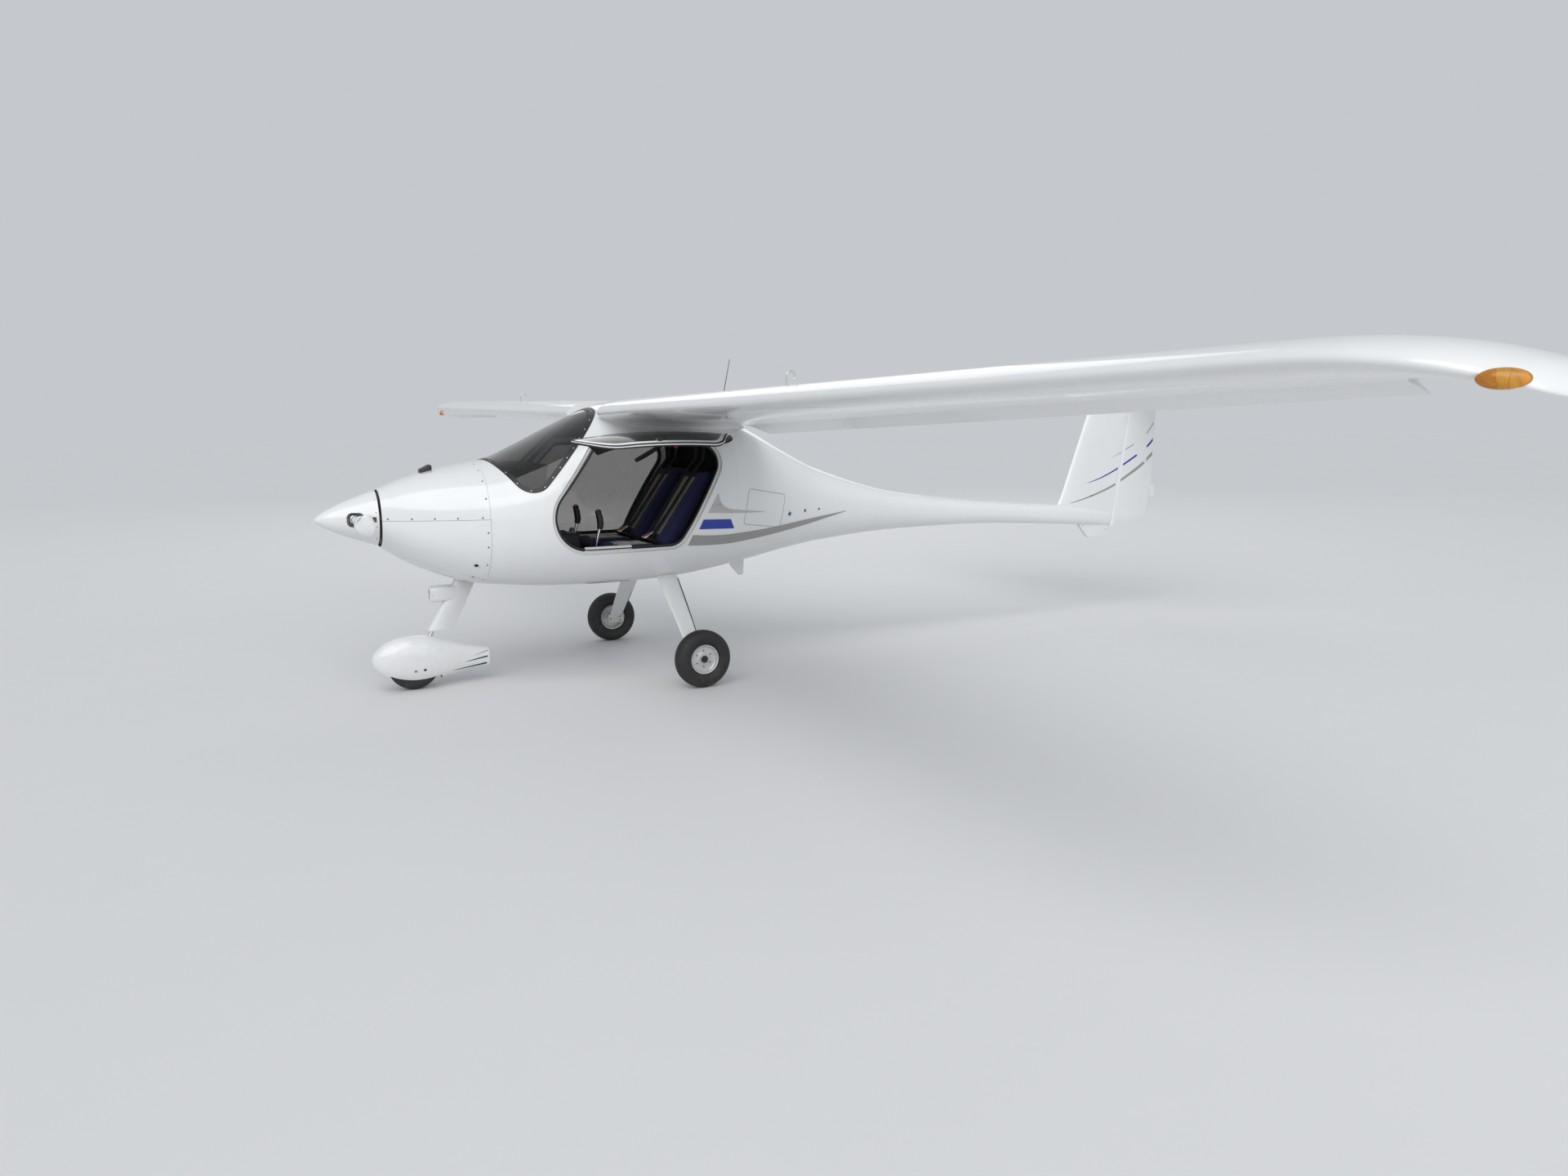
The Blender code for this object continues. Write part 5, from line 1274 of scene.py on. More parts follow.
def rudder():
    """The rudder with its slanted foot and small fixed tab."""
    rings = []
    rows = ((0.668, 5.990), (0.735, 6.268), (1.02, RUDDER_TRAIL - 0.008), (1.55, RUDDER_TRAIL + 0.010),
            (RUDDER_HEAD[1], RUDDER_TRAIL + 0.012))
    for z, trail in rows:
        hinge = at(along(RUDDER_FOOT, RUDDER_HEAD, z))
        ring = [(hinge + x, y, z) for x, y in leaf_nose(RUDDER_NOSE)]
        rings.append(ring + [(at(trail), -0.0012, z), (at(trail), 0.0012, z)])
    tab = ((at(RUDDER_TRAIL - 0.02), -0.0010, 0.885), (at(RUDDER_TRAIL + 0.032), 0.0010, 0.985))
    parts = [loft("rudder_leaf", rings, WHITE, 50), block("tab", *tab, WHITE, 0.0004, 1)]
    on_body(merged("rudder_skin", parts), "rudder", ["rudder"])


# Fairing over the fin's head: station, half width, underside z, top z
BULLET = (
    (5.664, 0.006, 1.7735, 1.782), (5.69, 0.018, 1.7732, 1.796), (5.74, 0.026, 1.7730, 1.812),
    (5.84, 0.030, 1.7728, 1.828), (5.98, 0.030, 1.7726, 1.834), (6.12, 0.026, 1.7726, 1.832),
    (6.20, 0.018, 1.7735, 1.822),
)


def tailplane():
    """Fixed tailplane with its bullet fairing, and the one-piece elevator."""
    rows = [(-out, *rest) for out, *rest in TAILPLANE[:0:-1]] + list(TAILPLANE)
    dense = []
    for a, b in zip(rows, rows[1:]):
        count = 14 if abs(b[0] - a[0]) > 0.5 else 4
        dense += [between_rows(a, b, k / count) for k in range(count)]
    dense.append(rows[-1])
    rings = [[(at(x), out, TAILPLANE_Z + z) for x, z in foil_plan(front, trail, thick / 2)]
             for out, front, hinge, trail, thick in dense]
    made = loft("tailplane_skin", rings, WHITE, 50)
    end = at(TAILPLANE[0][2]) - ELEVATOR_NOSE - DOOR_GAP
    cut(made, block("tail_cut", (end, -1.2, 1.6), (at(7), 1.2, 2.0)))
    on_body(made, "airframe", ["tailplane"])
    bullet = [squared_ring(*row, 0.8, 32) for row in BULLET]
    on_body(loft("tail_bullet", bullet, WHITE, 60), "airframe")
    rings = []
    for out, front, hinge, trail, thick in dense:
        if abs(out) > 1.051:
            continue
        nose = leaf_nose(ELEVATOR_NOSE * thick / TAILPLANE[0][4])
        ring = [(at(hinge) + x, out, TAILPLANE_Z + z) for x, z in nose]
        rings.append(ring + [(at(trail), out, TAILPLANE_Z + z) for z in (-0.0012, 0.0012)])
    on_body(loft("elevator_skin", rings, WHITE, 50), "elevator", ["elevator"])


# Doors


def doors():
    """Framed doors of smoked acrylic with their seals, latches and hinges. The left one stands open."""
    outline = on_side(DOOR_OUTLINE)
    pane = inset(outline, DOOR_RIM)
    stations = steps_between(1.0, CABIN_END, 52)

    def panel_of(name, wall, material, outward, keep, hole=None):
        hole = hole and rounded(hole, 20)
        return hull_panel(f"{name}_{hand}", stations, wall, material, outward, rounded(keep, 20), hole, side)

    for side, hand in HANDS:
        rim = panel_of("door_rim", 0.0052, WHITE, 0.0, outline, pane)
        glass = panel_of("door_pane", GLASS, SMOKED, -0.0006, inset(pane, 0.0008))
        line = side_line(inset(outline, 0.0015), side, -0.0122)
        extras = [
            pipe(f"door_edge_{hand}", line, 0.0045, SEAL, True, 10, (0, 1, 0)),
            panel_of("door_liner", 0.0070, SEAL, -0.0054, inset(outline, 0.0006), inset(pane, -0.002)),
            panel_of("door_trim", 0.0012, SEAL, 0.0009, inset(outline, 0.0002), inset(outline, 0.013)),
            merged(f"door_latch_{hand}", door_latch(side)),
            merged(f"door_arms_{hand}", hinge_arms(side)),
        ]
        turn = Matrix.Identity(4)
        if side == LEFT:
            axis = Matrix.Translation((0, side * HINGE_Y, HINGE_Z))
            turn = axis @ Matrix.Rotation(-math.radians(LEFT_DOOR_OPEN), 4, "X") @ axis.inverted()
        body = f"door_{hand}"
        on_body(moved(rim, turn), body, [f"door_frame_{hand}"])
        on_body(moved(glass, turn), body, [f"door_window_{hand}"])
        for extra in extras:
            on_body(moved(extra, turn), body)


def door_latch(side):
    """A turning knob near the lower edge, with its plate and bolt."""
    home = skin_frame(1.62, 0.822, side)
    knob = [(-0.012, 0.0), (-0.012, 0.014), (0.001, 0.014), (0.003, 0.011), (0.016, 0.010), (0.019, 0.007),
            (0.019, 0.0)]
    plate = [(-0.001, 0.0), (-0.001, 0.020), (0.0012, 0.020), (0.0022, 0.018), (0.0022, 0.0)]
    parts = [
        turned("knob", knob, (0, 0, 0), BLACK, "Z", 32), turned("plate", plate, (0, 0, 0), ALLOY, "Z", 32),
        block("bolt", (-0.006, -0.010, -0.018), (0.006, 0.010, -0.010), STEEL, 0.0015),
    ]
    return [moved(part, home) for part in parts]


def hinge_arms(side):
    """The door's halves of its two hinges."""
    parts = []
    head = DOOR_OUTLINE[0][1]
    barrel = [(-0.022, 0.0), (-0.022, 0.0062), (-0.021, 0.007), (0.021, 0.007), (0.022, 0.0062), (0.022, 0.0)]
    for station in HINGE_STATIONS:
        skin_y = abs(skin_point(station, head - 0.018, side).y)
        x = at(station)
        parts.append(turned("barrel", barrel, (x, side * HINGE_Y, HINGE_Z), WHITE, "X", 24))
        outline = (
            (skin_y - 0.010, head - 0.024), (skin_y - 0.008, head - 0.008),
            (HINGE_Y - 0.003, HINGE_Z + 0.004), (HINGE_Y + 0.004, HINGE_Z - 0.003),
            (skin_y + 0.003, head - 0.024),
        )
        corners = [(side * y, z) for y, z in outline]
        parts.append(prism("arm", corners, x - 0.019, x + 0.019, WHITE, "X", 0.0015, 2))
    return parts


# Undercarriage


def main_gear():
    """Glass-fibre legs, brakes and wheels."""
    body = hull_loft("hull_form", steps_between(1.7, 2.3, 24), -0.0004)
    foot = HALF_TRACK - MAIN_WIDTH / 2 - 0.034
    inner = HALF_TRACK - MAIN_WIDTH / 2 - 0.045
    tip = HALF_TRACK + 0.032
    x = at(MAIN_STATION)
    # Distance out, z, front station, rear station, thickness
    rows = ((0.230, 0.640, 1.900, 2.030, 0.030), (0.330, 0.545, 1.900, 2.030, 0.028),
            (foot - 0.155, 0.330, 1.915, 2.020, 0.024), (foot, MAIN_RADIUS + 0.004, 1.925, 2.010, 0.020))
    dense = [between_rows(a, b, k / 8) for a, b in zip(rows, rows[1:]) for k in range(8)] + [rows[-1]]
    for side, hand in HANDS:
        normal = Vector((0, side * 0.68, 0.73))
        leg = loft(f"leg_skin_{hand}", [
            [Vector((at(s), side * out, z)) + normal * thin
             for s, thin in foil_plan(front, rear, thick / 2, 14)]
            for out, z, front, rear, thick in dense
        ], WHITE, 50)
        cut(leg, body, keep=True)
        axle = [(side * inner, 0.0), (side * inner, 0.010), (side * (tip - 0.002), 0.010),
                (side * tip, 0.008), (side * tip, 0.0)]
        low, high = sorted((side * (inner - 0.006), side * (inner + 0.006)))
        parts = [
            leg, turned("axle", axle, (x, 0, MAIN_RADIUS), STEEL, "Y", 32),
            block("plate", (x - 0.055, low, MAIN_RADIUS - 0.028), (x + 0.055, high, MAIN_RADIUS + 0.030),
                  CALIPER, 0.003),
            *brake(side, inner),
        ]
        on_body(merged(f"main_leg_unit_{hand}", parts), "airframe", [f"main_leg_{hand}"])
        hose(side, hand, foot)
        wheel(f"main_{hand}", Vector((x, side * HALF_TRACK, MAIN_RADIUS)), MAIN_RADIUS, MAIN_WIDTH, MAIN_RIM,
              0.011, f"main_wheel_{hand}", side)
    bpy.data.objects.remove(body)


def brake(side, inner):
    """A cast caliper with its bolts, on the plate inside the wheel."""
    low, high = sorted((side * (inner - 0.004), side * (inner + 0.026)))
    corners = ((at(MAIN_STATION + 0.018), low, MAIN_RADIUS - 0.022),
               (at(MAIN_STATION + 0.056), high, MAIN_RADIUS + 0.026))
    parts = [block("caliper", *corners, CALIPER, 0.005)]
    head, foot = side * (inner - 0.011), side * (inner - 0.004)
    bolt = [(head, 0.0), (head, 0.005), (foot, 0.0055), (foot, 0.0)]
    for x, z in ((-0.040, 0.0), (0.030, 0.014), (0.030, -0.012), (-0.012, 0.020)):
        parts.append(turned("bolt", bolt, (at(MAIN_STATION + x), 0, MAIN_RADIUS + z), DARK_STEEL, "Y", 6))
    return parts


def hose(side, hand, foot):
    """The brake hose, taped down the leg's rear edge."""
    line = ((0.30, 0.575, 2.029), (0.42, 0.466, 2.025), (foot - 0.155, 0.330, 2.019),
            (foot - 0.04, 0.215, 2.012), (foot - 0.012, 0.185, 2.002))
    path = smooth_path([(at(rear), side * out, z) for out, z, rear in line], 6)
    on_body(pipe(f"brake_hose_{hand}", path, 0.0030, BLACK, up=(1, 0, 0)), "airframe")


def tyre_profile(radius, width, rim, grooves):
    """Half widths and radii of a tyre on a smooth curve, with grooves turned into its tread."""
    half, depth = width / 2, radius - rim
    shoulder = rim + depth * 0.8
    curve = smooth_path([(half * a, rim + depth * b, 0) for a, b in TYRE], 5)
    points = [(p.x, min(p.y, radius)) for p in curve]
    points += [(-a, r) for a, r in points[-2::-1]]
    mouth, deep = 0.0024, 0.0035
    for centre in grooves:
        a = half * centre
        level = max([r for x, r in points if abs(x - a) < half * 0.12 and r > shoulder], default=radius)
        points = [p for p in points if not (abs(p[0] - a) < mouth + 0.0008 and p[1] > shoulder)]
        points += [(a - mouth, level - 0.0004), (a - mouth * 0.6, level - deep),
                   (a + mouth * 0.6, level - deep), (a + mouth, level - 0.0004)]
    tread = sorted((p for p in points if p[1] > shoulder), key=lambda p: p[0])
    left = sorted((p for p in points if p[1] <= shoulder and p[0] < 0), key=lambda p: p[1])
    right = sorted((p for p in points if p[1] <= shoulder and p[0] > 0), key=lambda p: -p[1])
    return left + tread + right


def wheel(prefix, centre, radius, width, rim, bore, body, side):
    """A grooved tyre on a two-part rim with its hub, bolts and axle cap."""
    profile = tyre_profile(radius, width, rim, (-0.46, -0.16, 0.16, 0.46))
    parts = [turned(f"{prefix}_tread", profile + profile[:1], centre, RUBBER, "Y", 120, 28)]
    for end in (-1, 1):
        offset, height = width / 2 * 0.90 * end, rim + (radius - rim) * 0.22
        ring = [(offset - 0.0015, height), (offset * 1.02 + 0.0015 * end, height + 0.001),
                (offset - 0.0015, height + 0.004)]
        parts.append(turned("bead", ring + ring[:1], centre, RUBBER, "Y", 96))
    on_body(merged(f"{prefix}_tyre_skin", parts, 28), body, [f"{prefix}_tyre"])
    lip, bead, out = rim - 0.0006, width / 2 * 0.66, side or 1
    shape = (
        (-bead, lip - 0.006), (-bead - 0.002, lip - 0.001), (-bead, lip), (bead, lip),
        (bead + 0.002, lip - 0.001), (bead, lip - 0.006), (bead - 0.006, lip - 0.008),
        (bead * 0.55, lip - 0.011), (bead * 0.40, lip - 0.016), (bead * 0.36, lip - 0.026),
        (bead * 0.42, bore + 0.024), (bead * 0.50, bore + 0.018), (bead * 0.74, bore + 0.015),
        (bead * 0.76, bore + 0.012), (bead * 0.76, bore), (-bead * 0.72, bore), (-bead * 0.72, bore + 0.013),
        (-0.006, bore + 0.018), (-0.004, lip - 0.020), (-bead * 0.55, lip - 0.011),
    )
    shape = [(out * a, r) for a, r in shape]
    parts = [turned("rim", shape + shape[:1], centre, RIM_PAINT, "Y", 80, 24)]
    reach = (bore + 0.024 + lip - 0.026) / 2
    bolt = ((-0.004, 0.0), (-0.004, 0.0045), (0.004, 0.0045), (0.0046, 0.0036), (0.0046, 0.0))
    bolt = [(out * (bead * 0.38 + a), r) for a, r in bolt]
    for x, z in arc(reach, math.tau / 12, math.tau * 13 / 12, 6)[:-1]:
        parts.append(turned("bolt", bolt, centre + Vector((x, 0, z)), DARK_STEEL, "Y", 6, 20))
    cap = ((0.0, 0.0), (0.0, bore + 0.0105), (0.005, bore + 0.010), (0.007, bore + 0.007), (0.0078, 0.0095),
           (0.0135, 0.0090), (0.0145, 0.0075), (0.0145, 0.0))
    if width > 0.1:
        cap = [(out * (bead * 0.76 + a), r) for a, r in cap]
        parts.append(turned("hub_cap", cap, centre, BLACK, "Y", 48, 24))
    on_body(merged(f"{prefix}_rim_unit", parts, 24), body, [f"{prefix}_rim"])


def strut_at(z):
    """Station of the raked steering axis at a height."""
    return STRUT_POINT[0] + (z - STRUT_POINT[1]) * math.tan(math.radians(NOSE_RAKE))


def strut_tube(name, low, high, radius, material, count):
    """A tube along the steering axis between two heights."""
    return pipe(name, [(at(strut_at(z)), 0, z) for z in (low, high)], radius, material, count=count)


def pant_row(station):
    """Underside, top and half width of the nose wheel fairing at a station, on a smooth curve."""
    return curved(PANT, station, (1, 2, 3))


def pant_ring(station, wall=0.0, count=56):
    low, high, half = pant_row(station) if PANT[1][0] < station else PANT[0][1:]
    return squared_ring(station, half - wall, low + wall, high - wall, PANT_POWER, count)


def pant_point(station, z, side, proud=0.0):
    """A point on the side of the nose wheel fairing."""
    low, high, half = pant_row(station)
    middle, height = (low + high) / 2, (high - low) / 2
    share = min(abs(z - middle) / height, 1.0) ** (1 / PANT_POWER)
    return Vector((at(station), side * (half * math.sqrt(1 - share * share) ** PANT_POWER + proud), z))


def nose_gear():
    """Leg fairing with its landing lamp, sprung strut, wheel fairing and wheel."""
    # Z, front station, rear station and half width at the fairing's top and foot
    rows = ((0.630, 0.738, 0.868, 0.030), (0.337, 0.569, 0.724, 0.028))
    rings = []
    for share in steps_between(0, 1, 12):
        z, front, rear, half = between_rows(*rows, share)
        rings.append([(at(x), y, z) for x, y in foil_plan(front, rear, half, 18)])
    leg = loft("nose_leg_skin", rings, WHITE, 50)
    cut(leg, hull_loft("cowl_form", steps_between(0.5, 0.872, 12), -COWL_PROUD - 0.0004))
    cut(leg, strut_tube("bore", 0.25, 0.42, STRUT_RADIUS + 0.001, None, 32))
    on_body(merged("nose_leg_unit", [leg, lamp_pod()]), "airframe", ["nose_leg_fairing"])
    lamp_details()
    half = NOSE_WIDTH / 2 + 0.013
    strut = [
        strut_tube("strut", CROWN_Z + 0.004, 0.418, STRUT_RADIUS, STEEL, 40), fork(),
        pin("pin", -half, half, 0.008, (at(NOSE_STATION), 0, NOSE_RADIUS), STEEL),
    ]
    on_body(merged("nose_strut_unit", strut), "nose_fork", ["nose_strut"])
    wheel_fairing()
    hub = Vector((at(NOSE_STATION), 0, NOSE_RADIUS))
    wheel("nose", hub, NOSE_RADIUS, NOSE_WIDTH, NOSE_RIM, 0.0085, "nose_wheel", 0)


def fork():
    """A bent plate over the tyre that leans back to the strut."""
    low, shoulder, inner = NOSE_RADIUS - 0.012, CROWN_Z - 0.036, NOSE_WIDTH / 2 + 0.005
    outer = inner + 0.005
    half = [
        (outer, low), (outer, shoulder), (outer * 0.52, CROWN_Z + 0.004), (-outer * 0.52, CROWN_Z + 0.004),
        (-outer, shoulder), (-outer, low), (-inner, low), (-inner, shoulder - 0.004),
        (-inner * 0.52, CROWN_Z - 0.004), (inner * 0.52, CROWN_Z - 0.004), (inner, shoulder - 0.004),
        (inner, low),
    ]
    made = prism("fork", half, -0.010, 0.010, STEEL, "X", 0.001, 1)
    lean = (strut_at(CROWN_Z) - NOSE_STATION) / (CROWN_Z - NOSE_RADIUS)
    for vertex in made.data.vertices:
        vertex.co.x += at(NOSE_STATION) + (vertex.co.z - NOSE_RADIUS) * lean
    return made


def lamp_pod():
    """The housing of the landing lamp, faired into the leg's front."""
    # Station, half width, underside z, top z
    rows = ((0.592, 0.034, 0.506, 0.592), (0.602, 0.039, 0.503, 0.597), (0.650, 0.040, 0.502, 0.600),
            (0.700, 0.038, 0.506, 0.600), (0.738, 0.031, 0.520, 0.598))
    pod = loft("lamp_pod", [squared_ring(*row, 0.55, 40) for row in rows], WHITE, 45)
    hollow = [(-0.02, 0.0), (-0.02, 0.029), (0.014, 0.029), (0.026, 0.020), (0.026, 0.0)]
    return cut(pod, turned("hollow", hollow, (at(LAMP[0]), 0, LAMP[1]), None, "X", 32))


def lamp_details():
    """Reflector, bulb and cover glass of the landing lamp."""
    profiles = {
        "reflector": ((0.024, 0.0), (0.024, 0.018), (0.012, 0.0275), (0.004, 0.0285), (0.004, 0.0275),
                      (0.013, 0.024), (0.020, 0.010), (0.021, 0.0)),
        "bulb": ((0.006, 0.0), (0.007, 0.004), (0.011, 0.006), (0.022, 0.006), (0.022, 0.0)),
        "cover": ((0.0, 0.0), (0.0005, 0.020), (0.002, 0.0285), (0.004, 0.0285), (0.0028, 0.020),
                  (0.0024, 0.0)),
    }
    looks = {"reflector": (STEEL, 40), "bulb": (LAMP_GLASS, 24), "cover": (LAMP_GLASS, 40)}
    centre = (at(LAMP[0]), 0, LAMP[1])
    reflector, bulb, cover = (
        turned(name, profile, centre, looks[name][0], "X", looks[name][1])
        for name, profile in profiles.items()
    )
    on_body(merged("lamp_reflector", [reflector, bulb]), "airframe")
    # Screws of the pod and of the tail skid: station, y, z
    spots = ((0.603, 0.0385, 0.547), (0.703, 0.0325, 0.589), (0.661, 0.0315, 0.511), (5.595, 0.0160, 0.684),
             (5.835, 0.0160, 0.640))
    places = [
        Matrix.Translation((at(s), side * y, z)) @ Matrix.Rotation(-side * math.pi / 2, 4, "X")
        for side, _ in HANDS for s, y, z in spots
    ]
    screw_set("pod_and_skid_screws", places, 0.0040, DARK_STEEL, "airframe", 0.0010)
    on_body(merged("lamp_cover", [cover]), "airframe")


def wheel_fairing():
    """The teardrop over the nose wheel, open below, with its axle plugs."""
    stations = [PANT[0][0], 0.2525, 0.2585] + steps_between(0.265, 0.915, 60)
    shell = loft("pant_shell", [pant_ring(s) for s in stations], WHITE, 50)
    core = loft("core", [pant_ring(s, 0.004) for s in steps_between(0.262, 0.880, 40)])
    room, side_room, x = NOSE_RADIUS + 0.006, NOSE_WIDTH / 2 + 0.014, at(NOSE_STATION)
    well = block("well", (x - room, -side_room, -0.1), (x + room, side_room, 0.14), None, 0.02, 4)
    hole = strut_tube("hole", CROWN_Z - 0.02, 0.36, STRUT_RADIUS + 0.0012, None, 32)
    on_body(cut(shell, core, well, hole), "nose_fork", ["nose_wheel_fairing"])
    parts = []
    for side, _ in HANDS:
        plugs = ((0.478, 0.121, DARK_STEEL, 0.0075), (0.530, 0.124, SEAL, 0.0085))
        for station, z, material, radius in plugs:
            profile = ((-0.004, 0.0), (-0.004, radius), (0.0006, radius), (0.0012, radius * 0.8),
                       (0.0004, radius * 0.6), (0.0004, 0.0))
            profile = [(side * a, r) for a, r in profile]
            parts.append(turned("plug", profile, pant_point(station, z, side), material, "Y", 28))
    on_body(merged("pant_plugs", parts), "nose_fork")


# Livery

BAR = (((2.085, 0.893), (2.335, 0.882)), ((2.112, 0.950), (2.305, 0.941)))
SWOOSH = (
    ((2.021, 0.796), (2.181, 0.788), (2.350, 0.790), (2.630, 0.817), (2.928, 0.860), (3.277, 0.928)),
    ((2.045, 0.859), (2.181, 0.848), (2.335, 0.847), (2.618, 0.862), (2.920, 0.893), (3.277, 0.930)),
)
# Painted shade aft of the doorway, beside the open door's shadow: its lower and upper edges in station and z
DOOR_SHADE_CRESCENT = (
    ((2.143, 0.988), (2.170, 0.987), (2.218, 0.984), (2.276, 0.980), (2.336, 0.977), (2.577, 0.968)),
    ((2.220, 1.105), (2.225, 1.072), (2.242, 1.037), (2.276, 1.013), (2.335, 0.997), (2.577, 0.970)),
)
# Small stars behind the bar: station, z, radius
STARS = ((2.780, 0.941, 0.020), (2.913, 0.953, 0.015), (3.035, 0.956, 0.011))
HATCH = ((2.447, 1.119, 0.020), (2.741, 1.067, 0.020), (2.703, 0.860, 0.020), (2.404, 0.902, 0.020))
# Sweeps up the fin and rudder: their middle lines, widest measure and film
FIN_SWEEPS = (
    (((5.858, 1.209), (5.981, 1.261), (6.149, 1.332), (6.255, 1.400), (6.345, 1.500)), 0.016, GREY_FILM),
    (((5.607, 1.018), (5.762, 1.061), (5.937, 1.129), (6.135, 1.221), (6.260, 1.290), (6.345, 1.362)),
     0.026, BLUE_FILM),
    (((5.416, 0.861), (5.631, 0.911), (5.864, 0.983), (6.061, 1.073), (6.210, 1.151), (6.340, 1.245)),
     0.033, GREY_FILM),
)
PANT_STREAKS = (
    ((0.766, 0.139), (0.904, 0.155), 0.009, NAVY_FILM), ((0.691, 0.096), (0.898, 0.114), 0.010, NAVY_FILM),
    ((0.819, 0.170), (0.908, 0.189), 0.005, GREY_FILM),
)


def between(line, share):
    """A point at a share of a polyline given in (station, z)."""
    points = smooth_path([(a, b, 0) for a, b in line], 8)
    spot = share * (len(points) - 1)
    i = min(int(spot), len(points) - 2)
    return points[i].lerp(points[i + 1], spot - i)


def side_film(name, edges, material, side, columns, rows):
    """A film between two lines on the fuselage's side."""
    low, high = edges

    def place(u, v):
        spot = between(low, u).lerp(between(high, u), v)
        return skin_point(spot.x, spot.y, side, FILM + 0.0011)

    film(name, place, columns, rows, material, "airframe")


def livery():
    """Plain bars, sweeps and stars, and a grey sliver of painted shade aft of each doorway, the same on both
    sides.
    """
    for side, hand in HANDS:
        side_film(f"blue_bar_{hand}", BAR, BLUE_FILM, side, 20, 6)
        side_film(f"grey_swoosh_{hand}", SWOOSH, GREY_FILM, side, 90, 6)
        # Painted shade: a grey sliver aft of the doorway, beside the open door's shadow, copied to both sides
        side_film(f"painted_door_shade_{hand}", DOOR_SHADE_CRESCENT, PAINTED_SHADE_FILM, side, 60, 8)
        for k, (station, z, radius) in enumerate(STARS):
            star(f"star_{hand}_{k}", skin_frame(station, z, side, 0.0002), radius)
        outline = even_steps(rounded(on_side(HATCH), 8), 0.01)
        line = [skin_point(x + LENGTH / 2, z, side) for x, z in outline]
        on_body(pipe(f"hatch_seam_{hand}", line, 0.0011, SEAM_SHADE, True, 6, (0, 1, 0)), "airframe")
        for k, (line, wide, material) in enumerate(FIN_SWEEPS):
            fin_film(f"fin_sweep_{hand}_{k}", line, wide, material, side)
        for k, (start, end, wide, material) in enumerate(PANT_STREAKS):
            def place(u, v):
                station, z = between_rows(start, end, u)
                return pant_point(station, z + wide * (v - 0.5) * u**0.7, side, FILM + 0.0006)
            film(f"pant_streak_{hand}_{k}", place, 24, 3, material, "nose_fork")


def star(name, home, radius):
    bm = bmesh.new()
    bmesh.ops.create_circle(bm, cap_ends=True, segments=10, radius=radius)
    bm.verts.ensure_lookup_table()
    for k, vertex in enumerate(bm.verts):
        if k % 2:
            vertex.co *= 0.42
    bmesh.ops.rotate(bm, verts=bm.verts, cent=(0, 0, 0), matrix=Matrix.Rotation(math.radians(11), 3, "Z"))
    bmesh.ops.solidify(bm, geom=bm.faces[:], thickness=-0.0008)
    bmesh.ops.transform(bm, matrix=home, verts=bm.verts)
    on_body(as_object(name, bm, NAVY_FILM), "airframe")


def fin_film(name, line, wide, material, side):
    """A sweep that crosses the hinge line, cut there so that its rear part turns with the rudder."""
    fixed, turning = [], []
    for share in steps_between(0, 1, 120):
        spot = between(line, share)
        hinge = along(RUDDER_FOOT, RUDDER_HEAD, spot.y)
        if spot.x < hinge - RUDDER_NOSE - DOOR_GAP - 0.010:
            fixed.append(share)
        if hinge + 0.003 < spot.x < RUDDER_TRAIL - 0.006:
            turning.append(share)
    for part, body in ((fixed, "airframe"), (turning, "rudder")):
        if len(part) < 3:
            continue

        def place(u, v):
            share = part[0] + (part[-1] - part[0]) * u
            spot = between(line, share)
            z = spot.y + wide * (v - 0.5) * (0.04 + 0.96 * share**0.75)
            return Vector((at(spot.x), side * (fin_half(spot.x, z) + FILM + 0.0003), z))

        film(f"{name}_{body}", place, 40, 4, material, body)


# Cabin furnishing


def laid(points, target, lift):
    """Points brought onto a mesh and lifted off it, with the surface's directions there."""
    mesh = target.data
    tree = BVHTree.FromPolygons([v.co for v in mesh.vertices], [tuple(p.vertices) for p in mesh.polygons])
    found = [tree.find_nearest(point)[:2] for point in points]
    return [spot + normal * lift for spot, normal in found], [normal for _, normal in found]


def strap(name, path, width, material=None, up=(0, 0, 1), edge=0.0016):
    """A woven strap with soft edges."""
    half = width / 2
    section = [(-half, 0), (edge - half, -edge), (half - edge, -edge), (half, 0), (half - edge, edge),
               (edge - half, edge)]
    return swept(name, path, section, material or WEBBING, False, up, 40)


def cushion(name, outline, low, high, material, cap, bevel):
    """A padded form: its plain shape is remeshed and blown up as cloth, no further than cap."""
    made = prism(name, outline, low, high, material, bevel=bevel, segments=3)
    even = made.modifiers.new("even_mesh", "REMESH")
    even.mode = "VOXEL"
    even.voxel_size = 0.0065
    cut(made)
    start = [vertex.co.copy() for vertex in made.data.vertices]
    stuffing = made.modifiers.new("stuffing", "CLOTH")
    stuffing.settings.use_pressure = True
    stuffing.settings.uniform_pressure_force = 4.0
    stuffing.settings.effector_weights.gravity = 0.0
    for frame_number in range(1, 21):
        bpy.context.scene.frame_set(frame_number)
    cut(made, sharp=80)
    bpy.context.scene.frame_set(1)
    for vertex, origin in zip(made.data.vertices, start):
        step = vertex.co - origin
        if step.length > cap:
            vertex.co = origin + step * (cap / step.length)
    made.data.materials.clear()
    made.data.materials.append(material)
    return made


# Seat cushions in side view: name, outline in station and z, half width, finish, most swell, edge radius
PADS = (
    ("pan", ((1.606, 0.744), (1.930, 0.727), (1.880, 0.786), (1.606, 0.792)), 0.168, NAVY, 0.014, 0.016),
    ("back", ((1.962, 0.738), (2.252, 1.214), (2.206, 1.236), (1.902, 0.800)), 0.168, NAVY, 0.014, 0.016),
    ("pan_insert", ((1.640, 0.790), (1.850, 0.786), (1.846, 0.800), (1.644, 0.804)),
     0.092, BEIGE, 0.006, 0.004),
    ("back_insert", ((1.922, 0.812), (2.180, 1.192), (2.166, 1.202), (1.908, 0.822)),
     0.092, BEIGE, 0.006, 0.004),
)


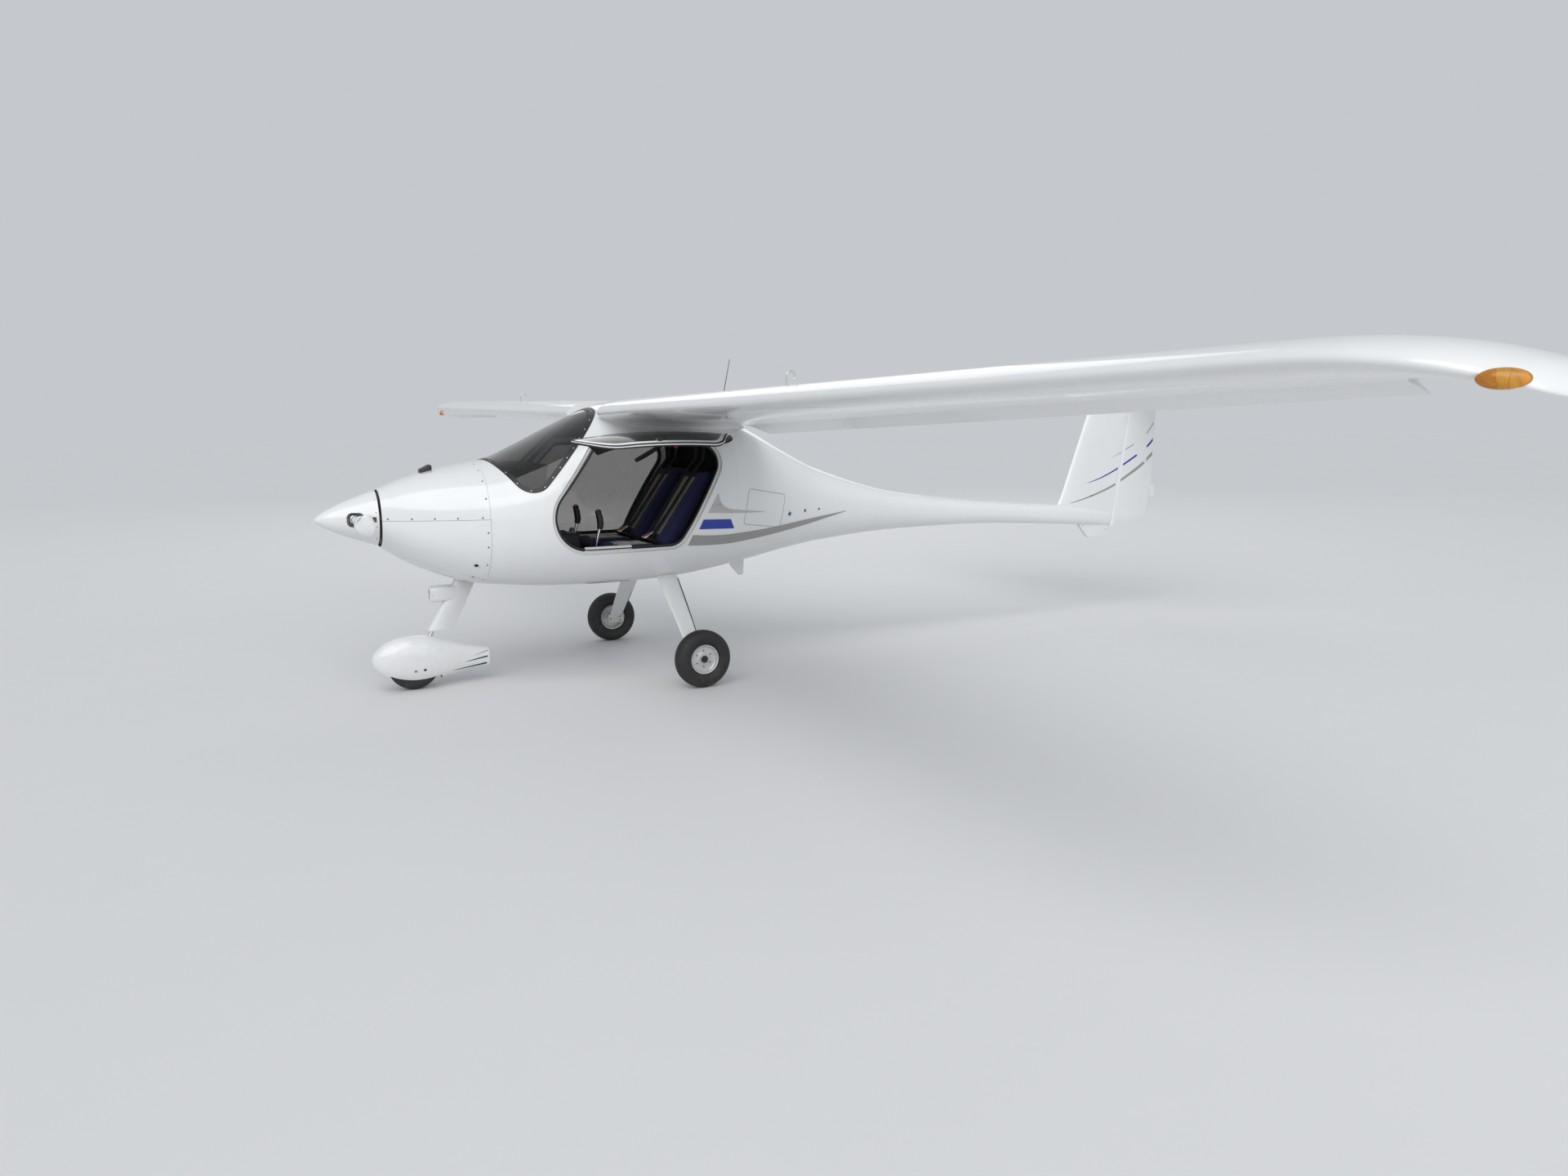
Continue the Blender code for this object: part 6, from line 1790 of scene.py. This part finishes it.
def seats():
    """Two seats of navy cushions with beige inserts, black shells and four-point harnesses."""
    first = {}
    for side, hand in HANDS:
        for part, outline, half, material, cap, bevel in PADS:
            name = f"seat_{part}_{hand}"
            if part in first:
                made = bpy.data.objects.new(name, first[part].data.copy())
                bpy.context.scene.collection.objects.link(made)
                shift = SEAT_Y * (side - LEFT)
            else:
                made = cushion(name, [(at(s), z) for s, z in outline], -half, half, material, cap, bevel)
                first[part] = made
                shift = SEAT_Y * side
            moved(made, Matrix.Translation((0, shift, 0)))
            if part == "pan":
                on_body(made, "airframe", [f"seat_cushion_{hand}"])
            else:
                on_body(made, "airframe")
        seat_shell(side, hand)
        harness(side, hand)


def seat_shell(side, hand):
    """The seat's thin moulded shell with a rolled rim, on four posts."""
    line = ((1.600, 0.700), (1.612, 0.722), (1.640, 0.727), (1.800, 0.719), (1.940, 0.711), (1.962, 0.722),
            (2.030, 0.826), (2.150, 1.016), (2.268, 1.208), (2.284, 1.215), (2.292, 1.203))
    path = smooth_path([(at(s), side * SEAT_Y, z) for s, z in line], 5)
    outer = [(0.160, -0.001), (0.174, 0.004), (0.180, 0.014)]
    inner = [(0.177, 0.015), (0.171, 0.007), (0.158, 0.003)]
    section = [(-a, b) for a, b in outer[::-1]] + outer + inner + [(-a, b) for a, b in inner[::-1]]
    parts = [swept(f"seat_shell_{hand}", path, section, BLACK, False, (0, 0, 1), 40)]
    for station in (1.66, 1.90):
        for y in (side * SEAT_Y - 0.13, side * SEAT_Y + 0.13):
            corners = ((at(station), y - 0.012, 0.6585), (at(station + 0.03), y + 0.012, 0.712))
            parts.append(block("post", *corners, BLACK, 0.003))
    on_body(merged(f"seat_shell_set_{hand}", parts), "airframe", [f"seat_base_{hand}"])


# One shoulder strap down the seat's back, its head over the beam, and a lap strap: station, z, distance out
SHOULDER = ((2.170, 1.205, 0.062), (2.10, 1.105, 0.058), (2.03, 0.99, 0.052), (1.955, 0.875, 0.040),
            (1.895, 0.815, 0.020))
STRAP_HEAD = ((2.225, 1.452, 0.056), (2.235, 1.390, 0.058), (2.225, 1.300, 0.060))
LAP = ((1.945, 0.760, 0.165), (1.90, 0.800, 0.140), (1.865, 0.822, 0.080), (1.860, 0.828, 0.020))


def harness(side, hand):
    """Shoulder straps from the beam, lap straps and the buckle."""
    back = bpy.data.objects[f"seat_back_{hand}"]
    y = side * SEAT_Y
    parts = []
    for lean in (-1, 1):
        down, head, lap = (
            [Vector((at(s), y + lean * out, z)) for s, z, out in line] for line in (SHOULDER, STRAP_HEAD, LAP)
        )
        spots, normals = laid(smooth_path(laid(down, back, 0.0)[0], 6), back, 0.020)
        facing = [Vector((-1, 0, 0.1))] * len(head) + normals
        parts.append(strap("shoulder", head + spots, 0.045, None, facing))
        parts.append(strap("lap", smooth_path(lap, 6), 0.045))
    on_body(merged(f"harness_straps_{hand}", parts), "airframe")
    buckle = [
        block("buckle", (-0.022, -0.028, -0.008), (0.022, 0.028, 0.008), STEEL, 0.005),
        block("release", (-0.012, -0.016, 0.006), (0.012, 0.016, 0.012), RED, 0.003),
        block("tongue", (0.016, -0.018, -0.003), (0.060, 0.018, 0.003), STEEL, 0.002),
    ]
    home = Matrix.Translation((at(1.858), y, 0.836)) @ Matrix.Rotation(math.radians(-28), 4, "Y")
    on_body(moved(merged(f"harness_buckle_{hand}", buckle), home), "airframe")


def grip_rings(path, radius, ribs):
    """A hand grip along a path: a swelling tube with raised finger rings."""
    rings = []
    path = smooth_path(path, 8)
    for i, point in enumerate(path):
        share = i / (len(path) - 1)
        swell = radius * (0.86 + 0.14 * math.sin(math.pi * share))
        swell += 0.0012 * math.sin(math.tau * ribs * share)
        if share < 0.04 or share > 0.96:
            swell *= 0.8
        forward = (path[min(i + 1, len(path) - 1)] - path[max(i - 1, 0)]).normalized()
        side = forward.cross(Vector((0, 1, 0))).normalized()
        top = side.cross(forward)
        rings.append([point + side * a * swell + top * b * swell * 0.88 for a, b in circle(1.0, 24)])
    return rings


def in_plane(line, y):
    """Points given as (station, z), in an upright plane at a distance out."""
    return [(at(station), y, z) for station, z in line]


def controls():
    """Control sticks, flap lever, pedals, console levers and red tags."""
    rod = ((1.530, 0.690), (1.536, 0.760), (1.550, 0.850), (1.566, 0.902))
    grip = ((1.564, 0.896), (1.570, 0.925), (1.566, 0.965), (1.556, 1.012))
    button = [(0.0, 0.0), (0.0, 0.006), (0.007, 0.005), (0.008, 0.0)]
    boot = [(0.0, 0.0), (0.0, 0.030), (0.006, 0.030), (0.010, 0.024), (0.016, 0.026), (0.022, 0.019),
            (0.028, 0.021), (0.034, 0.013), (0.042, 0.0095), (0.042, 0.0)]
    for side, hand in HANDS:
        y = side * SEAT_Y
        parts = [
            pipe("tube", smooth_path(in_plane(rod, y), 6), 0.009, STEEL, count=20),
            loft("grip", grip_rings(in_plane(grip, y), 0.0200, 6), BLACK, 50),
            turned("button", button, (at(1.5555), y, 1.010), RED, "Z", 20),
            turned("boot", boot, (at(1.530), y, 0.6585), SEAL, "Z", 32),
            pin("knuckle", -0.011, 0.011, 0.012, (at(1.533), y, 0.715), STEEL),
        ]
        on_body(merged(f"stick_{hand}", parts, 40), "airframe", [f"control_stick_{hand}"])
        pedal_set(side, hand)
    lever = in_plane(((2.208, 1.474), (2.12, 1.420), (2.05, 1.376)), 0)
    handle = in_plane(((2.07, 1.389), (2.0, 1.348), (1.94, 1.316), (1.887, 1.290)), 0)
    parts = [
        pipe("lever", smooth_path(lever, 6), 0.008, STEEL, count=20),
        loft("grip", grip_rings(handle, 0.0145, 9), BLACK, 50),
        block("bracket", (at(2.185), -0.019, 1.458), (at(2.2146), 0.019, 1.492), BLACK, 0.004),
    ]
    on_body(merged("flap_lever_set", parts, 40), "airframe", ["flap_lever"])
    tags()
    console()


def pedal_set(side, hand):
    """Two rudder pedals with their arms on one shaft."""
    parts = []

    def bar(name, station, z, middle, half, radius, material):
        ends = [(at(station), middle + reach, z) for reach in (-half, half)]
        parts.append(pipe(name, ends, radius, material, count=16))

    for lean in (-0.07, 0.07):
        y = side * SEAT_Y + lean
        arm = in_plane(((1.06, 0.668), (1.05, 0.720), (1.045, 0.780)), y)
        parts.append(pipe("arm", smooth_path(arm, 5), 0.007, BLACK, count=14))
        bar("bar", 1.048, 0.785, y, 0.035, 0.010, BLACK)
    bar("shaft", 1.062, 0.669, side * SEAT_Y, 0.11, 0.009, ALLOY)
    on_body(merged(f"pedals_{hand}", parts), "airframe")


def tags():
    """Red ribbon tags: one on the safety pin by the flap lever and one by the left footwell."""
    # Station, y, z down each ribbon
    by_lever = ((2.150, -0.030, 1.452), (2.146, -0.034, 1.43), (2.154, -0.036, 1.40), (2.148, -0.034, 1.365))
    by_foot = ((1.255, -0.440, 0.840), (1.258, -0.442, 0.815), (1.262, -0.440, 0.79), (1.260, -0.438, 0.755))
    loop = [(at(2.150) + x, -0.030, 1.458 + z) for z, x in circle(0.008, 16)]
    upper, lower = (smooth_path([(at(s), y, z) for s, y, z in line], 5) for line in (by_lever, by_foot))
    parts = [
        strap("ribbon", upper, 0.026, RED, (0.3, 1, 0)),
        pipe("ring", loop, 0.0012, STEEL, True, 8, (0, 1, 0)),
        strap("ribbon", lower, 0.024, RED, (0.6, 1, 0)),
        block("toggle", (at(1.248), -0.450, 0.838), (at(1.266), -0.432, 0.862), JAMB, 0.004),
    ]
    on_body(merged("red_tags", parts), "airframe")


def console():
    """The console's top with its throttle, choke and trim wheel."""
    parts = [block("console", (at(1.17), -0.055, 0.6583), (at(1.50), 0.055, 0.8598), BLACK, 0.014)]
    knob = [(-0.012, 0.0), (-0.012, 0.009), (-0.006, 0.013), (0.006, 0.013), (0.012, 0.009), (0.012, 0.0)]
    for y, tall, tint in ((-0.022, 0.070, BLACK), (0.022, 0.052, RED)):
        rod = in_plane(((1.27, 0.856), (1.262, 0.856 + tall)), y)
        parts.append(pipe("rod", rod, 0.0045, STEEL, count=14))
        parts.append(turned("knob", knob, (at(1.261), y, 0.862 + tall), tint, "Y", 24))
    rim = [(-0.006, 0.0), (-0.006, 0.032), (-0.003, 0.036), (0.003, 0.036), (0.006, 0.032), (0.006, 0.0)]
    parts.append(turned("trim_wheel", rim, (at(1.40), 0.0, 0.846), BLACK, "Y", 40))
    on_body(merged("console_set", parts), "airframe", ["centre_console"])


PANEL_FOOT, PANEL_HEAD = (1.165, 1.000), (1.195, 1.235)


def panel_place(y, share, proud=0.0):
    """A place on the instrument board: X starboard, Y up the board and Z out of it."""
    up = Vector((PANEL_HEAD[0] - PANEL_FOOT[0], 0, PANEL_HEAD[1] - PANEL_FOOT[1])).normalized()
    out = Vector((up.z, 0, -up.x))
    home = Matrix((up.cross(out), up, out)).transposed().to_4x4()
    low, high = Vector((at(PANEL_FOOT[0]), y, PANEL_FOOT[1])), Vector((at(PANEL_HEAD[0]), y, PANEL_HEAD[1]))
    home.translation = low.lerp(high, share) + out * proud
    return home


def gauge(y, share, radius):
    """A round instrument: bezel, recessed dial with marks and a hand."""
    bezel = [(-0.002, 0.0), (-0.002, radius), (0.007, radius), (0.009, radius * 0.96), (0.009, radius * 0.86),
             (0.003, radius * 0.82), (0.003, 0.0)]
    boss = [(0.003, 0.0), (0.003, 0.004), (0.0058, 0.0035), (0.0058, 0.0)]
    parts = [turned("bezel", bezel, (0, 0, 0), BLACK, "Z", 40)]
    for k in range(11):
        mark = block("mark", (radius * 0.62, -0.0009, 0.0031), (radius * 0.76, 0.0009, 0.0037), DIAL_WHITE)
        parts.append(moved(mark, Matrix.Rotation(math.radians(225 - 27 * k), 4, "Z")))
    low, high = (-radius * 0.12, -0.0011, 0.0040), (radius * 0.60, 0.0011, 0.0048)
    hand = block("hand", low, high, DIAL_WHITE, 0.0004, 1)
    parts.append(moved(hand, Matrix.Rotation(math.radians(228 - 60 * share), 4, "Z")))
    parts.append(turned("boss", boss, (0, 0, 0), BLACK, "Z", 16))
    return moved(merged("gauge", parts), panel_place(y, share))


# Round instruments: distance out, share of the board's height, radius
GAUGES = (
    (-0.330, 0.62, 0.040), (-0.240, 0.62, 0.040), (-0.330, 0.24, 0.029), (-0.255, 0.24, 0.029),
    (-0.185, 0.24, 0.029), (0.235, 0.62, 0.040), (0.325, 0.62, 0.040), (0.325, 0.24, 0.029),
)
# The board and the shield above it in side view: station, z
BOARD = ((1.120, 1.000), (1.165, 1.000), (1.195, 1.235), (1.215, 1.290), (1.06, 1.290), (1.06, 1.270),
         (1.155, 1.235))
SHIELD_LINE = ((0.90, 1.262), (0.90, 1.270), (1.06, 1.2995), (1.200, 1.2995), (1.222, 1.294), (1.226, 1.286),
               (1.216, 1.284), (1.214, 1.2905), (1.06, 1.2905))


def panel():
    """Instrument board with round gauges, a display, switches, and the shield above it."""
    board = prism("board", [(at(a), b) for a, b in BOARD], -0.46, 0.46, BLACK, bevel=0.003)
    room = hull_loft("room", steps_between(0.88, 1.4, 20), SKIN + 0.004)
    cut(board, room, operation="INTERSECT", keep=True)
    outline = [(at(a), b) for a, b in SHIELD_LINE]
    shield = prism("shield", outline, -0.46, 0.46, SHIELD, bevel=0.0015, segments=1)
    on_body(cut(shield, room, operation="INTERSECT"), "airframe")
    parts = [board] + [gauge(*row) for row in GAUGES]
    display = (
        block("screen_frame", (-0.105, -0.066, -0.001), (0.105, 0.066, 0.010), BLACK, 0.004),
        block("screen", (-0.092, -0.053, 0.0095), (0.092, 0.053, 0.0108), SCREEN_GLASS, 0.0004, 1),
    )
    parts += [moved(part, panel_place(-0.040, 0.58)) for part in display]
    radio = [
        block("radio", (-0.060, -0.020, -0.001), (0.060, 0.020, 0.012), BLACK, 0.003),
        block("window", (-0.030, -0.012, 0.0115), (0.030, 0.012, 0.0126), SCREEN_GLASS, 0.0004, 1),
    ]
    knob = [(0.010, 0.0), (0.010, 0.008), (0.024, 0.0072), (0.025, 0.0)]
    radio += [turned("knob", knob, (spot, 0, 0), BLACK, "Z", 24) for spot in (-0.046, 0.046)]
    parts += [moved(part, panel_place(0.140, 0.72)) for part in radio]
    for k in range(9):
        rocker = block("rocker", (-0.008, -0.011, -0.001), (0.008, 0.011, 0.007), BLACK if k else RED, 0.002)
        tilt = Matrix.Rotation(math.radians(9), 4, "X")
        parts.append(moved(rocker, panel_place(-0.095 + 0.034 * k, 0.15) @ tilt))
    on_body(merged("instrument_board", parts), "airframe", ["instrument_panel"])


def lining():
    """Black lining on the cabin's inside, and dressed floor, bulkheads and beam."""
    stations = steps_between(0.93, CABIN_END - 0.014, 44)
    liner = hull_shell("cabin_liner", stations, 0.0028, CARPET, -SKIN - 0.0006)
    for corners, growth in ((DOOR_OUTLINE, 0.017), (SCREEN_OUTLINE, 0.012)):
        cut(liner, prism("hole", rounded(inset(on_side(corners), -growth), 16), -THROUGH, THROUGH))
    front, rear, half = SKYLIGHT
    corners = ((at(front - 0.012), -half - 0.012, ROOF[0]), (at(rear + 0.012), half + 0.012, ROOF[1]))
    cut(liner, block("roof_hole", *corners))
    on_body(liner, "airframe")
    for node, material in (("cabin_floor", CARPET), ("rear_bulkhead", CARPET), ("spar_beam", BLACK),
                           ("firewall", ALLOY), ("engine_block", ENGINE)):
        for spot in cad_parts[node].material_slots:
            spot.material = material


# Small outside pieces


def aerials():
    """Whip on the cabin's back, blade under the belly."""
    rings = []
    foot, head = Vector((at(2.470), 0, 1.556)), Vector((at(2.550), 0, 1.9236))
    for share in steps_between(0, 1, 12):
        spot = foot.lerp(head, share)
        rings.append([spot + Vector((a, b, 0)) for a, b in circle(0.0032 * (1 - 0.45 * share))])
    spring = [(0.0, 0.0), (0.0, 0.009), (0.012, 0.008), (0.018, 0.005), (0.030, 0.0045), (0.032, 0.0)]
    base = [(-0.012, 0.0), (-0.012, 0.021), (0.003, 0.021), (0.006, 0.016), (0.008, 0.0)]
    parts = [
        loft("whip", rings, BLACK, 60), turned("spring", spring, (at(2.4715), 0, 1.562), STEEL, "Z", 24),
        turned("foot", base, (at(2.4705), 0, hull_measures(2.47)[2]), BLACK, "Z", 32),
    ]
    on_body(merged("whip_set", parts, 40), "airframe", ["whip_aerial"])
    corners = ((2.502, 0.66, 0), (2.532, 0.58, 0.03), (2.590, 0.515, 0.012), (2.622, 0.515, 0.012),
               (2.632, 0.66, 0))
    outline = rounded(on_side(corners), 6)
    blade = prism("belly_blade", outline, -0.006, 0.006, WHITE, bevel=0.0045, segments=3)
    form = hull_loft("belly_form", steps_between(2.3603, 2.8, 14), -0.0004)
    on_body(cut(blade, form), "airframe", ["belly_aerial"])


# Floor, light and camera


def studio():
    """A pale floor under soft, plain light."""
    bm = bmesh.new()
    bmesh.ops.create_circle(bm, cap_ends=True, segments=96, radius=70.0)
    as_object("studio_floor", bm, finish(
        "studio_floor", (0.70, 0.70, 0.70), 0.75, second=(0.685, 0.685, 0.685), scale=0.6, share=0.5,
        grain=0.04, grain_scale=40.0,
    ))
    for name, kind, place, size, power in (
        ("key", "SUN", (-5.0, -6.0, 8.5), math.radians(60.0), 1.55),
        ("fill", "AREA", (-2.0, -11.0, 5.0), 9.0, 200.0),
        ("back", "AREA", (4.0, 9.5, 8.0), 9.0, 180.0),
    ):
        lamp = bpy.data.lights.new(name, kind)
        if kind == "SUN":
            lamp.angle = size
        else:
            lamp.size = size
        lamp.energy = power
        holder = bpy.data.objects.new(name, lamp)
        holder.location = place
        aim = Vector((-0.5, 0, 0.8)) - Vector(place)
        holder.rotation_euler = aim.to_track_quat("-Z", "Y").to_euler()
        bpy.context.scene.collection.objects.link(holder)
    world = bpy.data.worlds.new("studio_world")
    bpy.context.scene.world = world
    world.use_nodes = True
    tree = world.node_tree
    light = tree.nodes["Background"]
    light.inputs["Color"].default_value = (0.88, 0.93, 1.0, 1.0)
    light.inputs["Strength"].default_value = 0.50
    shown = tree.nodes.new("ShaderNodeBackground")
    shown.inputs["Color"].default_value = (0.56, 0.58, 0.605, 1.0)
    rays = tree.nodes.new("ShaderNodeLightPath")
    seen = maths(tree, "MAXIMUM", rays.outputs["Is Camera Ray"], rays.outputs["Is Glossy Ray"])
    seen = maths(tree, "MAXIMUM", seen, rays.outputs["Is Transmission Ray"])
    mix = tree.nodes.new("ShaderNodeMixShader")
    tree.links.new(seen, mix.inputs[0])
    tree.links.new(light.outputs[0], mix.inputs[1])
    tree.links.new(shown.outputs[0], mix.inputs[2])
    tree.links.new(mix.outputs[0], tree.nodes["World Output"].inputs["Surface"])
    bpy.context.scene.view_settings.view_transform = "Standard"


def camera():
    """The photograph's viewpoint."""
    lens = bpy.data.cameras.new("photo_camera")
    lens.lens = CAMERA_LENS
    lens.sensor_width = 36.0
    lens.clip_end = 300.0
    forward = Vector((
        math.sin(CAMERA_YAW) * math.cos(CAMERA_PITCH), math.cos(CAMERA_YAW) * math.cos(CAMERA_PITCH),
        -math.sin(CAMERA_PITCH),
    ))
    level = Vector((math.cos(CAMERA_YAW), -math.sin(CAMERA_YAW), 0))
    above = level.cross(forward)
    c, s = math.cos(CAMERA_ROLL), math.sin(CAMERA_ROLL)
    right, up = level * c + above * s, above * c - level * s
    place = Matrix((right, up, -forward)).transposed().to_4x4()
    place.translation = CAMERA_PLACE
    holder = bpy.data.objects.new("photo_camera", lens)
    holder.matrix_world = place
    bpy.context.scene.collection.objects.link(holder)
    bpy.context.scene.camera = holder


camera()
studio()
cabin()
tail_boom()
cowling()
propeller()
wings()
fin()
rudder()
tailplane()
doors()
main_gear()
nose_gear()
lining()
seats()
controls()
panel()
livery()
aerials()
